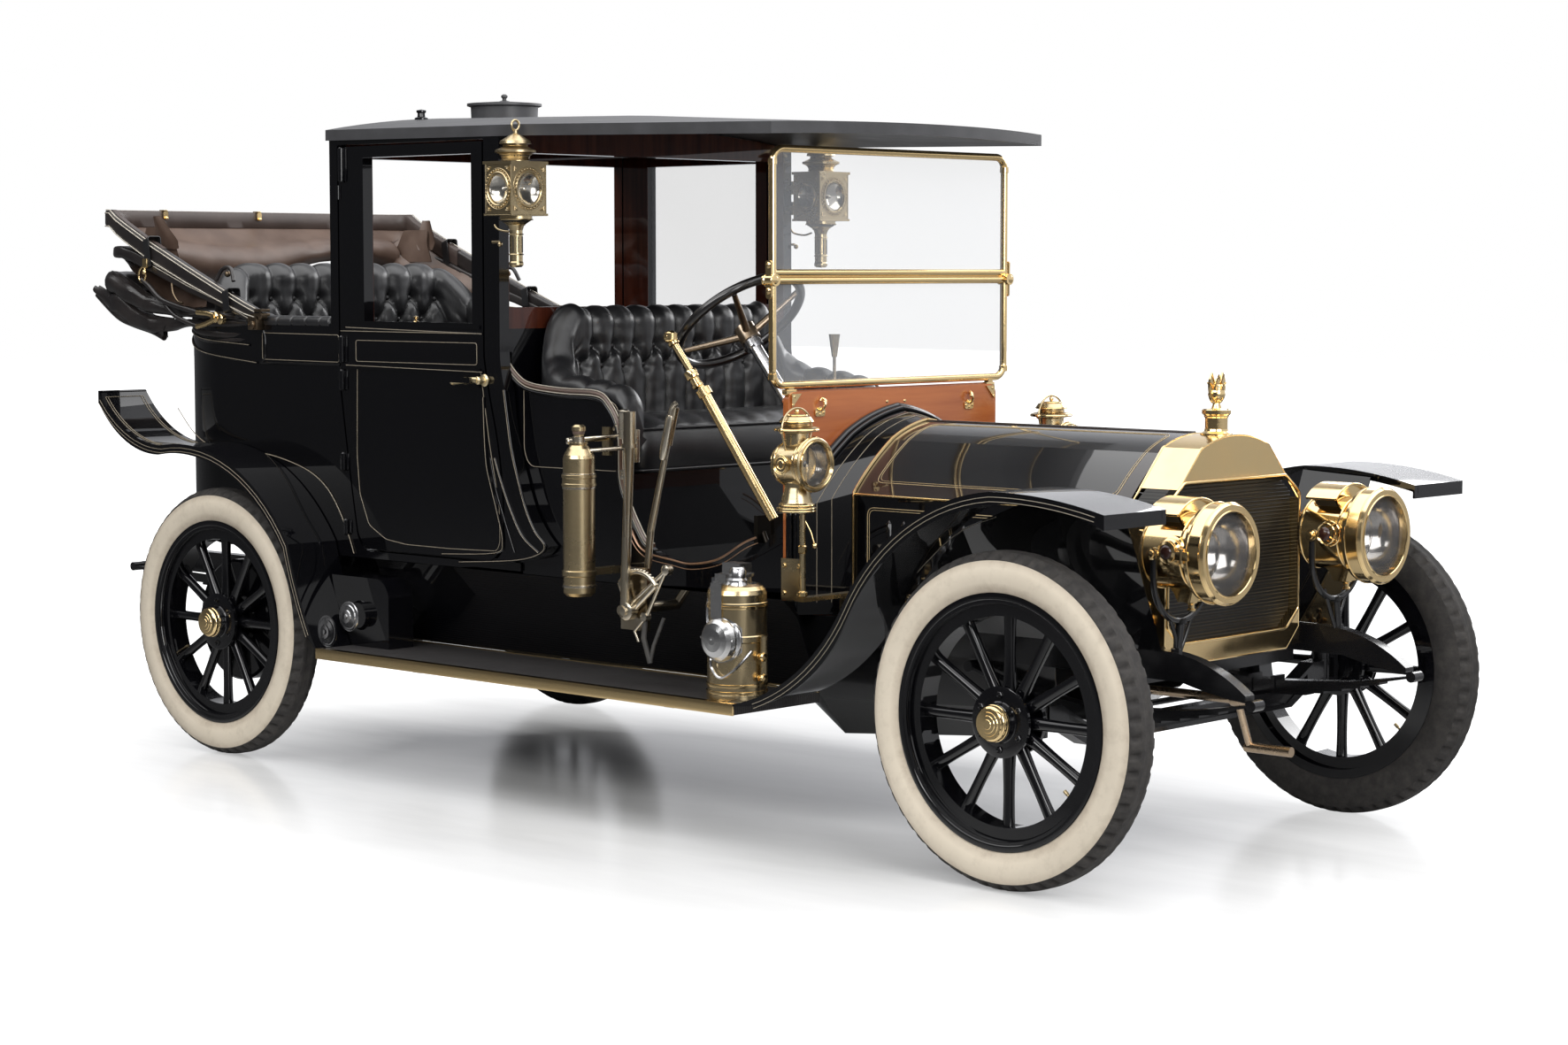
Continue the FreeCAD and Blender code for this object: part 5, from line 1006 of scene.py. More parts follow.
def headlamp_details():
    """Mirror, burner, rings, jewel, chimney and burner box of each headlamp."""
    reflector = Piece("headlamp_reflectors", SILVER, slot="polished_steel")
    fittings = Piece("headlamp_fittings", BRASS, slot="polished_brass")
    dark = Piece("headlamp_mouth_shade", DARK)
    jewels = Piece("headlamp_jewels", JEWEL)
    for side in (-1, 1):
        hub = at(0, side * 368, 866)
        reflector.lathe(hub, ALONG, [
            (113.2, 366), (113, 351), (98, 326), (84, 303), (80, 301), (78, 297), (70, 288), (56, 275.5),
            (43, 267),
            (22, 259.5), (0, 257),
        ], 56)
        reflector.hoop(off(hub, 300, 0, 0), ACROSS, UP, 80.5, 1.4, 40)
        reflector.lathe(hub, ALONG, [(9, 258), (9, 262), (4, 266), (4, 284), (7, 287), (7, 290), (0, 292)],
                        16)
        for k in (-1, 1):
            reflector.tube([off(hub, 287, 0, 0), off(hub, 290, k * 8, 12), off(hub, 290, k * 12, 26)], 0.0022)
        # turned rings along the drum and on the rim
        for radius, x, thick in ((100.5, 182, 2.2), (100.5, 300, 2.6), (132, 346, 2.0), (132, 384, 2.4),
                                 (111, 394, 2.6)):
            fittings.hoop(off(hub, x, 0, 0), ACROSS, UP, radius, thick, 56)
        jewel = off(hub, 284, -128, 8)
        jewels.lathe(jewel, -ACROSS, [(19, 8), (17, 12), (10, 16), (0, 17.5)], 20)
        for radius, inward in ((34.5, 16), (28.6, 0)):
            fittings.hoop(off(jewel, 0, inward, 0), ALONG, UP, radius, 2.2, 32)
        for x, z, size in ((252, 0, 6), (268, -2, 5)):
            fittings.lathe(off(hub, x, side * 98, z), (0, side, 0), [
                (size, 0), (size, 10), (size - 2, 12), (size - 2, 18), (size, 20), (0, 23)], 12)
        # chimney: rolled lid edges, dark sheets in the mouths at both ends as painted shade, wing screws
        for end in (-1, 1):
            lean = math.radians(37.6 * end)
            out = Vector((0, math.sin(lean), math.cos(lean)))
            beyond = Vector((0, math.cos(lean), -math.sin(lean))) * end
            dark.cap([off(hub, x, 0, 0) + out * (r * MM) + beyond * 0.0012
                      for x, r in ((213, 100), (277, 100), (277, 131), (213, 131))])
            for r in (98.5, 133):
                fittings.tube([off(hub, x, 0, 0) + out * (r * MM) + beyond * 0.001 for x in (208, 282)],
                              0.0018, LINE)
            lid = math.radians(43 * end)
            fittings.tube([off(hub, x, 138 * math.sin(lid), 138 * math.cos(lid)) for x in (198, 292)], 0.0042)
        lid_angles = [math.radians(-43 + 86 * i / 18) for i in range(19)]
        for x in (199, 291):
            fittings.tube([off(hub, x, 138.5 * math.sin(t), 138.5 * math.cos(t)) for t in lid_angles], 0.0036)
        for x in (206, 284):
            fittings.ball(off(hub, x, -60, 84), 5)
        # rim hinge and catch
        fittings.block(*sorted_corners(off(hub, 312, side * 122, -12), off(hub, 352, side * 136, 12)), 0.002)
        fittings.lathe(off(hub, 330, side * 132, -20), UP, [(0, 0), (6, 1), (6, 39), (0, 40)], 12)
        # burner box: foot rim, drain tap and gas pipe stub
        fittings.lathe(off(hub, 270, 0, -131), -UP, [
            (16, -1), (16, 3), (11, 5), (8, 8), (8, 18), (11, 20), (11, 24), (0, 26)], 20)
        for way in (side, -side):
            fittings.lathe(off(hub, 236, way * 128, 0), (0, way, 0),
                           [(16, 0), (16, 3), (10, 5), (9, 9), (0, 11)], 20)
    for piece in (reflector, fittings, dark, jewels):
        piece.done()


def sorted_corners(a, b):
    return Vector(map(min, a, b)), Vector(map(max, a, b))


def lamp_fork_rods():
    """Thin stays under each headlamp fork, and the nuts of its stem."""
    rods = Piece("lamp_fork_stays", FRAME_BLACK, slot="frame_paint")

    def build(piece, side):
        y = side * 368
        for k in (-1, 1):
            piece.tube([at(236, y + k * 60, 716), at(236, y + k * 22, 640), at(236, side * 380 + k * 6, 592)],
                       0.0055)
        piece.lathe(at(236, side * 384, 588), UP, [(20, 0), (20, 7), (15, 9), (15, 22), (12, 24)], 6)
        piece.lathe(at(236, y, 676), UP, [(12, -3), (17, 0), (17, 10), (12, 13)], 16)
    rods.both(build).done()


def coach_lamp_details():
    """Trim, glasses, mirrors and brackets of the square lamps on the door posts."""
    brass = Piece("coach_lamp_trim", AGED_BRASS, slot="aged_brass")
    glasses = Piece("coach_lamp_glass", LAMP_GLASS, slot="clear_glass")
    inside = Piece("coach_lamp_mirrors", Paint("lamp_dish", (0.6, 0.57, 0.51), Metallic=1.0, Roughness=0.16))
    dark = Piece("coach_lamp_black_bands", DARK)
    for side in (-1, 1):
        foot = at(-1984, side * 680, 0)
        centre = off(foot, 0, 0, 1835)
        # direction out, direction across, distance out, radius of the glass, half width of the face
        faces = [(ALONG * way, ACROSS, 0.058, 0.047, 0.07) for way in (1, -1)]
        faces += [(ACROSS * way, ALONG, 0.07, 0.043, 0.058) for way in (side, -side)]
        for out, across, reach, light, wide in faces:
            face = centre + out * (reach + 0.0012)
            brass.tube(oval(face, across, UP, light + 0.003, light + 0.006), 0.0032, LINE, closed=True)
            for p in oval(face + out * 0.001, across, UP, light + 0.0095, light + 0.0125, 30):
                brass.ball(p, 2.6, steps=6)
            brass.tube(oval(face - out * 0.001, across, UP, light + 0.0145, light + 0.0175), 0.0013, LINE,
                       closed=True)
            glasses.grid([oval(face + out * (0.004 * (1 - k * k) - 0.002), across, UP, light * k, light * k)
                          for k in (0.02, 0.35, 0.62, 0.82, 0.83, 0.94, 1.0)], closed_columns=True)
            # dished mirror behind the glass, with a bright boss at its middle
            rim = light / MM + 1
            inside.lathe(face, out, [
                (rim, -5), (rim * 0.9, -12), (rim * 0.62, -20), (rim * 0.3, -24), (6, -25), (5, -19),
                (0, -16)], 32)
            # small raised scrolls in the four corners
            for a in (-1, 1):
                for b in (-1, 1):
                    corner = face + across * (a * (wide - 0.012)) + UP * (b * 0.064)
                    brass.tube([corner + across * (a * -0.012), corner, corner + UP * (b * -0.012)], 0.0016,
                               LINE)
                    brass.ball(corner - across * (a * 0.005) - UP * (b * 0.005), 3, steps=8)
            for a in (-1, 1):
                edge = face + across * (a * (wide - 0.002)) - out * 0.003
                brass.tube([edge - UP * 0.076, edge + UP * 0.076], 0.0036, LINE)
            for z in (-0.0775, 0.0775):
                brass.tube([face + across * (a * wide) + UP * z for a in (-1, 1)], 0.003, LINE)
        for r, z in ((41.5, 1922), (47, 1938), (35.5, 1964), (26, 1728), (50, 1744), (21.2, 1640),
                     (21.2, 1700)):
            brass.hoop(off(foot, 0, 0, z), ALONG, ACROSS, r, 2.1, 32)
        for band in ([(40.6, 1921), (40.8, 1925), (44, 1933), (46.4, 1937.5)],
                     [(26.5, 1728.5), (36, 1735), (48.6, 1743)],
                     [(35, 1960.5), (34.8, 1962), (34.8, 1967)]):
            dark.lathe(foot, UP, band, 32)
        for low in oval(off(foot, 0, 0, 1646), ALONG, ACROSS, 0.0204, 0.0204, 16)[1::2]:
            dark.tube([low, off(low, 0, 0, 48)], 0.0016, LINE)
        # wire bracket to the post, with its bar and knob
        hoop = [(-2102, 1730), (-2087, 1716), (-2041, 1709), (-2008, 1716)]
        brass.tube(wire(*[(x, side * 660, z) for x, z in hoop]), 0.0032)
        brass.tube([at(-2118, side * 655, 1678), at(-2084, side * 659, 1678)], 0.0042)
        brass.ball(at(-2078, side * 660, 1671), 8)
        for z in (1790, 1858):
            brass.block(*sorted_corners(at(-2098, side * 651, z - 14), at(-2084, side * 657, z + 30)), 0.002)
    for piece in (brass, glasses, inside, dark):
        piece.done()


def dash_lamp_details():
    """Mirrors, rings, side plates and posts of the lamps beside the dash."""
    bright = Piece("dash_lamp_trim", BRASS, slot="polished_brass")
    mirror = Piece("dash_lamp_mirrors", SILVER)
    x, y = -932, 578
    for side in (-1, 1):
        hub = at(x, side * y, 1052)
        mirror.lathe(hub, ALONG, [(61, 59), (50, 31), (44, 26), (30, 22.5), (0, 21)], 36)
        mirror.hoop(off(hub, 34, 0, 0), ACROSS, UP, 50, 1.2, 36)
        mirror.lathe(hub, ALONG, [(12, 22), (14, 26), (10, 34), (0, 38)], 20)
        for r, out, thick in ((72, 57, 2.2), (76, 66, 2.4), (66, 78, 2.2), (62.4, -30, 1.8), (62.4, 38, 2.0),
                              (53, -50, 1.6)):
            bright.tube([hub + Vector((out * MM, math.cos(t) * r * MM, math.sin(t) * r * MM))
                         for t in turns(44)],
                        thick * MM, LINE, closed=True)
        for r, height, thick in ((54.5, 920, 1.6), (54.5, 927, 1.4), (50.5, 936, 1.6), (63.4, 1148, 2.6),
                                 (47.5, 1171, 2.2), (35, 1000, 1.4), (35, 1162, 1.8), (30, 1188, 1.6)):
            bright.tube([at(x, side * y, height) + Vector((math.cos(t), math.sin(t), 0)) * r * MM
                         for t in turns(36)],
                        thick * MM, LINE, closed=True)
        plate = hub + Vector((0, side * 0.066, 0))
        for r, out in ((27, 1.5), (22, 1.8), (12, 2.2)):
            bright.tube([plate + Vector((math.cos(t) * r * MM, side * out * MM, math.sin(t) * r * MM))
                         for t in turns(32)], 0.0015, LINE, closed=True)
        for k in (-1, 1):
            bright.lathe(at(x, side * y + k * 62, 1146), (0, k, 0), [(8, -2), (8, 3), (5, 5), (0, 6)], 12)
        bright.ball(at(x, side * y, 1198), 7)
        bright.ball(at(-880, side * 560, 822), 8)
        bright.tube([at(-880, side * 560, 824), at(-890, side * 566, 862), at(-905, side * 574, 893)], 0.0024)
        # post plate screws, and the collars on the post
        for along in (-980, -924):
            for z in (684, 762):
                bright.lathe(at(along, side * 572, z), (0, side, 0), [(7, -12), (7, 8), (5, 10.5), (0, 11.5)],
                             14)
        for collar in ([(9.2, 800), (13, 803), (13, 820), (9.2, 823)],
                       [(9.2, 676), (15, 679), (15, 690), (9.2, 694)]):
            bright.lathe(at(-910, side * 578, 0), UP, collar, 20)
    bright.done()
    mirror.done()


headlamp_details()
lamp_fork_rods()
coach_lamp_details()
dash_lamp_details()

# ---------------------------------------------------------------- seats


def flat_path(corners, step):
    """Points evenly along a flat line, with the distance to each and the direction to its left."""
    line = [Vector(c) for c in corners]
    lengths = [(b - a).length for a, b in zip(line, line[1:])]
    total = sum(lengths)
    count = round(total / step)
    rows = []
    for i in range(count + 1):
        run_to = total * i / count
        left, k = run_to, 0
        while k < len(lengths) - 1 and left > lengths[k]:
            left -= lengths[k]
            k += 1
        run = (line[k + 1] - line[k]).normalized()
        rows.append((line[k] + run * left, run_to, Vector((-run.y, run.x))))
    return rows, total


def between(table, x):
    """Straight between the rows of a table of (x, value) in falling or rising x."""
    rows = sorted(table)
    if x <= rows[0][0]:
        return rows[0][1]
    for (a, p), (b, q) in zip(rows, rows[1:]):
        if x <= b:
            return p + (q - p) * (x - a) / (b - a)
    return rows[-1][1]


def crease(gap, pitch):
    """0 on a sewn crease, rising to 1 on the crown of the pleat beside it."""
    return math.sin(min(1.0, gap / (0.42 * pitch)) * math.pi / 2) ** 0.75


def off_line(value, pitch):
    """Distance to the nearest multiple of pitch."""
    return abs((value / pitch + 0.5) % 1.0 - 0.5) * pitch


def tufting(u, s, pitch, rows):
    """Height of buttoned leather, u along and s below its edge: pleats with diamonds between."""
    first, last = rows[0], rows[-1]
    if s <= first:
        height = crease(off_line(u, pitch), pitch)
    elif s >= last:
        height = crease(off_line(u + (len(rows) - 1) % 2 * pitch / 2, pitch), pitch)
    else:
        k = max(i for i, row in enumerate(rows) if row <= s)
        share = (s - rows[k]) / (rows[k + 1] - rows[k])
        start = u + k % 2 * pitch / 2
        near = min(off_line(start - share * pitch / 2, pitch), off_line(start + share * pitch / 2, pitch))
        height = crease(near, pitch * 0.8)
    dimple = 0.0
    for i, row in enumerate(rows):
        reach = math.hypot(off_line(u + i % 2 * pitch / 2, pitch), s - row)
        dimple = max(dimple, math.exp(-(reach / 20) ** 2))
    return height - 1.1 * dimple


# shares of a back's section in its front and its crown, and how much tufting the outside keeps
FRONT_SHARE, CROWN_SHARE, OUTER_FADE = 0.62, 0.28, 0.12


def seat_back(name, cad, plan, thick, tops, base, outer_base, pitch, rows, puff):
    """A buttoned back that curves into the arms. plan is the inner face, from right to left."""
    piece = Piece(name, BLACK_LEATHER, slot="black_leather", sharp=75)
    buttons = Piece(f"{name}_buttons", BLACK_LEATHER, slot="black_leather")
    line, total = flat_path(plan, 5.0)
    # the outward directions are softened so that the corners fan out
    outs = []
    for i in range(len(line)):
        span = line[max(0, i - 14):i + 15]
        outs.append(sum((row[2] for row in span), Vector((0, 0))).normalized())
    table = []
    for (spot, u, _), out in zip(line, outs):
        u -= total / 2
        width = between(thick, spot.x)
        radius = width / 2
        top = between(tops, (spot + out * radius).x)
        shoulder = top - radius
        column = []
        for k in range(101):
            share = k / 100
            if share < FRONT_SHARE:
                v = share / FRONT_SHARE
                s = radius + (1 - v) * (shoulder - base)
                o, z = 0.0, base + v * (shoulder - base)
                face = (-1.0, 0.0)
                fade = min(1.0, v * 6)
            elif share < FRONT_SHARE + CROWN_SHARE:
                angle = math.pi * (share - FRONT_SHARE) / CROWN_SHARE
                s = radius * (1 - angle / (math.pi / 2) * 1.1)
                o, z = radius * (1 - math.cos(angle)), shoulder + radius * math.sin(angle)
                face = (-math.cos(angle), math.sin(angle))
                fade = 1.0 if angle < 1.6 else max(OUTER_FADE, 1 - (angle - 1.6) / 1.3)
            else:
                v = (share - FRONT_SHARE - CROWN_SHARE) / (1 - FRONT_SHARE - CROWN_SHARE)
                s = -radius
                o, z = width, shoulder - v * (shoulder - outer_base)
                face = (1.0, 0.0)
                fade = OUTER_FADE
            lift = puff * fade * (tufting(u, s, pitch, rows) - 0.9)
            lift += fade * 2.2 * noise.noise(Vector((u * 0.021, s * 0.03, 3.1)))
            o += face[0] * lift
            column.append(at(spot.x + out.x * o, spot.y + out.y * o, z + face[1] * lift))
        table.append(column)
        for i, row in enumerate(rows):
            in_pleat = off_line(u + i % 2 * pitch / 2, pitch) < 2.6
            height = top - row
            clear_of_ends = abs(u) <= 25 or (abs(u) < total / 2 - 30 and height < shoulder + 20)
            if in_pleat and clear_of_ends and height > base + 40:
                sunk = puff * 1.53
                centre = at(spot.x + out.x * sunk, spot.y + out.y * sunk, height)
                buttons.ball(centre, 8.5, 0.5, (out.x, out.y, 0), 10)
    piece.grid(table)
    piece.cap(table[0])
    piece.cap(table[-1][::-1])
    thing = piece.done([cad])
    buttons.done()


def cushion(name, low, high, corner, pleat_from, puff, welt):
    """A crowned cushion: sides that swell between piped seams, and soft pleats on top near its front edge."""
    piece = Piece(name, BLACK_LEATHER, slot="black_leather", sharp=70)
    (x0, y0, z0), (x1, y1, z1) = low, high

    def corners(shrink):
        left, right, back, front = y0 + shrink, y1 - shrink, x0 + shrink, x1 - shrink
        return [(back, left), (front, left), (front, right), (back, right)]

    def ring(shrink, height):
        points = []
        for p in divided(rounded(corners(shrink), max(14, corner - shrink * 0.3), 8), 12):
            front = max(0.0, 1 - (x1 - p.x) / pleat_from) * (height > welt)
            fold = crease(off_line(p.y, 88), 88) - 1
            wave = noise.noise(Vector((p.x * 0.011, p.y * 0.014, height * 0.02))) * (height > z0 + 10)
            points.append(at(p.x, p.y, height + fold * puff * front + 3.5 * wave))
        return points

    depth = min(x1 - x0, y1 - y0) / 2
    rise = z1 - welt
    levels = [(10, z0), (2, z0 + 10)]
    for k in range(1, 8):
        t = k / 8
        levels.append((2 - 12 * math.sin(math.pi * t), z0 + 10 + (welt - z0 - 14) * t))
    levels += [(3, welt - 3), (5, welt), (4, welt + 3)]
    for k in range(1, 17):
        t = k / 16
        levels.append((4 + (depth - 10) * t,
                       welt + 3 + (rise - 3) * math.sin(math.pi / 2 * min(1, t * 1.5)) ** 0.7))
    rings = [ring(*level) for level in levels]
    count = min(len(r) for r in rings)
    piece.skin([[r[int(i * len(r) / count)] for i in range(count)] for r in rings])
    piece.done()
    cord = Piece(f"{name}_welt", BLACK_LEATHER, slot="black_leather")
    for height, shrink in ((welt, -1), (z0 + 8, 0)):
        line = divided(rounded(corners(shrink), corner, 8), 60)
        cord.tube([at(p.x, p.y, height) for p in line], 0.0042, closed=True)
    cord.done()


def mirrored_plan(half):
    """A plan given for the right side, carried on to the left."""
    return half + [(x, -y) for x, y in reversed(half)]


def seats():
    """Both buttoned backs with their cushions, and the padded rolls along the tops of the cabin's sides."""
    front_corner = arc((-1895, -489), (-1958, -462), (-1974, -391), 10)
    front_plan = mirrored_plan([(-1622, -489)] + front_corner)
    seat_back("front_seat_back", "front_seat", front_plan,
              [(-1622, 90), (-1900, 92), (-1960, 106), (-1980, 112)],
              [(-1618, 1196), (-1632, 1226), (-1660, 1248), (-1712, 1262), (-1800, 1268), (-1880, 1278),
               (-1950, 1298), (-1985, 1330),
               (-2005, 1390), (-2020, 1450), (-2032, 1494)], 1090, 1010, 90, (124, 184), 15)
    cushion("front_seat_cushion", (-1966, -486, 986), (-1652, 486, 1156), 46, 190, 7, 1119)
    rear_corner = arc((-3520, -485), (-3605, -448), (-3632, -350), 10)
    rear_plan = mirrored_plan([(-3186, -485)] + rear_corner)
    seat_back("rear_seat_back", "rear_seat", rear_plan,
              [(-3186, 100), (-3520, 104), (-3600, 112), (-3640, 112)],
              [(-3180, 1400), (-3205, 1416), (-3260, 1430), (-3480, 1466), (-3560, 1500), (-3620, 1560),
               (-3660, 1600), (-3686, 1616)],
              1010, 960, 104, (122, 198, 274), 17)
    cushion("rear_seat_cushion", (-3620, -478, 882), (-3152, 478, 1062), 50, 190, 7, 1030)
    roll = Piece("elbow_rolls", BLACK_LEATHER, slot="black_leather", sharp=70)

    def build(piece, side):
        rows = []
        for i in range(160):
            x = -2905 - 452 * i / 159
            pinch = 1 - 0.1 * math.exp(-(off_line(x, 74) / 4) ** 2)
            end = min(1, 0.35 + i / 6, 0.35 + (159 - i) / 6)
            rows.append([at(x, side * (630 + 26 * pinch * end * math.cos(t)),
                            1424 + 21 * pinch * end * math.sin(t))
                         for t in [TAU * k / 18 for k in range(18)]])
        piece.skin(rows)
    roll.both(build).done()


# ---------------------------------------------------------------- hood


def hood_path(side_line, half, rear, corner, step=22):
    """A line round the hood: along the right side, across the back and along the left side.
    side_line rows are (station, height, more...). Gives (place, outward, values, distance)."""
    rows = []
    for a, b in zip(side_line, side_line[1:]):
        parts = max(1, round(math.hypot(b[0] - a[0], b[1] - a[1]) / step))
        for k in range(parts):
            t = k / parts
            rows.append(tuple(p + (q - p) * t for p, q in zip(a, b)))
    rows.append(side_line[-1])
    right = [((row[0], -half), (0.0, -1.0), row[1:]) for row in rows]
    last = side_line[-1][1:]
    turn_x = side_line[-1][0]
    steps = max(4, round(corner * 1.57 / step))
    bend = []
    for k in range(1, steps):
        t = math.pi / 2 * k / steps
        bend.append(((turn_x - (turn_x - rear) * math.sin(t), -(half - corner) - corner * math.cos(t)),
                     (-math.sin(t), -math.cos(t)), last))
    across = round(2 * (half - corner) / step)
    back = [((rear, -(half - corner) + 2 * (half - corner) * k / across), (-1.0, 0.0), last)
            for k in range(across + 1)]
    left = [((x, -y), (ox, -oy), more) for (x, y), (ox, oy), more in reversed(right + bend)]
    whole, distance, before = [], 0.0, None
    for (x, y), out, more in right + bend + back + left:
        if before:
            distance += math.hypot(x - before[0], y - before[1])
        before = (x, y)
        whole.append(((x, y, more[0]), out, more[1:], distance))
    return whole


def hood_fold(piece, path, section, crumple):
    """Sweeps a closed section round the hood; it gives outward and upward offsets in millimetres."""
    rings = []
    for (x, y, z), (ox, oy), values, run in path:
        ring = []
        for i, (o, u) in enumerate(section(*values)):
            wave = crumple * noise.noise(Vector((run * 0.011, o * 0.03 + i * 0.35, u * 0.02 + z * 0.013)))
            wave += 0.35 * crumple * noise.noise(Vector((run * 0.04, i * 0.9, 7.7)))
            ring.append(at(x + ox * (o + wave), y + oy * (o + wave), z + u + 0.6 * wave))
        rings.append(ring)
    piece.skin(rings)


def hood_cord(piece, path, offset, radius):
    """A fine cord along the hood; offset(values) gives its place on the section."""
    line = []
    for (x, y, z), (ox, oy), values, _ in path:
        o, u = offset(*values)
        line.append(at(x + ox * o, y + oy * o, z + u))
    piece.tube(line, radius, LINE)


def slab(high, thick, soft=0.35):
    """An upright section with rounded edges, high and thick, hung from its top."""
    half = thick / 2
    return rounded([(-half, 0), (half, 0), (half, -high), (-half, -high)], min(thick * soft, high * 0.4), 4)


def hood():
    """The folded hood: its bows and folds, one below the other, with piping and the lining inside."""
    main_line = [(-3262, 1466, 30, 30), (-3315, 1484, 38, 32), (-3440, 1530, 46, 34), (-3640, 1608, 57, 36),
                 (-3862, 1697, 62, 36), (-3985, 1752, 62, 36), (-4035, 1776, 60, 36), (-4072, 1800, 58, 34)]
    main = hood_path(main_line, 668, -4150, 112)
    bow = Piece("hood_main_bow", DARK_LEATHER, slot="hood_leather", sharp=60)
    hood_fold(bow, main, slab, 1.2)
    bow_thing = bow.done(["folded_hood"])
    second_line = [(-3300, 1446, 26, 26), (-3450, 1500, 34, 30), (-3640, 1556, 40, 34), (-3846, 1628, 44, 38),
                   (-3960, 1664, 44, 42), (-4020, 1676, 42, 44)]
    second = hood_path(second_line, 660, -4120, 120)
    low = Piece("hood_second_bow", DARK_LEATHER, slot="hood_leather", sharp=60)
    hood_fold(low, second, slab, 4.0)
    low.done()
    # third fold: a deep open fold that swells to the rear
    third_line = [(-3400, 1450, 22, 22), (-3592, 1456, 26, 30), (-3747, 1474, 34, 40), (-3887, 1500, 52, 56),
                  (-4010, 1556, 74, 66), (-4080, 1588, 74, 60)]
    third = hood_path(third_line, 650, -4190, 150)
    fold = Piece("hood_slack_fold", DARK_LEATHER, slot="hood_leather", sharp=60)
    hood_fold(fold, third, lambda h, w: slab(h, w, 0.48), 11.0)
    fold.done()
    fourth_line = [(-3460, 1432, 14, 18), (-3640, 1426, 20, 26), (-3760, 1424, 34, 40), (-3860, 1430, 56, 56),
                   (-3980, 1468, 74, 60), (-4070, 1518, 74, 54)]
    fourth = hood_path(fourth_line, 640, -4200, 160)
    under = Piece("hood_lower_fold", DARK_LEATHER, slot="hood_leather", sharp=60)
    hood_fold(under, fourth, lambda h, w: slab(h, w, 0.48), 9.0)
    under.done()
    # loose corner of leather that hangs open below the folds, each side
    flap = Piece("hood_hanging_corner", DARK_LEATHER, slot="hood_leather", sharp=60)

    def corner_flap(piece, side):
        upper = smooth_path([(-3770, 1430), (-3900, 1442), (-4040, 1474), (-4150, 1520), (-4206, 1540)], 5)
        lower = smooth_path([(-3822, 1362), (-3890, 1384), (-4000, 1406), (-4094, 1434), (-4211, 1507)], 5)
        for y, skin_gap in ((-652, 0), (-636, 2)):
            rows = []
            for a, b in zip(upper, lower):
                row = []
                for k in range(9):
                    t = k / 8
                    p = a.lerp(b, t)
                    bulge = 12 * math.sin(math.pi * t) + 5 * noise.noise(Vector((p.x * 0.02, p.y * 0.02, y)))
                    row.append(at(p.x, side * (-y - 8 * t + bulge - skin_gap), p.y))
                rows.append(row)
            piece.grid(rows)
        # bottom edge rolled from side to side
        piece.tube([at(p.x, side * 640, p.y) for p in lower], 0.011)
    flap.both(corner_flap).done()
    piping = Piece("hood_piping", matt("hood_piping", (0.42, 0.38, 0.32), (0.58, 0.53, 0.45), 0.5, 40.0),
                   slot="hood_leather")
    for out, drop in ((-3, 0.8), (0.8, -10)):
        hood_cord(piping, main, lambda h, w: (w / 2 + out, drop), 0.0019)
    hood_cord(piping, main, lambda h, w: (w / 2 + 0.6, -h + 3), 0.0019)
    for out, drop in ((1.2, -5), (1.4, -14)):
        for arm in (second[:26], second[-26:]):
            hood_cord(piping, arm, lambda h, w: (w / 2 + out, drop), 0.0017)
    piping.done()
    # brown inside of the bow across the back and round the corners
    inner_band = Piece("hood_inner_band", BOW_LEATHER, slot="hood_leather", sharp=60)
    strip = []
    for (x, y, z), (ox, oy), (h, w), run in main[26:-26]:
        face = -w / 2
        row = []
        for o, u in ((4, 1.6), (face + 3, 1.4), (face - 1.2, -3), (face - 1.8, -h * 0.5),
                     (face - 1.4, -h + 3),
                     (face + 6, -h - 1.2)):
            wave = 0.8 * noise.noise(Vector((run * 0.012, u * 0.05, 1.3)))
            row.append(at(x + ox * (o + wave), y + oy * (o + wave), z + u))
        strip.append(row)
    inner_band.grid(strip).done()
    # the slack lining that hangs in a roll inside the bow
    lining = Piece("hood_lining", BROWN_LEATHER, slot="hood_leather", sharp=75)
    kept = main[14:-14]
    last = len(kept) - 1
    # places on the lining's section: outward from the bow, and down from its lower edge
    section = [(-6, 6), (-20, -2), (-60, -14), (-110, -26), (-150, -44), (-168, -74), (-158, -104),
               (-120, -126),
               (-60, -134), (-24, -128)]
    rows = []
    for i, ((x, y, z), (ox, oy), (h, _), run) in enumerate(kept):
        side_share = min(1.0, i / 14, (last - i) / 14)
        middle_share = 1 - abs(2 * i / last - 1)
        sag = (0.3 + 0.7 * side_share) * (1 + 0.25 * math.sin(run * 0.006))
        reach = side_share * (0.62 + 0.5 * middle_share)
        row = []
        for o, drop in section:
            drop -= 26 * middle_share * (o < -50)
            u = drop - h
            fold = 9 * noise.noise(Vector((run * 0.006 + u * 0.004, o * 0.013, 2.2)))
            fold += 10 * abs(noise.noise(Vector((run * 0.019 + o * 0.008, o * 0.02, u * 0.012))))
            fold *= o < -20
            inward = o * reach + fold
            row.append(at(x + ox * inward, y + oy * inward, z + 6 - h + (drop - 6) * sag - fold * 0.5))
        rows.append(row)
    lining.grid(rows).done()


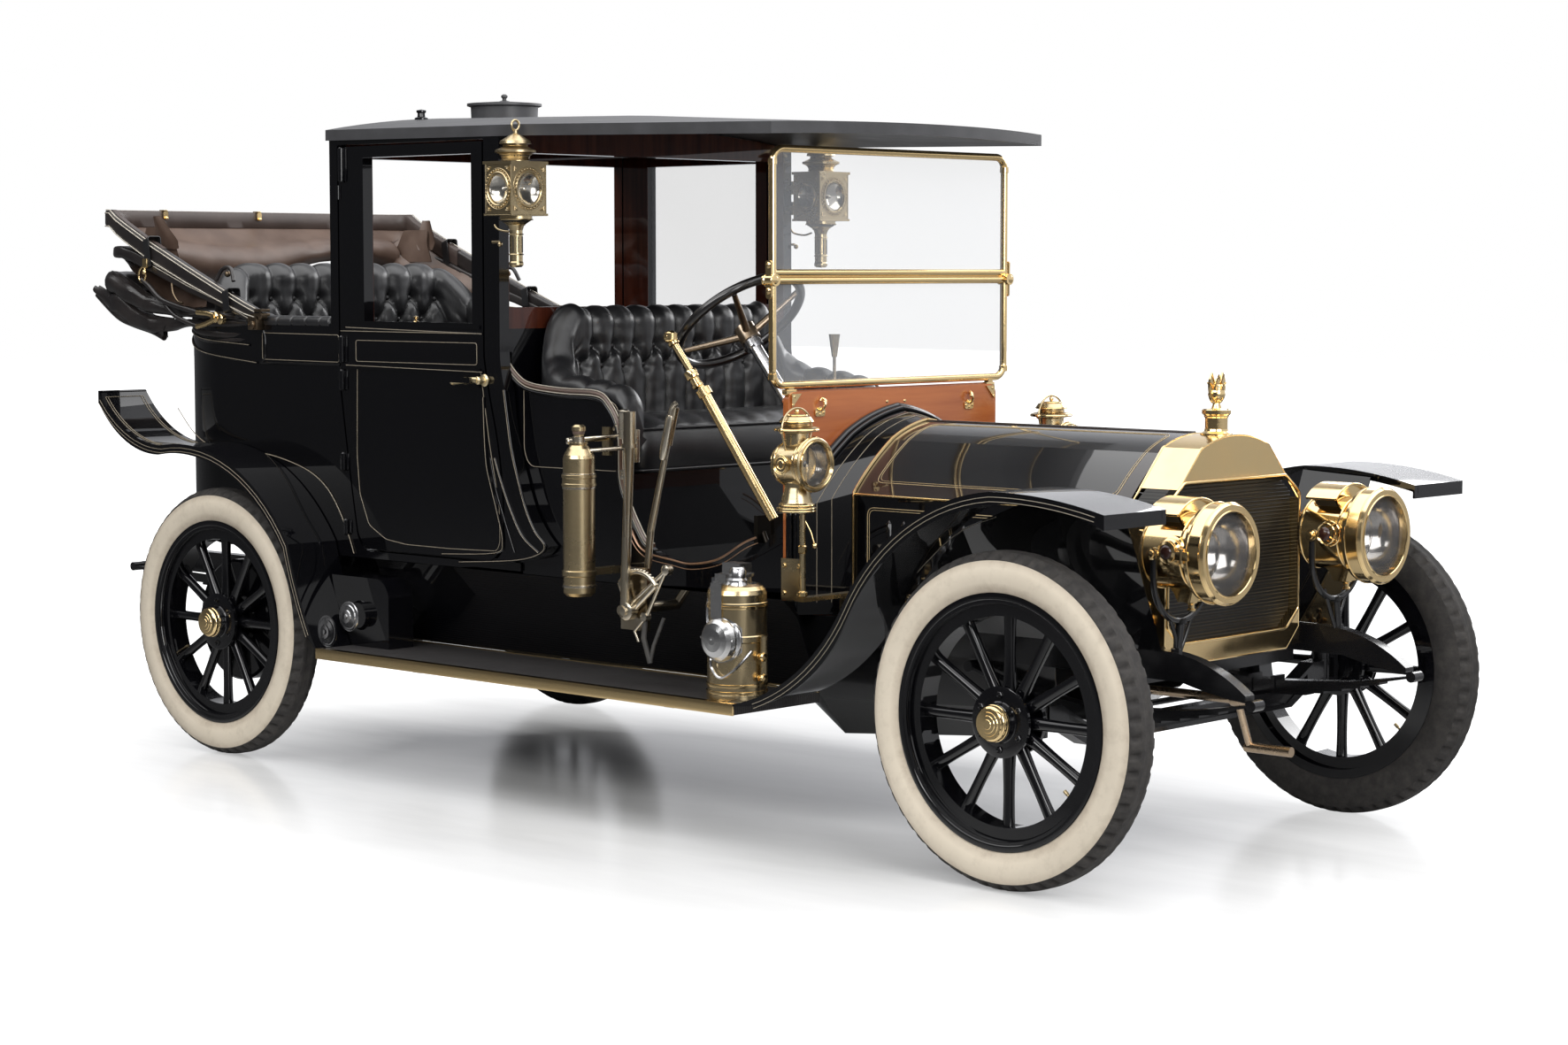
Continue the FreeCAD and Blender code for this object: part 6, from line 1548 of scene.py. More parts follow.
def hood_fittings():
    """Straps, clips, the pivot blocks and the clevis of the folding irons."""
    straps = Piece("hood_straps", BLACK_LEATHER, slot="hood_leather", sharp=60)
    brass = Piece("hood_brass", BRASS, slot="aged_brass")
    irons = Piece("hood_side_irons", DARK_LEATHER, slot="aged_brass")
    bronze = Piece("hood_pivots", BRONZE, slot="aged_brass")

    def build(piece, side):
        section = [(-0.5, -6.2), (0.5, -6.2), (0.5, 6.2), (-0.5, 6.2)]
        for x, z, lean, long in ((-3848, 1696, 0.4, 92), (-3408, 1522, 0.36, 66)):
            loop = rounded([(-25, 6), (25, 6), (25, -long), (-25, -long)], 9, 4)
            path = [at(x - math.sin(lean) * u * 0.35, side * (668 + o), z + u) for o, u in loop]
            piece.tube(path, 0.0026, section, closed=True, up=(math.cos(lean), 0, math.sin(lean)))
    straps.both(build)

    def metalwork(brass, side):
        y = side * 694
        # strap buckles
        brass.block(*sorted_corners(at(-3862, y - side * 4, 1600), at(-3838, y + side * 6, 1632)), 0.004)
        brass.tube(smooth_path([at(-3862, y, 1604), at(-3880, y + side * 3, 1590),
                                at(-3884, y + side * 3, 1566), at(-3868, y, 1552),
                                at(-3852, y, 1566), at(-3850, y, 1590)], closed=True), 0.0042, closed=True)
        brass.ball(at(-3850, y + side * 4, 1586), 9)
        # forked clevis on the lower iron
        brass.tube([at(-3560, y, 1452), at(-3500, y, 1448), at(-3452, y, 1440)], 0.009)
        brass.tube([at(-3562, y, 1404), at(-3510, y, 1414), at(-3458, y, 1430)], 0.009)
        brass.lathe(at(-3462, y - side * 10, 1436), (0, side, 0),
                    [(0, -4), (19, -3), (19, 12), (14, 16), (9, 18), (9, 22), (0, 23)], 20)
        brass.lathe(at(-3434, y - side * 8, 1430), (0, side, 0),
                    [(0, -4), (17, -3), (17, 10), (12, 14), (0, 15)], 20)
        irons.tube(wire((-3876, y - side * 3, 1560), (-3838, y - side * 3, 1540), (-3772, y - side * 3, 1496),
                                (-3692, y - side * 3, 1474), (-3560, y - side * 3, 1450)), 0.009)
        irons.tube(wire((-3740, y - side * 5, 1470), (-3690, y - side * 5, 1438), (-3600, y - side * 5, 1412),
                                (-3556, y - side * 3, 1404)), 0.008)
        bronze.tube(wire((-3702, y, 1548), (-3694, y, 1516), (-3668, y, 1488), (-3640, y, 1482)), 0.0045)
        # pivot block at the front of the bows, with its stacked plates and bolt
        bronze.block(*sorted_corners(at(-3300, side * 652, 1396), at(-3252, side * 684, 1450)), 0.004)
        bronze.lathe(at(-3276, side * 682, 1412), (0, side, 0), [(0, 0), (15, 0), (15, 6), (10, 9), (0, 10)],
                     18)
        bronze.lathe(at(-3236, side * 672, 1442), (0, side, 0),
                     [(0, -14), (12, -13), (12, 10), (8, 13), (0, 14)], 14)
        for z in (1452, 1466):
            bronze.block(*sorted_corners(at(-3262, side * 650, z - 10), at(-3222, side * 686, z)), 0.002)
        # black half-round bracket with a pale knob, inside the bow
        irons.tube(wire((-3524, side * 640, 1560), (-3500, side * 632, 1596), (-3456, side * 632, 1598),
                                (-3430, side * 640, 1556)), 0.007)
        bronze.ball(at(-3478, side * 628, 1580), 11)
    brass.both(metalwork)
    for y in (-410, 0, 410):
        brass.plate(rounded([(-16, -26), (16, -26), (16, 26), (-16, 26)], 12), 0.006,
                    lambda u, v, w: at(-4148 + 20, y + u * 0.6, 1786 + v * 0.55) + Vector((w, 0, 0)), 0.001)
        brass.block(at(-4150, y - 9, 1801), at(-4124, y + 9, 1805), 0.001)
        brass.ball(at(-4118, y, 1776), 6)
    brass.done()
    straps.done()
    irons.done()
    bronze.done(["hood_irons"])
    tongue = Piece("hood_corner_tongues", BROWN_LEATHER, slot="hood_leather", sharp=60)

    def leaf(piece, side):
        for start, lean, width, shape in (
                ((-3905, 1776), (34, -110), lambda t: 20 + 46 * t - 26 * max(0, t - 0.75) / 0.25,
                 lambda t, w: (610 - 34 * t + 6 * math.cos(w * 2.2),
                               5 * noise.noise(Vector((t * 3, w, side))))),
                ((-3940, 1740), (-10, -118), lambda t: 60 + 60 * t,
                 lambda t, w: (585 - 20 * t + 10 * noise.noise(Vector((w * 1.5, t * 2, 4.4))), 0))):
            rows = []
            for k in range(13):
                t = k / 12
                row = []
                for w in (-1, -0.6, -0.2, 0.2, 0.6, 1):
                    y, rise = shape(t, w)
                    row.append(at(start[0] + lean[0] * t + w * width(t), side * y,
                                  start[1] + lean[1] * t + rise))
                rows.append(row)
            piece.grid(rows).grid([[off(p, 0.5, -side * 4, 1) for p in row] for row in rows])
    tongue.both(leaf).done()


seats()
hood()
hood_fittings()

# ---------------------------------------------------------------- body mouldings, doors and fittings


def met(node, x, z, side, lift):
    """The place on the side of a CAD node at this station and height, lifted off it."""
    found, place, normal, _ = NODES[node].ray_cast(at(x, side * 1100, z), ACROSS * -side)
    return place + normal * (lift * MM) if found else None


def under(node, x, y, lift):
    """The place on top of a CAD node, lifted off it."""
    found, place, normal, _ = NODES[node].ray_cast(at(x, y, 2400), -UP)
    return place + normal * (lift * MM) if found else None


def side_line(points, y, side):
    return [at(x, side * y, z) for x, z in smooth_path(points, 5)]


def moved(points, amount):
    """The same line, shifted square to itself in the plane of the side."""
    line = [Vector(p[:2]) for p in points]
    result = []
    for i, p in enumerate(line):
        run = (line[min(i + 1, len(line) - 1)] - line[max(i - 1, 0)]).normalized()
        result.append((p.x + run.y * amount, p.y - run.x * amount))
    return result


SEAT_EDGE = [(-2124, 1352), (-2107, 1313), (-2056, 1266), (-1994, 1243), (-1854, 1232), (-1710, 1228),
             (-1657, 1198),
             (-1621, 1148), (-1610, 1091), (-1607, 988), (-1585, 927), (-1548, 862), (-1505, 802),
             (-1472, 789)]
STEP_EDGE = [(-1587, 1004), (-1585, 889), (-1566, 818), (-1515, 769), (-1399, 751), (-1324, 745),
             (-1217, 765), (-1118, 817),
             (-1066, 837)]
CAB_FOOT = [
    [(-2071, 1230), (-2050, 1103), (-2035, 1035), (-2005, 946), (-1974, 868), (-1935, 806), (-1892, 765),
     (-1928, 735),
     (-2039, 712), (-2281, 692)],
    [(-2115, 1021), (-2080, 937), (-2037, 854), (-1990, 787), (-1920, 743)],
    [(-2139, 1020), (-2116, 935), (-2077, 841), (-2030, 737)],
    [(-2165, 1206), (-2155, 1019), (-2132, 934), (-2101, 845), (-2081, 765), (-2118, 730), (-2363, 712)],
]
TUB_LINES = [
    [(-3860, 1402), (-3800, 1378), (-3743, 1356), (-3667, 1332), (-3522, 1309), (-3290, 1288)],
    [(-3830, 1408), (-3760, 1392), (-3690, 1378), (-3563, 1360), (-3329, 1346)],
]
BROWN_BEAD = leather("brown_beading", (0.06, 0.03, 0.018), (0.1, 0.055, 0.035), 0.35)
CREAM = matt("cream_beading", (0.36, 0.32, 0.26), (0.48, 0.44, 0.36), 0.45, 50.0)


def side_mouldings():
    """Raised mouldings of the sides with painted highlight lines along their crowns and two more fine lines,
    and the edging of the driver's seat and step.
    """
    black = Piece("side_mouldings", BLACK, slot="black_lacquer", sharp=70)
    fine = Piece("side_moulding_highlights_and_lines", FINE_STRIPE_AND_HIGHLIGHT, slot="black_lacquer")
    brown = Piece("seat_edge_bead", BROWN_BEAD, slot="black_leather")
    cream = Piece("seat_edge_piping", CREAM, slot="black_leather")
    copper = Piece("step_edge", COPPER, slot="black_lacquer")

    def ridges(piece, side):
        for line in CAB_FOOT[:3]:
            piece.tube(side_line(line, 654, side), 0.0042, LINE)
        for line in TUB_LINES:
            piece.tube([met("cab_body", x, z, side, 0.5) for x, z in smooth_path(line, 6)], 0.005, LINE)
        piece.tube(side_line([(-3275, 1409), (-3251, 1384), (-3250, 1307), (-3275, 1288)], 652, side), 0.005,
                   LINE)
        piece.tube([at(x, side * 653, z) for x, z in [(-3262, 1288), (-2857, 1290)]], 0.0045, LINE)
        piece.tube(side_line(moved(SEAT_EDGE, 17), 608, side), 0.005, LINE)
    black.both(ridges).done()

    def lines(piece, side):
        # The fine lines along the crowns of the cab-foot and tub ridges are painted highlights; the last two
        # lie on the flat sides.
        for line in (CAB_FOOT[0], CAB_FOOT[1]):
            piece.tube(side_line(line, 658.4, side), 0.0011, LINE)
        for line in TUB_LINES:
            piece.tube([met("cab_body", x, z, side, 5.4) for x, z in smooth_path(line, 6)], 0.0011, LINE)
        piece.tube(side_line([(-3731, 1125), (-3646, 1048), (-3552, 1005), (-3403, 994), (-3220, 985),
                              (-3042, 948), (-2938, 897),
                              (-2870, 824), (-2820, 739), (-2796, 686)], 656, side), 0.0015, LINE)
        piece.tube(side_line([(-190, 944), (-341, 881), (-544, 704)], 607, side), 0.0013, LINE)
    fine.both(lines).done()
    brown.both(lambda piece, side: piece.tube(side_line(SEAT_EDGE, 609, side), 0.0062, LINE)).done()

    def pipes(piece, side):
        piece.tube(side_line(moved(SEAT_EDGE, 8), 611, side), 0.0018, LINE)
        piece.tube(side_line(moved(SEAT_EDGE, -8), 609, side), 0.0016, LINE)
    cream.both(pipes).done()

    def entry(piece, side):
        piece.tube(side_line(STEP_EDGE, 604, side), 0.0034, LINE)
        piece.tube(side_line(moved(STEP_EDGE, 16), 602, side), 0.0014, LINE)
    copper.both(entry).done()


def hood_base_folds():
    """Soft black folds where the hood is made fast along the top of the tub."""
    folds = Piece("hood_base_folds", DARK_LEATHER, slot="hood_leather", sharp=70)

    def build(piece, side):
        for z, sag, radius, rear in ((1416, 4, 15, -3790), (1392, 20, 13, -3770), (1368, 16, 11, -3740)):
            path, sizes = [], []
            for k in range(22):
                t = k / 21
                wave = noise.noise(Vector((t * 3.1, z * 0.05, 1.0 + side)))
                spot = met("cab_body", -3316 + (rear + 3316) * t, 1380, side, 1.0)
                height = z - sag * math.sin(math.pi * t) + 16 * t * t + 5 * wave
                path.append(Vector((spot.x, spot.y - side * (9 - 4 * wave) * MM, height * MM)))
                sizes.append(MM * radius * (0.45 + 0.55 * min(1, 4 * t, 4 * (1 - t))))
            piece.tube(path, sizes)
    folds.both(build).done()


HANDLE_BRASS = metal("handle_brass", (0.9, 0.74, 0.45), 0.3, (0.7, 0.5, 0.25), 0.2, 5.0)


def door_fittings():
    """Mouldings, handle and window knob that ride on each door, and the hinges on the post."""
    for word, side in SIDES:
        body = f"door_{word}"
        # The second row lays fine lines along the crowns of the mouldings: painted highlights.
        for name, paint, y, radius in (("door_mouldings", BLACK, 653.5, 0.0044),
                                       ("door_moulding_highlights", FINE_STRIPE_AND_HIGHLIGHT, 658, 0.0011)):
            edging = Piece(f"{name}_{word}", paint, body)
            edging.tube(side_line(CAB_FOOT[3], y, side), radius, LINE)
            for line in ([(-2822, 1411), (-2168, 1399)], [(-2822, 1290), (-2168, 1282)]):
                edging.tube([at(px, side * y, pz) for px, pz in line], radius, LINE)
            edging.done()
        brass = Piece(f"door_handle_{word}", HANDLE_BRASS, body)
        axis = (0, side, 0)
        brass.lathe(at(-2163, side * 651, 1257), axis,
                    [(19, 0), (19, 3), (15, 6), (10, 7), (9, 14), (12, 17), (12, 30), (8, 33), (0, 34)], 24)
        path = smooth_path([at(-2163, side * 676, 1257), at(-2190, side * 680, 1259),
                            at(-2230, side * 680, 1254), at(-2278, side * 676, 1252)], 6)
        sizes = [0.0115 - 0.004 * math.sin(math.pi * k / (len(path) - 1)) for k in range(len(path))]
        brass.tube(path, sizes)
        brass.ball(at(-2280, side * 676, 1252), 12)
        brass.done()
        nob = Piece(f"window_knob_{word}", BRASS, body)
        nob.lathe(at(-2497, side * 640, 1432), UP,
                  [(10, 0), (7, 3), (4, 5), (4, 9), (8, 12), (8, 16), (0, 19)], 16)
        nob.done()
    hinges = Piece("door_hinges", BLACK, slot="black_lacquer")

    def build(piece, side):
        for z, half, x in ((1928, 52, -2834), (1340, 40, -2840), (1242, 30, -2840), (980, 26, -2838),
                           (770, 22, -2828)):
            piece.lathe(at(x, side * 660, z - half), UP, [
                (0, -5), (5, -4), (8.5, 0), (8.5, 2 * half), (5, 2 * half + 4), (0, 2 * half + 5)], 14)
            for share in (0.32, 0.66):
                piece.lathe(at(x, side * 660, z - half + 2 * half * share), UP,
                            [(8.5, -1.6), (9.8, -1.6), (9.8, 1.6), (8.5, 1.6)], 14)
            piece.block(*sorted_corners(at(x - 22, side * 651, z - half), at(x + 20, side * 656, z + half)),
                        0.0015)
    hinges.both(build).done()


def control_fittings():
    """Metals and small parts of the levers, the stay and the steering wheel."""
    levers = Paint("control_metals", (0.5, 0.5, 0.5), Metallic=1.0, Roughness=0.22)
    x, y, z = levers.axes()
    stay = (y > -0.63) & (y < -0.46) & (z > 0.85)
    pedal = (y > -0.46) & (y < -0.2)
    cloud = levers.noise(8, 6, roughness=0.65)
    nickel = levers.mix(cloud.ramp(0.4, 0.75), (0.5, 0.44, 0.34), (0.27, 0.21, 0.13))
    brass = levers.mix(cloud.ramp(0.45, 0.8) * 0.3, (0.86, 0.64, 0.33), (0.6, 0.4, 0.17))
    levers.set(Base_Color=levers.mix(pedal, levers.mix(stay, nickel, brass), (0.03, 0.026, 0.022)),
               Roughness=cloud.ramp(0.3, 0.8) * 0.16 + 0.14 + pedal * 0.2)
    repaint("driver_controls", levers)
    nickel = Piece("lever_fittings", NICKEL, slot="aged_brass")
    # brake lever: squared grip, collar and foot
    top = at(-1403, -796, 1182)
    up = (top - at(-1382, -796, 700)).normalized()
    nickel.lathe(top - up * 0.07, up,
                 [(0, 0), (15, 1), (16.5, 6), (16.5, 68), (17.5, 70), (17.5, 80), (13, 84), (0, 86)], 8)
    nickel.lathe(top - up * 0.185, up, [(0, 0), (18, 0), (19, 3), (19, 11), (16, 13), (16, 20), (18.5, 22),
                                        (18.5, 27), (0, 27)], 20)
    nickel.tube([at(-1386, -814, 1080), at(-1372, -814, 700)], 0.0035, LINE)
    nickel.lathe(at(-1392, -786, 618), -ACROSS,
                 [(0, -6), (26, -6), (26, 18), (20, 22), (11, 22), (11, 30), (0, 31)], 24)
    nickel.lathe(at(-1404, -786, 690), -ACROSS, [(0, -4), (20, -4), (20, 14), (12, 17), (0, 18)], 20)
    # gear lever: long socket and bent tip
    head = at(-1300, -708, 1188)
    lean = (head - at(-1386, -708, 844)).normalized()
    nickel.lathe(head - lean * 0.14, lean,
                 [(0, 0), (9, 0), (12, 6), (14, 40), (14, 120), (11, 132), (0, 134)], 16)
    nickel.tube(smooth_path([head - lean * 0.02, head + lean * 0.012,
                             head + lean * 0.02 + Vector((0.014, 0, 0.008))]), 0.0085)
    # forged bracket between the levers' feet, with its ratchet sector and links
    angles = [math.radians(38 + 104 * k / 14) for k in range(15)]
    sector = [at(-1362 + 92 * math.cos(t), -782, 640 + 92 * math.sin(t)) for t in angles]
    nickel.tube(sector, 0.0072)
    for t in angles[2:13]:
        nickel.ball(at(-1362 + 98 * math.cos(t), -782, 640 + 98 * math.sin(t)), 4.5, steps=6)
    for a, b, radius in ((sector[0], at(-1380, -782, 622), 0.009), (sector[-1], at(-1404, -782, 622), 0.009),
                         (at(-1254, -776, 742), at(-1392, -776, 640), 0.007),
                         (at(-1254, -776, 742), at(-1330, -776, 610), 0.006)):
        nickel.tube([a, b], radius)
    nickel.lathe(at(-1252, -772, 744), -ACROSS, [(0, -8), (15, -8), (15, 12), (9, 15), (0, 16)], 18)
    nickel.lathe(at(-1338, -774, 604), -ACROSS, [(0, -8), (13, -8), (13, 12), (0, 13)], 16)
    nickel.tube([at(-1338, -778, 600), at(-1380, -778, 560), at(-1372, -770, 530)], 0.0055)
    nickel.done()
    hanger = Piece("lever_hanger", IRON, slot="frame_paint")
    hanger.tube([at(-1344, -772, 596), at(-1352, -770, 540), at(-1330, -766, 470)], 0.008)
    hanger.tube([at(-1300, -740, 600), at(-1322, -760, 520), at(-1330, -766, 470)], 0.006)
    hanger.done()
    # stay: milled collar and ball top
    brass = Piece("stay_fittings", BRASS, slot="aged_brass")
    upper, lower = at(-1409, -600, 1397), at(-1104, -490, 880)
    run = (lower - upper).normalized()
    brass.ball(upper - run * 0.004, 21, 0.9, run)
    brass.lathe(upper + run * 0.012, run, [(11, 0), (17, 2), (17, 10), (14, 12)], 20)
    collar = upper + (lower - upper) * 0.19
    brass.lathe(collar, run, [(11, -6), (19, -4), (20, 0), (20, 16), (19, 20), (14, 23), (14, 40), (17, 42),
                              (17, 50), (11, 52)], 16)
    brass.done()
    # steering wheel: bronze spokes and boss inside a black rim
    rim = Paint("steering_metals", (0.1, 0.1, 0.1), Roughness=0.3, Coat_Weight=0.7, Coat_Roughness=0.05)
    centre = at(-1371, -350, 1443)
    x, y, z = rim.axes()
    inner = distance(x - centre.x, y - centre.y, z - centre.z) < 0.186
    rim.set(Base_Color=rim.mix(inner, (0.004, 0.003, 0.003), (0.28, 0.21, 0.14)), Metallic=inner)
    repaint("steering_wheel", rim)


def front_details():
    """Inner edges of the front fenders, clips and bolts of the springs, and the roof's knob."""
    lips = Piece("fender_inner_lips", BLACK, slot="black_lacquer")

    def lip(piece, side):
        section = ((606, 0), (610, 0), (610, -24), (606, -24))
        rows = [[at(p[0], side * y, p[1] + drop) for y, drop in section] for p in FRONT_CROWN if p[0] > -60]
        piece.grid(rows, closed_columns=True)
        piece.cap(rows[0])
        piece.cap(rows[-1])
    lips.both(lip).done()
    clips = Piece("spring_clips", FRAME_BLACK, slot="frame_paint")

    def springs(piece, side):
        for axle in (0, -3302):
            for offset in (-390, -230, -60, 60, 230, 390):
                top = under("leaf_springs", axle + offset, side * 492, 0)
                if top is None:
                    continue
                piece.block(off(top, -9, -30, -52), off(top, 9, 30, 5), 0.002)
                for y in (-24, 24):
                    piece.lathe(off(top, 0, y, 5), UP, [(7, 0), (7, 6), (4, 6), (4, 11), (0, 11)], 6)
    clips.both(springs).done()
    knob = Piece("roof_knob", BLACK, slot="roof_black")
    base = under("roof", -2862, -300, -1)
    knob.lathe(base, UP, [(22, 0), (22, 5), (13, 9), (12, 20), (16, 24), (16, 30), (0, 34)], 20)
    knob.done()


def inner_wood():
    """The cab and doors are black outside and dark mahogany on the faces that look inward."""
    paint = Paint("cab_black_and_wood", (0.001, 0.001, 0.001), Roughness=0.35, Coat_Weight=1.0,
                  Coat_Roughness=0.03,
                  Specular_IOR_Level=0.05)
    _, y, z = paint.axes()
    inside = (y.abs() < 0.6135) & (z > 1.415)
    grain = paint.noise(30, 5, (1, 1, 0.08))
    timber = paint.mix(grain.ramp(0.3, 0.75), (0.03, 0.006, 0.003), (0.085, 0.02, 0.009))
    paint.set(Base_Color=paint.mix(inside, (0.0009, 0.0009, 0.0015), timber))
    paint.bump(paint.noise(7, 2), 0.03, 0.002)
    for node in ("cab_body", "door_right", "door_left"):
        repaint(node, paint)


def generator_paint():
    """Aged brass canister with a steel bell, strap and lid."""
    paint = Paint("generator_metals", (0.5, 0.5, 0.5), Metallic=1.0, Roughness=0.22)
    x, y, z = paint.axes()
    bell = at(-998, -818, 570)
    dome = (distance(x - bell.x, z - bell.z) < 0.0645) & (y < -0.79)
    steel = dome | (y < -0.8268) | (z > 0.7225)
    cloud = paint.noise(6, 6, roughness=0.65)
    old = paint.mix(cloud.ramp(0.4, 0.75) * 0.6, (0.56, 0.45, 0.27), (0.3, 0.23, 0.13))
    grey = paint.mix(cloud.ramp(0.4, 0.75) * 0.5, (0.5, 0.5, 0.5), (0.3, 0.29, 0.28))
    paint.set(Base_Color=paint.mix(steel, old, grey), Roughness=cloud.ramp(0.3, 0.8) * 0.14 + 0.2)
    repaint("gas_generator", paint)


def canister_fittings():
    """Polished lid, bell and straps of the gas generator, and the valve and bands of the tall cylinder."""
    steel = Piece("generator_steel", STEEL, slot="aged_brass")
    steel.lathe(at(-1000, -798, 570), -ACROSS, [(65, 0), (66, 5), (63, 9), (61, 10), (54, 24), (42, 38),
                                                (26, 47), (12, 51), (10, 54), (0, 55)], 48)
    steel.lathe(at(-985, -762, 700), UP, [(0, 0), (30, 0), (33, 6), (33, 22), (30, 26), (30, 34), (24, 40),
                                          (24, 62), (18, 70), (0, 72)], 24)
    strap = [at(-1036 - 10 * math.sin(math.pi * t), -796 - 14 * t, 716 - 120 * t)
             for t in [k / 8 for k in range(9)]]
    steel.tube(strap, 0.001, [(-16, -3), (16, -3), (16, 3), (-16, 3)], up=(0.6, -0.8, 0))
    steel.block(at(-1052, -800, 690), at(-1018, -770, 740), 0.003)
    for z in (700, 730):
        steel.lathe(at(-1035, -800, z), -ACROSS, [(0, 0), (7, 0), (7, 5), (0, 6)], 10)
    steel.tube([at(-1062, -832, 574), at(-1000, -853, 574), at(-938, -832, 572)], 0.0035, LINE)
    steel.tube(wire((-1050, -800, 540), (-1023, -832, 520), (-1015, -835, 489), (-981, -835, 466),
                    (-925, -832, 498),
                            (-897, -800, 545)), 0.004, LINE)
    steel.done()
    brass = Piece("generator_brass", BRASS, slot="aged_brass")
    for z in (660, 440, 420):
        brass.lathe(at(-1010, -740, z), UP, [(84, -5), (87, -4), (87.5, 0), (87, 4), (84, 5)], 56)
    for z in (522, 462):
        brass.lathe(at(-924, -742, z), ALONG,
                    [(0, 0), (9, 0), (9, 5), (5, 6), (5, 12), (11, 14), (13, 18), (11, 24), (0, 26)], 16)
    brass.block(at(-1066, -786, 596), at(-1040, -760, 650), 0.004)
    brass.done()
    valve = Piece("cylinder_valve", NICKEL, slot="aged_brass")
    valve.lathe(at(-1630, -760, 1058), UP,
                [(30, -4), (32, 0), (24, 6), (15, 12), (14, 30), (19, 34), (19, 50), (14, 54), (0, 55)], 24)
    valve.lathe(at(-1648, -760, 1094), -ALONG, [(9, 0), (9, 14), (12, 16), (12, 24), (0, 26)], 12)
    valve.tube(wire((-1618, -752, 1104), (-1590, -700, 1108), (-1590, -640, 1110), (-1606, -612, 1132),
                    (-1628, -608, 1140),
                            (-1640, -608, 1122)), 0.0048)
    valve.tube([at(-1604, -744, 1068), at(-1562, -650, 1074), at(-1556, -612, 1070)], 0.007)
    valve.block(at(-1572, -618, 1030), at(-1532, -606, 1128), 0.003)
    for z in (1046, 1112):
        valve.ball(at(-1552, -620, z), 6)
    for z, high in ((961, 5), (1000, 4), (672, 5)):
        valve.lathe(at(-1630, -760, z), UP,
                    [(46.5, -high), (49, -high + 1), (49.4, 0), (49, high - 1), (46.5, high)], 40)
    valve.done()
    knob = Piece("cylinder_knob", BROWN_LEATHER, slot="aged_brass")
    knob.lathe(at(-1630, -760, 1112), UP, [(0, 0), (11, 0), (17, 5), (19, 12), (17, 20), (10, 25), (0, 26)],
               20)
    knob.done()
    caps = Piece("tool_box_caps", STEEL, slot="black_lacquer")

    def cap(piece, side):
        piece.lathe(at(-2734, side * 727, 493), (0, side, 0), [
            (47, 0), (48, 3), (44, 6), (38, 6), (36, 9), (22, 12), (20, 15), (9, 16), (8, 20), (0, 21)], 40)
    caps.both(cap).done()


def fender_tail_lines():
    """Pinstripes that frame the turned-up tail of each rear fender."""
    lines = Piece("fender_tail_lines", FINE_STRIPE_AND_HIGHLIGHT, slot="black_lacquer")
    tail = sorted(x for x, _ in REAR_CROWN if x < -3560)

    def build(piece, side):
        for gap in (16, 26):
            kept = [x for x in tail if x > tail[0] + gap * 0.7]
            spots = [(x, 850 - gap) for x in kept[::-1]] + [(x, 664 + gap) for x in kept]
            places = [under("rear_fenders", x, side * y, 0.9) for x, y in spots]
            piece.tube([spot for spot in places if spot], 0.0013, LINE)
    lines.both(build).done()


side_mouldings()
hood_base_folds()
door_fittings()
front_details()
inner_wood()
repaint("crank_handle", metal("crank_bronze", (0.56, 0.43, 0.3), 0.22, (0.3, 0.22, 0.15), 0.5, 9.0))
control_fittings()
generator_paint()
canister_fittings()
fender_tail_lines()

# ---------------------------------------------------------------- floor and light


def pale_floor():
    """A floor that is grey under the car, painted shade standing for the shade the car casts there, and fades
    to white.
    """
    paint = Paint("floor", (0.8, 0.8, 0.8), Roughness=0.35, Specular_IOR_Level=0.4)
    x, y, _ = paint.axes()
    far = ((x - 0.3) * (x - 0.3) * 0.12 + (y + 0.2) * (y + 0.2) * 0.34).math("SQRT")
    streak = paint.noise(1.5, 5, (0.35, 1.4, 1))
    fade = (far + streak * 0.24).ramp(0.62, 1.2)
    # The streaked grey near the car is painted shade, over which real shadows also fall; beyond it the camera
    # sees plain white and other rays a dark floor.
    grey = paint.mix(streak.ramp(0.3, 0.75), (0.72, 0.72, 0.715), (0.86, 0.86, 0.855))
    paint.set(Base_Color=paint.mix(fade, grey, (0.16, 0.16, 0.16)), Roughness=streak * 0.16 + 0.1)
    seen = paint.node("ShaderNodeLightPath").out("Is Camera Ray")
    white = paint.node("ShaderNodeEmission", Strength=1.4).out()
    ground = Term(paint, paint.shader.outputs[0])
    paint.feed(paint.tree.nodes["Material Output"].inputs[0], paint.blend(fade * seen, ground, white))
    mesh = bpy.data.meshes.new("floor")
    size = 40
    mesh.from_pydata([(-size, -size, 0), (size, -size, 0), (size, size, 0), (-size, size, 0)], [],
                     [(0, 1, 2, 3)])
    mesh.materials.append(paint.material)
    floor = bpy.data.objects.new("floor", mesh)
    scene.collection.objects.link(floor)


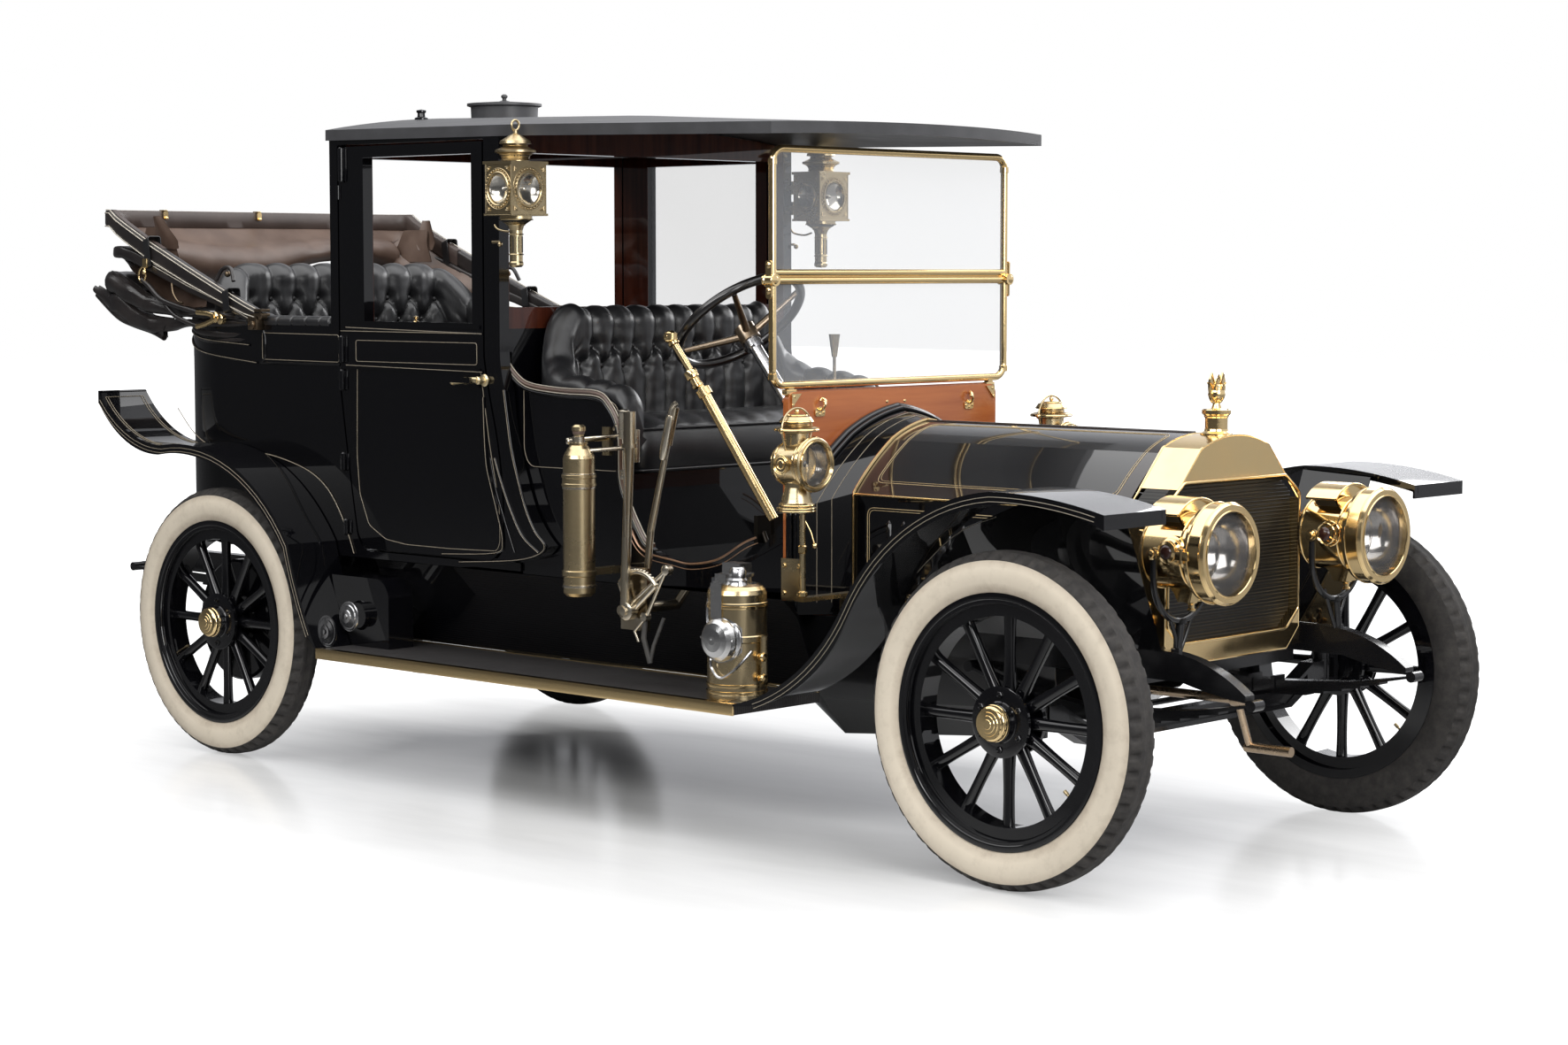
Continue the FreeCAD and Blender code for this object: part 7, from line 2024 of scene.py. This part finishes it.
def surroundings():
    """A dim room that is brighter on the far side of the car, and white where the camera sees it."""
    world = bpy.data.worlds.new("studio")
    scene.world = world
    world.use_nodes = True
    room = Tree(world.node_tree)
    way = room.node("ShaderNodeTexCoord").out("Generated")

    def glow(toward, start, full, least, most):
        """Light round a direction, from least where the cosine is start to most where it is full."""
        cosine = room.in_order("ShaderNodeVectorMath", {"operation": "DOT_PRODUCT"}, way, toward).out("Value")
        return room.node("ShaderNodeMapRange", {"interpolation_type": "SMOOTHSTEP"}, Value=cosine,
                         From_Min=start,
                         From_Max=full, To_Min=least, To_Max=most).out("Result")

    # the second is a bright low band beyond the car, which the tops of the roof and fenders pick up
    strength = (glow((0.55, 0.75, 0.25), -0.15, 0.8, 0.085, 0.8)
                + glow((-0.54, 0.82, 0.18), 0.8, 0.99, 0.0, 0.5))
    dim = room.tree.nodes["Background"]
    room.feed(dim.inputs["Color"], (0.95, 0.96, 1.0))
    room.feed(dim.inputs["Strength"], strength)
    white = room.node("ShaderNodeBackground", Color=(1, 1, 1), Strength=1.0).out()
    seen = room.node("ShaderNodeLightPath").out("Is Camera Ray")
    room.feed(room.tree.nodes["World Output"].inputs[0], room.blend(seen, Term(room, dim.outputs[0]), white))


def soft_boxes():
    # name, place, aim, size across, size along, watts
    for name, place, aim, wide, tall, watts in (
            ("top_box", (0.4, -0.4, 5.6), (0.0, 0.0, 0.8), 13.0, 8.0, 720),
            ("front_box", (7.2, -2.6, 3.2), (0.8, 0.0, 0.8), 4.0, 3.4, 260),
            ("side_box", (1.5, -7.5, 4.8), (-0.2, 0.0, 0.8), 8.0, 2.0, 320),
            ("far_box", (0.5, 6.0, 3.6), (0.0, 0.0, 1.0), 5.0, 1.6, 150)):
        light = bpy.data.lights.new(name, "AREA")
        light.shape = "RECTANGLE"
        light.size, light.size_y, light.energy = wide, tall, watts
        thing = bpy.data.objects.new(name, light)
        thing.location = place
        thing.rotation_euler = (Vector(aim) - Vector(place)).to_track_quat("-Z", "Y").to_euler()
        scene.collection.objects.link(thing)


pale_floor()
surroundings()
soft_boxes()
